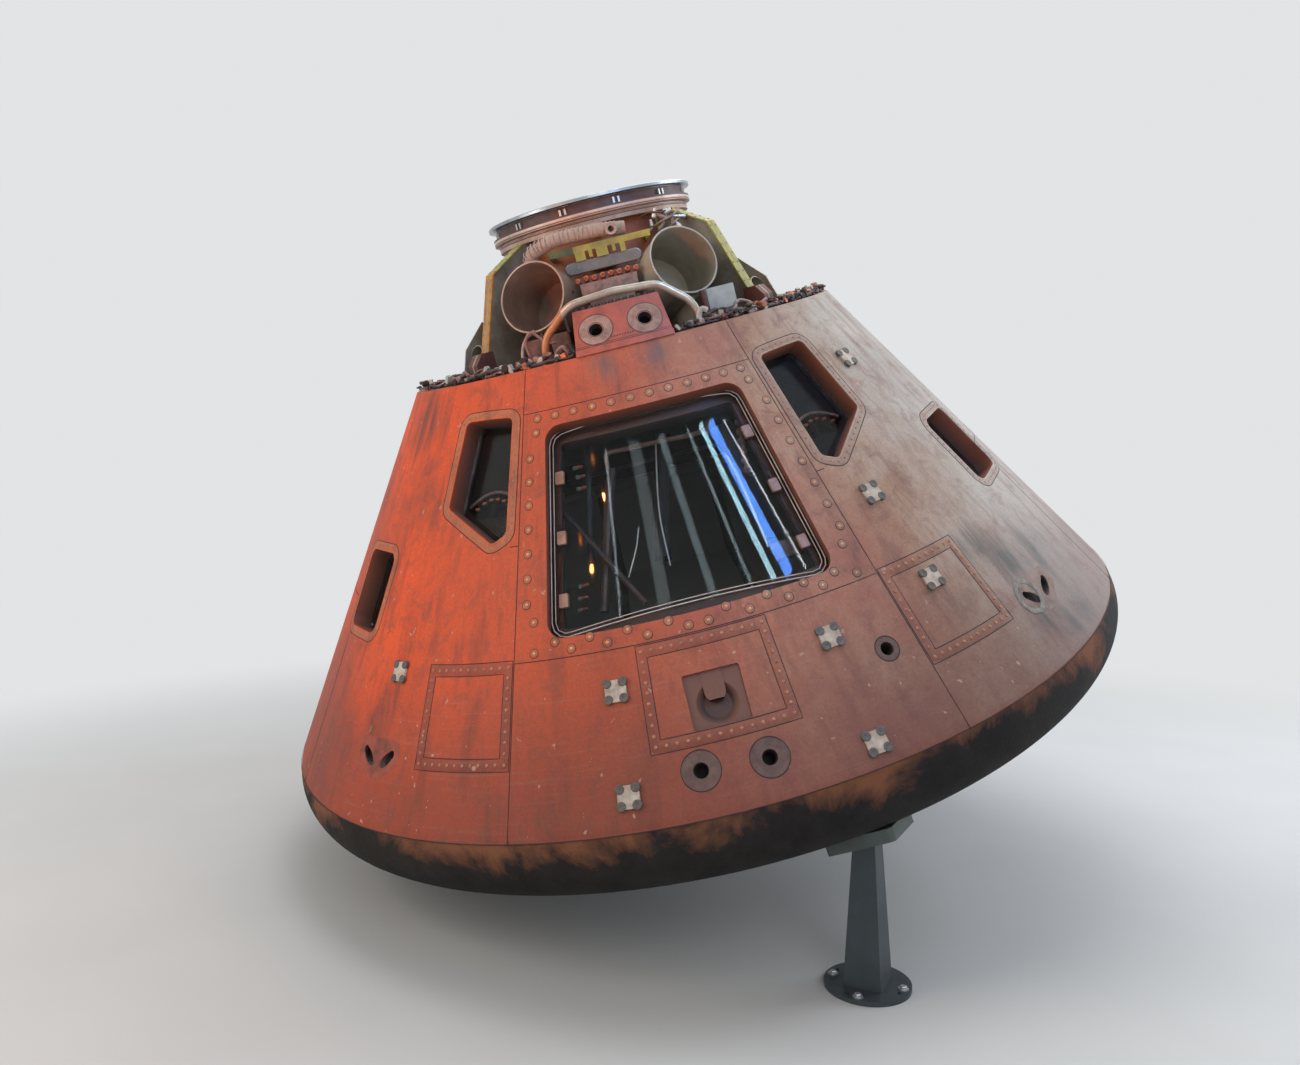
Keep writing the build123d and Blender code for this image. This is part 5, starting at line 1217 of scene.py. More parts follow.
# Wire in a pinkish brown jacket
WIRE = Worn("wire_jacket", "#8d6759", "#6b4a3e", "#33231d", 20, 2, 0.3, 0.0, 0.5)
# Duct wrapped in pinkish cloth
DUCT = Woven("wrapped_duct", "#bcaaa1", "#98847b", 5.0)
# Couch pads: dark soiled cloth
COUCH = Woven("couch_cloth", "#3d3832", "#27231f", 5.0)
# Console paint
CONSOLE = Worn("console_paint", "#333636", "#2a2d2d", "#151515", 80, 3, 0.3, 0.0, 0.5)
# Edge of the acrylic sheet: pale, a painted highlight of the light it catches
EDGE_HIGHLIGHT = Worn("painted_edge_highlight", "#e6dcd8", "#cdbdb8", "#9a7c72", 26, 2, 0.3, 0.0, 0.3)
# Stand: dark green grey enamel on steel, duller on the saddles
POST = Worn("post_enamel", "#39454a", "#303a3e", "#1c2022", 120, 3, 0.2, 0.1, 0.45, 0.06)
SADDLE = Worn("saddle_enamel", "#4e5956", "#434c4a", "#2c302f", 80, 3, 0.25, 0.0, 0.6)

NODE_FINISHES: dict[str, Finish] = {
    "aft_heat_shield": CHAR, "hatch_cover": ACRYLIC, "hatch_clips": PINK, "vent_panel": VENT,
    "window_panes": PANE, "side_window_panes": PANE, "port_liners": LINER, "strut_pads": PAD,
    "cabin_floor": ALLOY, "cabin_wall": CABIN_PAINT_AND_SHADE, "forward_deck": DECK, "tunnel": TUNNEL,
    "tunnel_hatch": CABIN_PAINT_AND_SHADE, "tunnel_flange": BAND, "docking_ring": RING,
    "ring_latches": STEEL, "mortar_can_left": CAN_WARM, "mortar_can_right": CAN_COOL,
    "thruster_plate": RED, "thruster_rings": THRUSTER_LINER, "guard_tube": TUBE,
    "comb_bracket": COMB, "stadium_plate": ENAMEL, "manifold": MANIFOLD, "deck_box": FOIL,
    "air_duct": DUCT, "junction_boxes": BOX_TAN, "relay_block": BOX_RED,
    "connector_box": WHITE, "pilot_mortars": CAN, "couch_frame": ALLOY, "couch_struts": ALLOY,
    "console": CONSOLE, "equipment_bay": CONSOLE, "stand_saddles": SADDLE,
    **{f"couch_{place}": COUCH for place in ("left", "centre", "right")},
    **{f"stand_post_{place}": POST for place in ("front", "left", "right")},
    **{f"gusset_{end}_{side}": GUSSET for end in ("front", "rear") for side in ("left", "right")},
}


# Edges that turn by more than this stay sharp
SHARP_DEG = 35.0


def dress_solids() -> None:
    """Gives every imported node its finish. What isn't listed is scorched ablator."""
    for name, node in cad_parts.items():
        material = NODE_FINISHES.get(name, ABLATOR).material()
        for place in node.material_slots:
            place.material = material
    log.info("dressed %d nodes", len(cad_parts))


def add_piece(name: str, shape: Shape, finish: Finish) -> None:
    """Makes one object of a shape and lets it ride on the capsule.

    Args:
        name: The piece's name.
        shape: Its points and faces, in the row frame.
        finish: What it is made of.
    """
    mesh = bpy.data.meshes.new(name)
    mesh.from_pydata(shape.points.tolist(), [], shape.faces)
    mesh.shade_smooth()
    mesh.set_sharp_from_angle(angle=math.radians(SHARP_DEG))
    mesh.materials.append(finish.material())
    piece = bpy.data.objects.new(name, mesh)
    bpy.context.scene.collection.objects.link(piece)
    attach(piece, "root")
    log.info("%s: %d faces", name, len(shape.faces))


def bolt_head(radius: float, height: float, sides: int = 14) -> Shape:
    """A low domed head, set 1 mm into what it stands on."""
    return stack(circle(sides, radius), [
        (1.0, -1 * MM), (1.0, height * 0.45), (0.82, height * 0.85), (0.45, height)])


def frames_along(normals: Array, up: Array) -> Array:
    """Frames with z along each normal and y as near as can be to one direction.

    Args:
        normals: Unit directions, n by 3.
        up: The direction for y, one for all or one for each.

    Returns:
        Rows x, y and z of each frame: unit(up x normal), normal x that, normal.
    """
    across = np.cross(up, normals)
    across /= np.linalg.norm(across, axis=-1, keepdims=True)
    return np.stack([across, np.cross(normals, across), normals], -2)


def ribbon(path: Array, normals: Array, width: float, proud: float,
           closed: bool = False) -> Shape:
    """A thin strip with soft edges, half sunk in the surface that its path lies on."""
    return swept(rounded(width, 2 * proud, 0.7 * proud, 3), path, normals, closed)


def skin_ribbon(run: tuple[Array, Array], width: float, proud: float,
                closed: bool = False) -> Shape:
    """A thin strip on the cone along azimuths in degrees and heights in metres."""
    return ribbon(CAPSULE.skin(*run), CAPSULE.normal(run[0]), width, proud, closed)


def cone_run(corners: Array, pitch: float, closed: bool = False) -> tuple[Array, Array]:
    """Places on the cone along straight stretches of azimuth and height.

    Args:
        corners: Pairs of azimuth in degrees and height in millimetres.
        pitch: Metres between places, rounded to fit each stretch.
        closed: Whether the last corner runs back to the first.

    Returns:
        Azimuths, and heights in metres.
    """
    ends = np.asarray(corners, float) * (1.0, MM)
    if closed:
        ends = np.concatenate([ends, ends[:1]])
    spots = CAPSULE.skin(ends[:, 0], ends[:, 1])
    spans = np.linalg.norm(np.diff(spots, axis=0), axis=1)
    steps = np.maximum(np.round(spans / pitch).astype(int), 2)
    share = np.concatenate([np.arange(n) / n for n in steps])[:, None]
    start, step = (np.repeat(rows, steps, axis=0) for rows in (ends[:-1], np.diff(ends, axis=0)))
    run = start + step * share
    if not closed:
        run = np.concatenate([run, ends[-1:]])
    return run[:, 0], run[:, 1]


def box_corners(low_az: float, high_az: float, low: float, high: float,
                growth_mm: float = 0.0) -> Array:
    """Corners of a panel on the cone, moved out by a distance, anticlockwise.

    Args:
        low_az: Azimuth of its left side, degrees.
        high_az: Azimuth of its right side.
        low: Height of its lower side, mm.
        high: Height of its upper side, mm.
        growth_mm: How far each side moves out.

    Returns:
        Azimuth in degrees and height in mm of the four corners.
    """
    turn = math.degrees(growth_mm * MM / float(CAPSULE.skin_r((low + high) / 2 * MM)))
    return np.array([[low_az - turn, low - growth_mm], [high_az + turn, low - growth_mm],
                     [high_az + turn, high + growth_mm], [low_az - turn, high + growth_mm]])


@dataclass
class SkinSeams:
    """Joints between the shield's panels: thin dark lines, partly painted shade of the gaps."""

    width: float = 3.6 * MM
    proud: float = 0.5 * MM
    pitch: float = 60 * MM
    # the hatch frame's low and high azimuth, low and high height in mm
    hatch_frame: tuple[float, float, float, float] = (-23.95, 23.95, 579.0, 1380.0)
    # steps of the seam above the dish, and how far above its solid's edge it runs
    seam_steps: int = 120
    seam_rise: float = 1 * MM
    # joints: azimuth and height in mm at each end
    joints: tuple[Table, ...] = (
        ((-23.95, 78.0), (-23.95, 579.0)), ((23.95, 78.0), (23.95, 579.0)),
        ((-23.95, 1380.0), (-23.95, 1541.0)), ((23.95, 1380.0), (23.95, 1541.0)),
        ((-112.0, 78.0), (-112.0, 1541.0)), ((112.0, 78.0), (112.0, 1541.0)),
        ((112.0, 1130.0), (248.0, 1130.0)), ((146.0, 78.0), (146.0, 1130.0)),
        ((214.0, 78.0), (214.0, 1130.0)), ((180.0, 1130.0), (180.0, 1541.0)),
        ((66.0, 78.0), (66.0, 760.0)), ((-66.0, 78.0), (-66.0, 760.0)),
        ((66.0, 760.0), (112.0, 760.0)), ((-112.0, 760.0), (-66.0, 760.0)),
        ((-25.5, 941.0), (-24.0, 941.0)), ((24.0, 941.0), (25.5, 941.0)))

    def build(self) -> None:
        """The frame's outline, the joints of the cone and the seam above the dish."""
        runs = [(cone_run(joint, self.pitch), False) for joint in self.joints]
        runs.append((cone_run(box_corners(*self.hatch_frame), self.pitch, True), True))
        turns = np.linspace(-180, 180, self.seam_steps, endpoint=False)
        runs.append(((turns, CAPSULE.seam_h + self.seam_rise + 0 * turns), True))
        seams = [skin_ribbon(run, self.width, self.proud, closed) for run, closed in runs]
        add_piece("panel_seams", Shape.joined(seams), JOINT)


@dataclass
class SkinBorders:
    """Filled borders and bolts of the flush panels in the cone."""

    width: float = 37 * MM
    proud: float = 0.7 * MM
    line: float = 3.2 * MM
    bolt_r: float = 6.5 * MM
    bolt_h: float = 2.2 * MM
    pitch: float = 36 * MM
    # panels: low azimuth, high azimuth, low height, high height in mm
    panels: tuple[tuple[str, tuple[float, float, float, float]], ...] = (
        ("vent", (-7.4, 7.4, 288.0, 556.0)), ("access_left", (-37.2, -24.75, 292.0, 570.0)),
        ("access_right", (24.75, 37.2, 292.0, 570.0)), ("umbilical", (173.5, 186.5, 330.0, 640.0)),
        ("rear_left", (198.0, 209.0, 760.0, 1000.0)))

    def build(self) -> None:
        """One strip, a thin line at each of its edges and one row of bolts per panel."""
        lines = []
        for name, sides in self.panels:
            run = cone_run(box_corners(*sides), self.pitch, True)
            add_piece(f"border_{name}", skin_ribbon(run, self.width, self.proud, True), BORDER)
            bolts = bolt_head(self.bolt_r, self.bolt_h).copies(*CAPSULE.spots(*run, self.proud))
            add_piece(f"bolts_{name}", bolts, BORDER_BOLT)
            for growth in (-0.5, 0.5):
                outline = box_corners(*sides, growth_mm=growth * self.width / MM)
                lines.append(skin_ribbon(cone_run(outline, self.pitch, True), self.line,
                                         self.proud + 0.3 * MM, True))
        add_piece("border_lines", Shape.joined(lines), JOINT)


@dataclass
class HatchSurround:
    """Bolts of the hatch frame, each in its plug ring, and the cover's rims, painted highlight."""

    ring_r: float = 15.5 * MM
    bolt_r: float = 6.4 * MM
    cover_depth: float = 62 * MM
    # the opening: half its width in degrees, low and high height in mm
    opening: tuple[float, float, float] = (19.2, 637.0, 1322.0)
    corner_r: float = 62 * MM
    middle_h: float = 979.5 * MM
    # pale rims of the cover, a painted highlight: set in by, and width
    rims: Table = ((6 * MM, 4.5 * MM), (20 * MM, 3.5 * MM))
    # rows: start azimuth, end azimuth, start height, end height in mm, bolts
    rows: Table = (
        (-20.8, 21.2, 1357.0, 1357.0, 12),
        (-21.1, -21.1, 1308.0, 1308.0, 1), (21.5, 21.5, 1309.0, 1309.0, 1),
        (-22.3, -22.3, 1223.0, 752.0, 7), (22.7, 22.7, 1222.0, 753.0, 7),
        (-21.2, -21.2, 695.0, 695.0, 1), (21.6, 21.6, 698.0, 698.0, 1),
        (-18.2, -13.5, 628.0, 628.0, 2), (-8.6, -3.4, 628.0, 628.0, 2),
        (3.9, 9.2, 628.0, 628.0, 2), (14.2, 18.6, 628.0, 628.0, 2),
        (-21.1, -16.0, 602.0, 602.0, 2), (-11.3, -6.2, 602.0, 602.0, 2),
        (-1.1, 1.4, 602.0, 602.0, 2), (6.6, 11.7, 602.0, 602.0, 2),
        (16.4, 21.4, 602.0, 602.0, 2))

    def rim(self, inset: float, width: float) -> Shape:
        """A closed bead on the cover along the opening's outline, set in by a distance.

        Args:
            inset: Distance from the outline.
            width: The bead's diameter.

        Returns:
            A circle carried round the inset outline, wrapped on the cover.
        """
        half, low, high = self.opening
        flat = CAPSULE.flat(0.0, self.middle_h, np.array(
            [[-half, low], [half, low], [half, high], [-half, high]]) * (1.0, MM))
        outline = grown(filleted(flat, self.corner_r, 12), -inset)
        path, normals = CAPSULE.wrapped(resampled(outline, 30 * MM, True), 0.0, self.middle_h,
                                        self.cover_depth)
        return swept(circle(8, width / 2), path, normals, closed=True)

    def build(self) -> None:
        """Rings and bolt heads in the measured rows, and two rims on the cover."""
        azimuth, height = (np.concatenate([np.linspace(row[i], row[i + 1], row[4])
                                           for row in self.rows]) for i in (0, 2))
        height *= MM
        spots = CAPSULE.spots(azimuth, height)
        # a dark ring round each plug ring: painted shade of the gap
        gap = collar([(self.ring_r, -1 * MM), (1.14 * self.ring_r, -1 * MM),
                      (1.14 * self.ring_r, 0.5 * MM), (self.ring_r, 0.6 * MM)], 24)
        add_piece("hatch_plug_gaps", gap.copies(*spots), JOINT)
        ring = collar([(0.36 * self.ring_r, -1 * MM), (self.ring_r, -1 * MM),
                       (self.ring_r, 0.6 * MM), (0.9 * self.ring_r, 1.5 * MM),
                       (0.42 * self.ring_r, 1.2 * MM)], 24)
        add_piece("hatch_plug_rings", ring.copies(*spots), PLUG_RING)
        head = bolt_head(self.bolt_r, 2.2 * MM, 12)
        add_piece("hatch_bolts", head.copies(*spots), BRASS)
        add_piece("cover_rims", Shape.joined([self.rim(*rim) for rim in self.rims]), EDGE_HIGHLIGHT)


# Where the plane of the right forward window touches the cone: azimuth and height
WINDOW_MIDDLE = (33.0, 1.170)


@dataclass(frozen=True)
class WindowOpening:
    """One window in the cone: where its plane touches, and its outline there."""

    name: str
    azimuth: float
    height: float
    outline: Array

    def edge(self, growth: float, pitch: float, depth: float = 0.0) -> tuple[Array, Array]:
        """Points and normals evenly along the outline, grown by a distance."""
        flat = resampled(grown(self.outline, growth), pitch, True)
        return CAPSULE.wrapped(flat, self.azimuth, self.height, depth)


@dataclass
class WindowSurrounds:
    """Riveted borders and bright lips of the four windows."""

    border: float = 36 * MM
    lip: float = 7 * MM
    rivet_r: float = 4.5 * MM
    rivet_pitch: float = 34 * MM
    # corners of the right forward window: azimuth and height in mm, anticlockwise
    corners: Table = (
        (26.4, 985.0), (29.0, 957.0), (40.0, 1095.0), (39.0, 1393.0), (26.6, 1380.0))
    corner_r: float = 26 * MM
    # the side windows: where their planes touch, and width, height, corners' radius
    side_middle: tuple[float, float] = (60.5, 0.806)
    side_size: tuple[float, float, float] = (320 * MM, 335 * MM, 45 * MM)

    def openings(self) -> list[WindowOpening]:
        """The four windows, the left ones mirrored from the right ones.

        Returns:
            Front and side window of the right, then of the left.
        """
        made = []
        for side, name in ((1, "right"), (-1, "left")):
            middle = side * WINDOW_MIDDLE[0], WINDOW_MIDDLE[1]
            flat = CAPSULE.flat(*middle, np.array(self.corners)[::side] * (side, MM))
            made.append(WindowOpening(f"front_{name}", *middle, filleted(flat, self.corner_r)))
            made.append(WindowOpening(f"side_{name}", side * self.side_middle[0],
                                      self.side_middle[1], rounded(*self.side_size, 8)))
        return made

    def build(self) -> None:
        """Border, lip, outer line and rivets round each window."""
        for window in self.openings():
            for name, growth, pitch, width, proud, finish in (
                    ("border", self.border / 2 + self.lip / 2, 14 * MM, self.border - self.lip,
                     0.6 * MM, PLUG_RING),
                    ("lip", self.lip * 0.55, 10 * MM, self.lip, 1.2 * MM, LIP),
                    ("line", self.border + 2 * MM, 14 * MM, 3 * MM, 0.8 * MM, JOINT)):
                add_piece(f"{name}_{window.name}",
                          ribbon(*window.edge(growth, pitch), width, proud, True), finish)
            path, normals = window.edge(self.border * 0.55, self.rivet_pitch)
            rivets = bolt_head(self.rivet_r, 2 * MM, 8).copies(
                path + normals * 0.5 * MM, frames_along(normals, CAPSULE.axes[2]))
            add_piece(f"rivets_{window.name}", rivets, BORDER_BOLT)


@dataclass
class WindowInsides:
    """Blanket, arched seal and small fittings behind the forward windows."""

    blanket_depth: float = 118 * MM
    arch_depth: float = 100 * MM
    # in the window's plane: half the arch's width, its upper edge, height of its lower
    # edge at the sides and what that gains in the middle
    arch_half: float = 125 * MM
    arch_top: float = 250 * MM
    arch_foot: float = -60 * MM
    arch_rise: float = 52 * MM

    def build(self) -> None:
        """A dark arch across each window, copper clips under it, a board below."""
        azimuth, height = WINDOW_MIDDLE
        for side, name in ((-1, "left"), (1, "right")):
            middle, (axes,) = CAPSULE.spots(side * azimuth, height)
            share = np.linspace(-1, 1, 17)
            lower = self.arch_foot + self.arch_rise * (1 - share**2)
            up = lower + np.linspace(0, 1, 5)[:, None] * (self.arch_top - lower)
            grid = middle + np.stack([np.broadcast_to(share * self.arch_half, up.shape), up,
                                      np.full(up.shape, -self.arch_depth)], -1) @ axes
            # the arch is dark partly as painted shade of the cabin behind the window
            add_piece(f"arch_{name}", slab(grid, axes[2], 3 * MM), BLANKET)
            add_piece(f"arch_seal_{name}", swept(circle(8, 7 * MM), grid[0], axes[2]), TARNISH)
            share = np.linspace(-0.8, 0.8, 6)
            flat = np.stack([share * 105 * MM, (-88 + 50 * (1 - share**2)) * MM,
                             np.full(6, -self.arch_depth)], 1)
            clip = stack(rounded(22 * MM, 12 * MM, 4 * MM), [(1, -6), (1, 6), (0.7, 9)], MM)
            add_piece(f"clips_{name}", clip.copies(middle + flat @ axes, axes), COPPER)
            low, high, depth = -250 * MM, -105 * MM, -self.blanket_depth
            left, right = (side * 6 - 120) * MM, (side * 6 + 120) * MM
            board = np.array([[(left, low, depth), (right, low, depth)],
                              [(left, high, depth), (right, high, depth)]])
            add_piece(f"board_{name}", slab(middle + board @ axes, axes[2], 6 * MM), BAKED_DIRT_AND_SHADE)


@dataclass
class StrutPads:
    """Four dark plugged bolts on each white pad, each plug with a small dimple."""

    proud: float = 9 * MM
    spacing: float = 27 * MM
    bolt_r: float = 16 * MM
    # pads: azimuth, height in mm
    places: Table = (
        (-10.9, 460.0), (14.3, 456.0), (-10.8, 172.0), (14.1, 145.0), (30.6, 498.0),
        (30.4, 812.0), (47.4, 1272.0), (-44.0, 560.0))

    def build(self) -> None:
        """Plugs at the corners of each pad, every plug with a small dimple."""
        azimuth, height = np.array(self.places).T
        axes = CAPSULE.on_skin(azimuth)
        origins = (CAPSULE.skin(azimuth, height * MM, self.proud)[:, None]
                   + np.einsum("cj,njk->nck", SQUARE * self.spacing, axes[:, :2]))
        plug = stack(circle(18, self.bolt_r), [
            (1.0, -9), (1.0, 1.8), (0.9, 3.0), (0.5, 3.2), (0.3, 1.8)], MM)
        add_piece("pad_plugs", plug.copies(origins.reshape(-1, 3), np.repeat(axes, 4, 0)), PLUG)


def port_line(azimuth: float, height: float, radius: float, width: float, proud: float,
              sides: int = 36) -> Shape:
    """A closed strip on the cone round a port."""
    edge = CAPSULE.wrapped(circle(sides, radius), azimuth, height)
    return ribbon(*edge, width, proud, True)


@dataclass
class PortRims:
    """Thin dark joints round the round thruster liners, and the ash by one of them."""

    # ports: azimuth, height in mm, outer radius in mm
    ports: Table = ((-3.3, 205.0, 64.0), (3.6, 195.0, 64.0), (20.0, 367.0, 43.0))
    # ash-grey ring that the lower right roll thruster left round itself
    burnt_az: float = 42.9
    burnt_h: float = 0.297
    burnt_r: float = 64 * MM

    def build(self) -> None:
        """A closed line of joint filler along each liner's edge, and the ash-grey ring."""
        lines = [port_line(azimuth, height * MM, (radius + 1) * MM, 4 * MM, 0.8 * MM)
                 for azimuth, height, radius in self.ports]
        add_piece("port_joints", Shape.joined(lines), JOINT)
        ash = port_line(self.burnt_az, self.burnt_h, self.burnt_r, 20 * MM, 1.6 * MM, 40)
        add_piece("burnt_ring", ash, BURNT_RING)


# The section's y of every tube: a direction that none of them runs along
TUBE_UP = np.array([0.31, 0.23, 0.92])


@dataclass(frozen=True)
class Tube:
    """A pipe, rod or cable along corners in the capsule's frame, in millimetres."""

    name: str
    finish: Finish
    slot: Slot
    radius_mm: float
    corners: Table

    def build(self) -> None:
        """A round section along a soft curve through the corners."""
        path = smooth_path(CAPSULE.at(np.array(self.corners) * MM), 8)
        add_piece(self.name, swept(circle(10, self.radius_mm * MM), path, TUBE_UP), self.finish)


@dataclass
class HatchInside:
    """Rods, posts and fittings that show through the clear cover."""

    tubes: tuple[Tube, ...] = (
        Tube("grab_rod", PINK, Slot.CABIN_GREY, 9, (
            (-182, -1039, 1105), (-172, -1030, 1158), (-95, -1033, 1161), (49, -1038, 1158),
            (194, -1024, 1153), (240, -990, 1180))),
        Tube("low_strut", UMBER, Slot.CABIN, 12, (
            (-384, -1033, 968), (-275, -1179, 802), (-161, -1314, 627))),
        Tube("left_post", UMBER, Slot.CABIN, 20, (
            (-170, -986, 1088), (-204, -1044, 992), (-322, -1247, 616))),
        Tube("back_post", BLANKET, Slot.CABIN, 14, (
            (-242, -868, 1205), (-302, -1048, 913), (-330, -1130, 780))),
        Tube("middle_post", BLANKET, Slot.CABIN, 34, (
            (60, -753, 1139), (-20, -900, 870), (-60, -1020, 700))),
        Tube("thin_wire_a", STEEL, Slot.CABIN, 3, (
            (-121, -1071, 860), (-150, -1110, 790), (-203, -1163, 700))),
        Tube("thin_wire_b", STEEL, Slot.CABIN, 3, (
            (20, -960, 1140), (-30, -1060, 900), (-40, -1150, 700))),
        Tube("pull_rod", PINK, Slot.CABIN, 7, (
            (353, -985, 1149), (346, -1035, 1087), (330, -1118, 981))),
        Tube("right_pipe", STEEL, Slot.CABIN, 6, (
            (250, -960, 1150), (300, -1090, 930), (330, -1230, 700))))
    # couplings on the left: sideways, back, up in mm
    couplings: Table = (
        (-313, -1031, 1136), (-309, -1054, 1102), (-316, -1079, 1061), (-386, -1277, 740),
        (-398, -1297, 700), (-408, -1312, 662))
    # first and last bead of the pull rod, corners of the fairing, middle of the box: mm
    bead_ends: Table = ((353, -985, 1149), (330, -1118, 981))
    fairing: tuple[Table, ...] = (
        ((332, -1087, 953), (392, -1063, 958)), ((223, -985, 1147), (373, -924, 1168)))
    box: Place = (392, -1278, 690)

    def build(self) -> None:
        """Tubes, couplings, beads on the pull rod, the fairing and a box."""
        for tube in self.tubes:
            tube.build()
        places = CAPSULE.at(np.array(self.couplings) * MM)
        axes = CAPSULE.axes[[1, 2, 0]]
        white = stack(circle(12, 8 * MM), [(0.8, 0), (1, 2), (1, 15), (0.7, 17)], MM)
        copper = stack(circle(12, 7 * MM), [(0.7, 17), (1, 19), (1, 36), (0.6, 39)], MM)
        add_piece("coupling_sleeves", white.copies(places, axes), WHITE)
        add_piece("coupling_nuts", copper.copies(places, axes), COPPER)
        rod = np.linspace(*np.array(self.bead_ends, float), 6)
        bead = stack(circle(12, 15 * MM), [(0.5, -13), (1, -6), (1, 6), (0.5, 13)], MM)
        add_piece("pull_rod_beads", bead.copies(CAPSULE.at(rod * MM), CAPSULE.facing), PINK)
        grid = CAPSULE.at(np.array(self.fairing) * MM)
        add_piece("inner_fairing", slab(grid, CAPSULE.normal(15.0), 8 * MM), BLANKET)
        box = stack(rounded(120 * MM, 70 * MM, 10 * MM), [(1, -20), (1, 0), (0.9, 8)], MM)
        add_piece("inner_box", box.copies(CAPSULE.at(np.array([self.box]) * MM),
                                          CAPSULE.on_skin(17.0)), PINK)


@dataclass
class PlateLines:
    """Rings, painted lines, and soot with painted shade, of the forward thruster plate."""

    port_az: float = 6.0
    port_h: float = 1.628
    port_r: float = 66 * MM
    inner_r: float = 31 * MM
    bore_r: float = 21.5 * MM
    bore_depth: float = 27 * MM
    # the two lines at the foot: heights in mm, and half their width in degrees
    foot_lines: tuple[float, float] = (1568.0, 1574.0)
    foot_half: float = 11.1
    dots_h: float = 1.588
    knobs_h: float = 1.722

    def build(self) -> None:
        """Lines round each port, two at the foot, a dotted one, soot and painted shade in the
        bores, knobs.
        """
        ports = np.array([-self.port_az, self.port_az])
        lines = []
        for azimuth in ports:
            lines.append(port_line(azimuth, self.port_h, self.port_r + 2 * MM, 5 * MM, 0.8 * MM,
                                   40))
            lines.append(port_line(azimuth, self.port_h, self.inner_r, 3 * MM, 0.7 * MM))
        for height in self.foot_lines:
            run = cone_run([(-self.foot_half, height), (self.foot_half, height)], 30 * MM)
            lines.append(skin_ribbon(run, 2.5 * MM, 0.7 * MM))
        add_piece("plate_lines", Shape.joined(lines), BOX_RED)
        dots = bolt_head(3.5 * MM, 1.5 * MM, 8).copies(
            *CAPSULE.spots(np.linspace(-2.6, 2.4, 9), self.dots_h))
        add_piece("plate_dots", dots, BOX_RED)
        # a black disc at the foot of each bore: soot, and painted shade of the hole
        # its height is a share of its radius
        throat = stack(circle(24), [(1.0, -1 / 12), (1.0, 0.0)])
        throats = throat.copies(*CAPSULE.spots(ports, self.port_h, -self.bore_depth), self.bore_r)
        add_piece("bore_soot_and_shade", throats, SOOT_AND_BORE_SHADE)
        knob = stack(circle(12, 11 * MM), [(1.0, -2), (1.0, 5), (0.6, 10)], MM)
        places = CAPSULE.skin(np.linspace(-10.2, 10.2, 12), self.knobs_h, -14 * MM)
        add_piece("plate_knobs", knob.copies(places, CAPSULE.axes), RUBBER)


@dataclass
class GussetRivets:
    """Rivets down both edges of the gussets' strips."""

    # outer line of a strip: radius, height in mm
    line: Table = ((812.4, 1652.0), (685.0, 1953.0), (482.0, 2059.0))
    pitch: float = 42 * MM
    across: float = 16 * MM
    azimuths: tuple[float, ...] = (-45.0, 45.0, -135.0, 135.0)

    def build(self) -> None:
        """Two rows on each strip: radius and height along the line, set off sideways."""
        places, axes = [], []
        for start, end in zip(self.line[:-1], self.line[1:]):
            start, end = np.array(start) * MM, np.array(end) * MM
            count = int(np.linalg.norm(end - start) / self.pitch)
            run = start + (end - start) * ((np.arange(count) + 0.5) / count)[:, None]
            way = (end - start) / np.linalg.norm(end - start)
            for azimuth in self.azimuths:
                out, side = CAPSULE.outward(azimuth), CAPSULE.outward(azimuth + 90)
                normal = out * way[1] - CAPSULE.axes[2] * way[0]
                middle = CAPSULE.origin + run[:, :1] * out + run[:, 1:] * CAPSULE.axes[2]
                for sign in (-1, 1):
                    places.append(middle + sign * self.across * side)
                    axes.append(np.tile(np.stack([side, np.cross(normal, side), normal]),
                                        (count, 1, 1)))
        rivets = bolt_head(4.5 * MM, 2.5 * MM, 8).copies(np.concatenate(places),
                                                         np.concatenate(axes))
        add_piece("gusset_rivets", rivets, TARNISH)


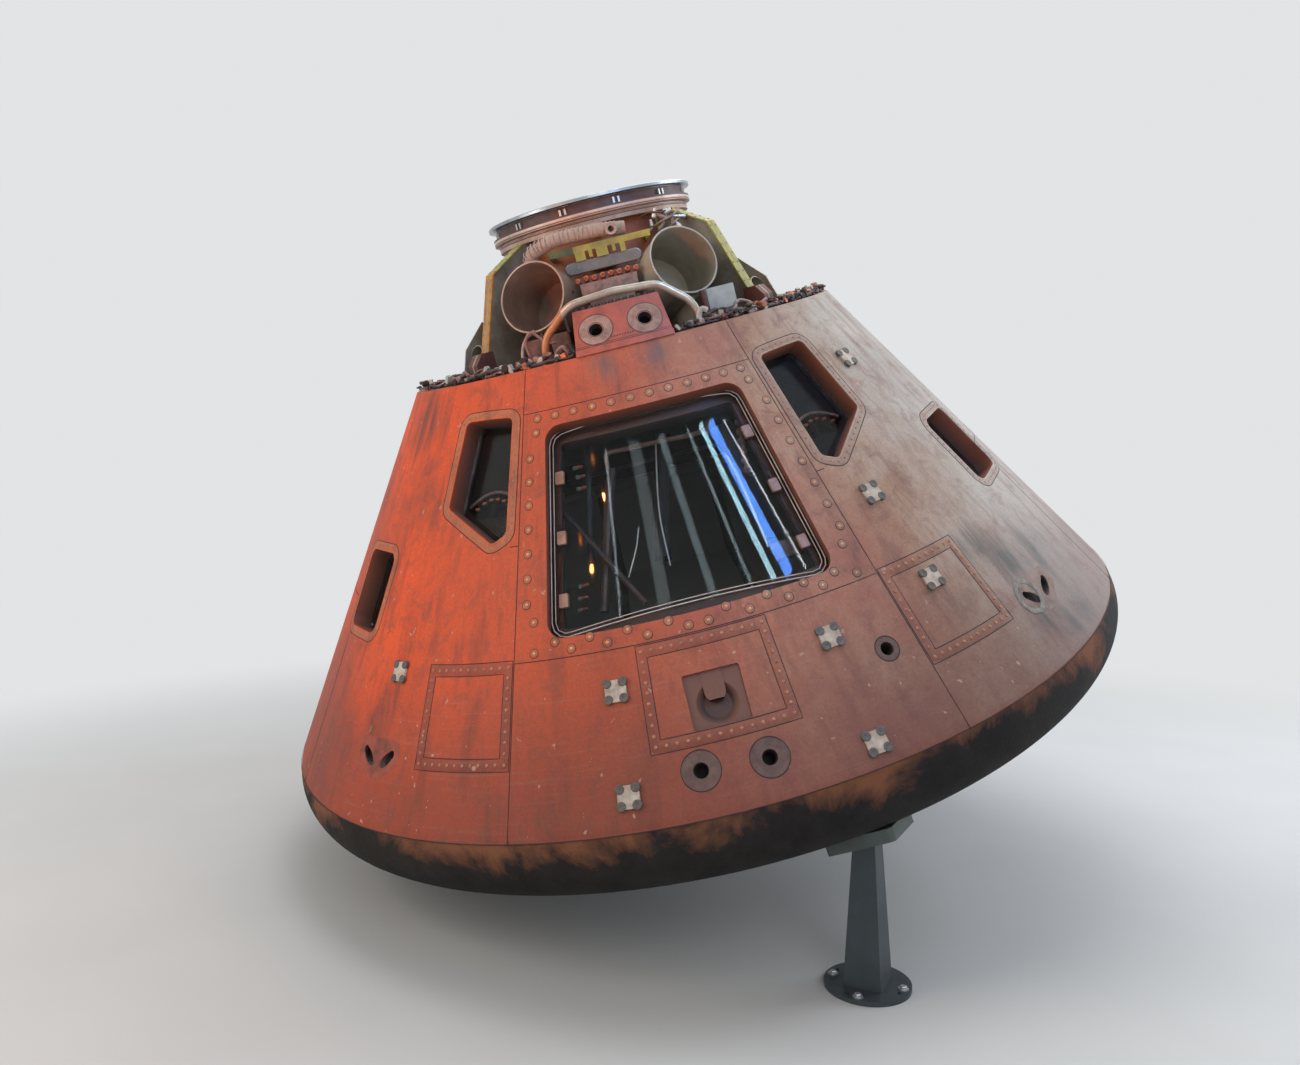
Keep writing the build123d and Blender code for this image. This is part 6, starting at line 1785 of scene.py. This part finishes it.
@dataclass
class TunnelFittings:
    """Rivet rows of the tunnel, and the fittings under the docking ring."""

    radius: float = 400 * MM
    # places in mm from the axis towards the back: manifold's unions, fittings
    union_back: float = -682.0
    fitting_back: float = -446.0
    # half the reach of the unions' row and its height in mm
    union_reach: float = 122.0
    union_up: float = 1832.0
    # heights of the rows in mm
    rows: tuple[float, ...] = (1540.0, 1600.0, 1780.0, 2024.0, 2044.0)
    # fittings: sideways, up, length, radius in mm, tilt in degrees
    fittings: Table = (
        (262, 2040, 44, 12, 20), (288, 2022, 50, 10, -60), (318, 2036, 36, 14, 80),
        (331, 1998, 46, 10, 10), (350, 1972, 40, 12, -30), (287, 1988, 60, 9, 45),
        (240, 2004, 30, 9, 0), (310, 2010, 26, 15, 90), (365, 2004, 52, 8, -75),
        (226, 1976, 34, 8, 60))
    # pipes before the fittings: sideways, back, up in mm
    pipes: tuple[Table, ...] = (
        ((205, -420, 2040), (240, -450, 2048), (290, -462, 2038), (340, -440, 2044)),
        ((250, -440, 1990), (290, -466, 2002), (335, -452, 2014), (372, -420, 2040)),
        ((300, -440, 1960), (330, -462, 1980), (366, -440, 1996), (392, -400, 1990)))

    def build(self) -> None:
        """Rivets evenly round the tunnel; small bodies in front of it with three pipes."""
        out, up = CAPSULE.outward(np.linspace(-180, 180, 96, endpoint=False)), CAPSULE.axes[2]
        places = np.concatenate([CAPSULE.origin + out * self.radius + up * height * MM
                                 for height in self.rows])
        axes = np.tile(frames_along(out, up), (len(self.rows), 1, 1))
        add_piece("tunnel_rivets", bolt_head(3.6 * MM, 2 * MM, 6).copies(places, axes), COPPER)
        union = stack(circle(14, 12 * MM), [(0.7, -14), (0.7, -4), (1.0, -3), (1.0, 6), (0.72, 9),
                                            (0.45, 9), (0.4, 3)], MM)
        side = np.linspace(-self.union_reach, self.union_reach, 8)
        spots = np.stack([side, np.full(8, self.union_back),
                          self.union_up + 3 * np.cos(side)], 1)
        add_piece("manifold_unions", union.copies(CAPSULE.at(spots * MM), CAPSULE.facing),
                  COPPER)
        body = stack(circle(12), [(0.6, -0.5), (1.0, -0.4), (1.0, 0.1), (0.7, 0.14), (0.7, 0.5)])
        shapes = []
        for side, high, length, radius, tilt in self.fittings:
            sine, cosine = math.sin(math.radians(tilt)), math.cos(math.radians(tilt))
            across, top, _ = CAPSULE.facing
            first, last = across * cosine - top * sine, across * sine + top * cosine
            sized = Shape(body.points * np.array([radius, radius, length]) * MM, body.faces)
            shapes.append(sized.copies(CAPSULE.at(np.array([side, self.fitting_back, high]) * MM),
                                       np.stack([first, np.cross(last, first), last])))
        for index, (name, finish) in enumerate((("", STEEL), ("_dark", TARNISH))):
            add_piece(f"ring_fittings{name}", Shape.joined(shapes[index::2]), finish)
        for index, corners in enumerate(self.pipes):
            Tube(f"ring_pipe_{index}", TARNISH if index else UMBER, Slot.MANIFOLD, 4.5,
                 corners).build()


@dataclass
class DuctWraps:
    """Cloth ties round the wrapped duct, each a little slanted."""

    seed: int = 5
    slant: float = 0.10
    pitch: float = 19 * MM
    # duct route: sideways, back, up in mm
    route: Table = (
        (-300.0, -470.0, 1925.0), (-290.0, -520.0, 1990.0), (-190.0, -560.0, 2021.9),
        (0.0, -575.0, 2019.9), (118.0, -560.0, 2003.9))

    def build(self) -> None:
        """Raised ridges: a round bead swept round the duct at each of many stations."""
        route = smooth_path(CAPSULE.at(np.array(self.route) * MM), 12)
        path = resampled(route, self.pitch)[2:-1]
        tangent = np.gradient(path, axis=0)
        tangent /= np.linalg.norm(tangent, axis=1, keepdims=True)
        tangent += np.random.default_rng(self.seed).normal(0, self.slant, path.shape)
        tangent /= np.linalg.norm(tangent, axis=1, keepdims=True)
        band = collar([(27.5 * MM, -3 * MM), (29.6 * MM, -3 * MM), (30.8 * MM, 0),
                       (29.6 * MM, 3 * MM), (27.5 * MM, 3 * MM)], 24)
        add_piece("duct_wraps", band.copies(path, frames_along(tangent, CAPSULE.axes[2])), DUCT)


@dataclass
class DeckClutter:
    """Cables, clamps and broken bits along the rim of the forward deck."""

    seed: int = 11
    # cables: steps, width of the window that smooths their wander, distance of the first
    # from the axis, room between two, height above the rim, wander in and up, radii in mm
    steps: int = 26
    window: int = 5
    first_r: float = 0.940
    apart: float = 0.012
    above: float = 6 * MM
    wanders: tuple[float, float] = (0.010, 0.018)
    cable_mm: tuple[float, float] = (4.0, 7.5)
    # bits: least and most size in mm, and distance from the axis
    bit_mm: tuple[float, float] = (7.0, 34.0)
    bit_r: tuple[float, float] = (0.935, 0.978)
    # stretches of rim: start azimuth, end azimuth, cables, bits
    stretches: Table = (
        (-51.0, -12.0, 4, 170), (12.0, 66.0, 4, 240), (-118.0, -53.0, 2, 22),
        (68.0, 116.0, 3, 60), (120.0, 240.0, 3, 80))
    tubes: tuple[Tube, ...] = (
        Tube("deck_loop_left", WIRE, Slot.BAND, 6, (
            (-372, -850, 1560), (-380, -850, 1640), (-352, -845, 1676), (-322, -845, 1650),
            (-300, -850, 1622), (-262, -850, 1618))),
        Tube("deck_hose_left", RUBBER, Slot.LATCH, 9, (
            (-212, -850, 1600), (-203, -862, 1566), (-178, -880, 1552), (-132, -905, 1556))),
        Tube("deck_pipe_left", TARNISH, Slot.MANIFOLD, 7, (
            (-410, -815, 1560), (-404, -800, 1610), (-380, -790, 1655), (-340, -770, 1680))),
        Tube("deck_cable_low", WIRE, Slot.BAND, 5, (
            (-650, -640, 1560), (-590, -705, 1580), (-540, -750, 1562), (-480, -800, 1568),
            (-420, -830, 1556))),
        Tube("deck_hose_right", RUBBER, Slot.LATCH, 8, (
            (330, -880, 1560), (372, -868, 1590), (410, -850, 1575), (450, -835, 1560))),
        Tube("deck_pipe_right", TARNISH, Slot.MANIFOLD, 7, (
            (455, -820, 1556), (480, -800, 1600), (520, -780, 1590), (560, -750, 1566),
            (610, -700, 1580))),
        Tube("deck_wire_right", WIRE, Slot.BAND, 4, (
            (215, -925, 1556), (262, -915, 1572), (300, -900, 1558), (350, -890, 1566),
            (400, -870, 1556))),
        Tube("left_can_pipe", UMBER, Slot.MANIFOLD, 7, (
            (-205, -745, 1640), (-210, -730, 1720), (-190, -700, 1770), (-150, -690, 1800))),
        Tube("tube_foot_right", WHITE, Slot.BAND, 11, (
            (300, -930, 1560), (306, -931, 1592), (322, -930, 1606), (340, -926, 1598))),
        Tube("tube_clamp_left", WIRE, Slot.BAND, 10, (
            (-256, -905, 1556), (-262, -905, 1580), (-240, -908, 1592), (-226, -908, 1570))))

    def wander(self, draw: np.random.Generator, spread: float) -> Array:
        """A smoothed random walk off a cable's line, one value per step."""
        loose = draw.normal(0, spread, self.steps + self.window - 1)
        return np.convolve(loose, np.ones(self.window) / self.window, "valid")

    def on_rim(self, azimuth: Array, radius: Array, height: Array) -> Array:
        """Points at azimuths, distances from the axis and heights up it."""
        return (CAPSULE.origin + CAPSULE.outward(azimuth) * radius[:, None]
                + height[:, None] * CAPSULE.axes[2])

    def build(self) -> None:
        """Named tubes, then random cables, clamps and bits from one seed."""
        for tube in self.tubes:
            tube.build()
        draw = np.random.default_rng(self.seed)
        cables: dict[str, list[Shape]] = {"dark": [], "pink": []}
        places, turns, sizes = [], [], []
        for low, high, strands, bits in self.stretches:
            azimuth = np.linspace(low, high, self.steps)
            for strand in range(strands):
                radius = (self.first_r + self.apart * strand
                          + self.wander(draw, self.wanders[0]))
                height = (CAPSULE.rim_h + self.above
                          + np.abs(self.wander(draw, self.wanders[1])))
                path = self.on_rim(azimuth, radius, height)
                section = circle(8, draw.uniform(*self.cable_mm) * MM)
                cables["dark" if strand % 2 else "pink"].append(
                    swept(section, path, CAPSULE.axes[2]))
            turns.append(draw.uniform(low, high, bits))
            sizes.append(np.exp(draw.uniform(*np.log(self.bit_mm), bits)) * MM)
            radius = draw.uniform(*self.bit_r, bits)
            height = (CAPSULE.rim_h + draw.uniform(0.2, 0.9, bits) * sizes[-1]
                      + draw.uniform(0, 12, bits) * MM)
            places.append(self.on_rim(turns[-1], radius, height))
        add_piece("rim_cables_dark", Shape.joined(cables["dark"]), RUBBER)
        add_piece("rim_cables_pink", Shape.joined(cables["pink"]), WIRE)
        places, sizes = np.concatenate(places), np.concatenate(sizes)
        frames = frames_along(CAPSULE.outward(np.concatenate(turns)), CAPSULE.axes[2])
        spin = draw.uniform(-0.8, 0.8, (len(places), 1, 1))
        across, up = frames[:, :1], frames[:, 1:2]
        frames = np.concatenate([across * np.cos(spin) + up * np.sin(spin),
                                 up * np.cos(spin) - across * np.sin(spin), frames[:, 2:]], 1)
        kinds = (
            ("clamps", rounded(1.3, 0.7, 0.15), [(0.9, -0.5), (1, -0.4), (1, 0.4), (0.85, 0.5)],
             TARNISH, Slot.MANIFOLD),
            ("nuts", circle(6, 0.5), [(0.9, -0.4), (1, -0.3), (1, 0.3), (0.8, 0.4)], COPPER,
             Slot.MANIFOLD),
            ("plugs", circle(12, 0.42), [(0.7, -0.7), (1, -0.5), (1, 0.3), (0.6, 0.5), (0.6, 0.9)],
             RUBBER, Slot.LATCH),
            ("ties", rounded(0.5, 1.1, 0.12), [(1, -0.3), (1, 0.3)], WHITE, Slot.BAND),
            ("lugs", rounded(0.9, 0.5, 0.2), [(0.7, -0.6), (1, -0.4), (1, 0.2), (0.5, 0.7)],
             UMBER, Slot.MANIFOLD),
            ("caps", circle(10, 0.5), [(0.8, -0.6), (1, -0.3), (0.9, 0.5)], JOINT, Slot.LATCH),
            ("strips", rounded(1.1, 0.35, 0.1), [(1, -0.2), (1, 0.2)], WIRE, Slot.BAND))
        for index, (name, outline, levels, finish, slot) in enumerate(kinds):
            pick = slice(index, None, len(kinds))
            bits = stack(outline, levels).copies(places[pick], frames[pick], sizes[pick])
            add_piece(f"rim_{name}", bits, finish)


@dataclass
class StandBolts:
    """Hexagon bolts with washers in the posts' foot flanges."""

    ring_r: float = 1.700
    # the front post's turn from the front, in degrees
    first_post: float = 17.6
    pitch_r: float = 122 * MM
    top: float = 16 * MM
    head_r: float = 12 * MM

    def build(self) -> None:
        """Four bolts on each of the three posts, on one circle."""
        posts = np.radians(self.first_post + 120 * np.arange(3))
        middle = self.ring_r * np.stack([np.sin(posts), -np.cos(posts)], 1)
        turns = posts[:, None] + np.radians(45 + 90 * np.arange(4))
        spots = middle[:, None] + self.pitch_r * np.stack([np.cos(turns), np.sin(turns)], -1)
        places = np.concatenate([spots.reshape(-1, 2), np.full((12, 1), self.top)], 1)
        washer = stack(circle(20, 1.5 * self.head_r), [(1, -1), (1, 2), (0.9, 2.6)], MM)
        head = stack(circle(6, self.head_r), [(1, 2), (1, 9), (0.85, 11)], MM)
        bolts = Shape.joined([washer, head]).copies(places, np.eye(3))
        add_piece("stand_bolts", bolts, STEEL)


def hang_lamp(name: str, kind: str, place: Place, turn: Matrix, settings: dict,
              lights_matt: bool = True) -> None:
    """Hangs one lamp.

    Args:
        name: Its name.
        kind: AREA or SPOT.
        place: Where it hangs.
        turn: Which way it looks, as a 3 by 3 matrix.
        settings: The light's properties, with its colour in hex.
        lights_matt: Whether it lights matt surfaces, or is there for its reflection.
    """
    data = bpy.data.lights.new(name, kind)
    for key, value in settings.items():
        setattr(data, key, linear(value)[:3] if key == "color" else value)
    lamp = bpy.data.objects.new(name, data)
    lamp.visible_diffuse = lights_matt
    lamp.matrix_world = Matrix.Translation(place) @ turn.to_4x4()
    bpy.context.scene.collection.objects.link(lamp)


def looking(place: Place, aim: Place) -> Matrix:
    """The turn of a lamp at one place that looks at another."""
    return (Vector(aim) - Vector(place)).to_track_quat("-Z", "Y").to_matrix()


@dataclass
class Studio:
    """Pale floor, pale surroundings, soft lamps and the photograph's camera."""

    photo_w: int = 1300
    focal_px: float = 997.3
    axis_above_middle_px: float = 45.0
    eye: Place = (-0.2315, -5.0649, 1.650)
    look_up_deg: float = 0.95
    sensor_mm: float = 36.0
    sight_end: float = 200.0
    floor_r: float = 60.0
    floor_sides: int = 64
    backdrop: str = "#e2e4e5"
    # soft lamps: name, place, width and height, watts, colour
    softboxes: tuple[tuple[str, Place, tuple[float, float], float, str], ...] = (
        ("top_softbox", (0.5, 0.5, 7.0), (6.0, 6.0), 240, "#ffffff"),
        ("right_softbox", (6.5, 1.0, 4.5), (4.0, 5.0), 260, "#eef5ff"),
        ("left_softbox", (-5.6, -3.3, 3.4), (2.6, 4.0), 135, "#fff3e6"),
        ("front_softbox", (1.5, -7.5, 4.0), (3.0, 3.0), 70, "#ffffff"))
    aim: Place = (-0.1, 0.0, 1.4)
    # lamps mirrored in the clear cover hang this far from it
    mirror_away: float = 4.0
    cover_depth: float = 62 * MM
    # streaks: azimuth at the top and the foot, width, colour, watts per quarter m2
    streaks: tuple[tuple[float, float, float, str, float], ...] = (
        (10.0, 11.6, 0.13, "#a9d8e8", 62.0), (11.9, 13.9, 0.24, "#5c98ff", 62.0),
        (14.7, 16.4, 0.05, "#dfeaf0", 40.0), (7.4, 8.4, 0.08, "#b8cdd4", 12.0),
        (-8.6, -9.8, 0.06, "#ccd6dc", 12.0), (2.2, 3.1, 0.18, "#a8bcc4", 9.0),
        (-3.0, -3.6, 0.30, "#aab4b8", 6.0))
    streak_ends: tuple[float, float] = (1.22, 0.68)
    # warm glints: azimuth and height
    glints: Table = ((-10.0, 1.070), (-13.2, 0.848))
    # a low warm lamp on the left, towards the ring and the front of the deck
    glow_place: Place = (-2.2, -3.6, 1.1)
    glow_aim: Place = (-0.42, -1.0, 2.62)

    def camera(self) -> None:
        """Puts the camera at the eye, level but for a slight look upwards."""
        data = bpy.data.cameras.new("camera")
        data.sensor_width = self.sensor_mm
        data.lens = self.focal_px / self.photo_w * self.sensor_mm
        data.shift_y = -self.axis_above_middle_px / self.photo_w
        data.clip_end = self.sight_end
        camera = bpy.data.objects.new("camera", data)
        camera.location = self.eye
        camera.rotation_euler = (math.radians(90 + self.look_up_deg), 0.0, 0.0)
        bpy.context.scene.collection.objects.link(camera)
        bpy.context.scene.camera = camera

    def floor(self) -> None:
        """A round sheet under the stand."""
        rim = np.concatenate([circle(self.floor_sides, self.floor_r),
                              np.zeros((self.floor_sides, 1))], 1)
        mesh = bpy.data.meshes.new("floor")
        mesh.from_pydata(rim.tolist(), [], [list(range(self.floor_sides))])
        mesh.materials.append(PaleFloor("pale_floor", self.backdrop).material())
        ground = bpy.data.objects.new("floor", mesh)
        bpy.context.scene.collection.objects.link(ground)

    def world(self) -> None:
        """Pale all round. It lights at one level and shows at another."""
        world = bpy.data.worlds.new("studio")
        bpy.context.scene.world = world
        world.use_nodes = True
        world.node_tree.nodes.clear()
        light, sight = (add_node(world.node_tree, "Background", {
            "Color": colour, "Strength": strength})
            for colour, strength in (("#f4f6f8", 0.40), (self.backdrop, 1.0)))
        both = add_node(world.node_tree, "MixShader", links={
            0: seen_rays(world.node_tree), 1: light, 2: sight})
        add_node(world.node_tree, "OutputWorld", links={"Surface": both})

    def mirrored(self, azimuth: float, height: float) -> Array:
        """Where a lamp shows in the clear cover at a place, as the camera sees it.

        Args:
            azimuth: Place on the cover, degrees.
            height: Its height up the axis, metres.

        Returns:
            place + away * (sight - 2 * (sight . normal) * normal).
        """
        place = CAPSULE.skin(azimuth, height, -self.cover_depth)
        normal = CAPSULE.normal(azimuth)
        sight = place - np.array(self.eye)
        sight /= np.linalg.norm(sight)
        return place + self.mirror_away * (sight - 2 * (sight @ normal) * normal)

    def streak(self, index: int, az_top: float, az_low: float, width: float, colour: str,
               power: float) -> None:
        """A narrow lamp whose reflection streaks the cover from top to foot.

        Args:
            index: Its number.
            az_top: Azimuth of the streak's upper end.
            az_low: Azimuth of its lower end.
            width: The lamp's width.
            colour: Hex colour of its light.
            power: Watts per quarter square metre.
        """
        top, low = (self.mirrored(az, h) for az, h in zip((az_top, az_low), self.streak_ends))
        middle, length = (top + low) / 2, float(np.linalg.norm(top - low))
        back = middle - CAPSULE.skin((az_top + az_low) / 2, sum(self.streak_ends) / 2)
        back /= np.linalg.norm(back)
        side = np.cross((top - low) / length, back)
        side /= np.linalg.norm(side)
        turn = Matrix(np.stack([side, np.cross(back, side), back], 1).tolist())
        hang_lamp(f"streak_{index}", "AREA", middle.tolist(), turn, {
            "shape": "RECTANGLE", "size": width, "size_y": length, "color": colour,
            "energy": power * length * width * 4}, lights_matt=False)

    def build(self) -> None:
        """Camera, floor, surroundings and lamps, the last ones for the reflections."""
        self.camera()
        self.floor()
        self.world()
        for name, place, (width, height), power, colour in self.softboxes:
            hang_lamp(name, "AREA", place, looking(place, self.aim), {
                "shape": "RECTANGLE", "size": width, "size_y": height, "energy": power,
                "color": colour})
        for index, streak in enumerate(self.streaks):
            self.streak(index, *streak)
        for index, (azimuth, height) in enumerate(self.glints):
            spot = self.mirrored(azimuth, height).tolist()
            turn = looking(spot, CAPSULE.skin(azimuth, height).tolist())
            hang_lamp(f"glint_{index}", "AREA", spot, turn, {
                "shape": "DISK", "size": 0.07, "energy": 34.0, "color": "#ff8a3c"},
                lights_matt=False)
        hang_lamp("warm_glow", "SPOT", self.glow_place, looking(self.glow_place, self.glow_aim), {
            "energy": 160.0, "color": "#ff8a45", "spot_size": math.radians(17),
            "spot_blend": 0.9, "shadow_soft_size": 0.15})
        bpy.context.scene.view_settings.view_transform = "Standard"


def corners(box: tuple[Vector, Vector]) -> list[list[float]]:
    """A box as plain lists of numbers."""
    return [list(box[0]), list(box[1])]


def main() -> None:
    """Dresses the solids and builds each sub-assembly in order."""
    logging.basicConfig(level=logging.INFO, format="%(message)s")
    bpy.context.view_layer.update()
    Studio().build()
    dress_solids()
    for part in (SkinSeams(), SkinBorders(), HatchSurround(), WindowSurrounds(),
                 WindowInsides(), StrutPads(), PortRims(), HatchInside(), PlateLines(),
                 GussetRivets(), TunnelFittings(), DuctWraps(), DeckClutter(), StandBolts()):
        part.build()
        log.info("built %s", type(part).__name__)


if __name__ == "__main__":
    main()
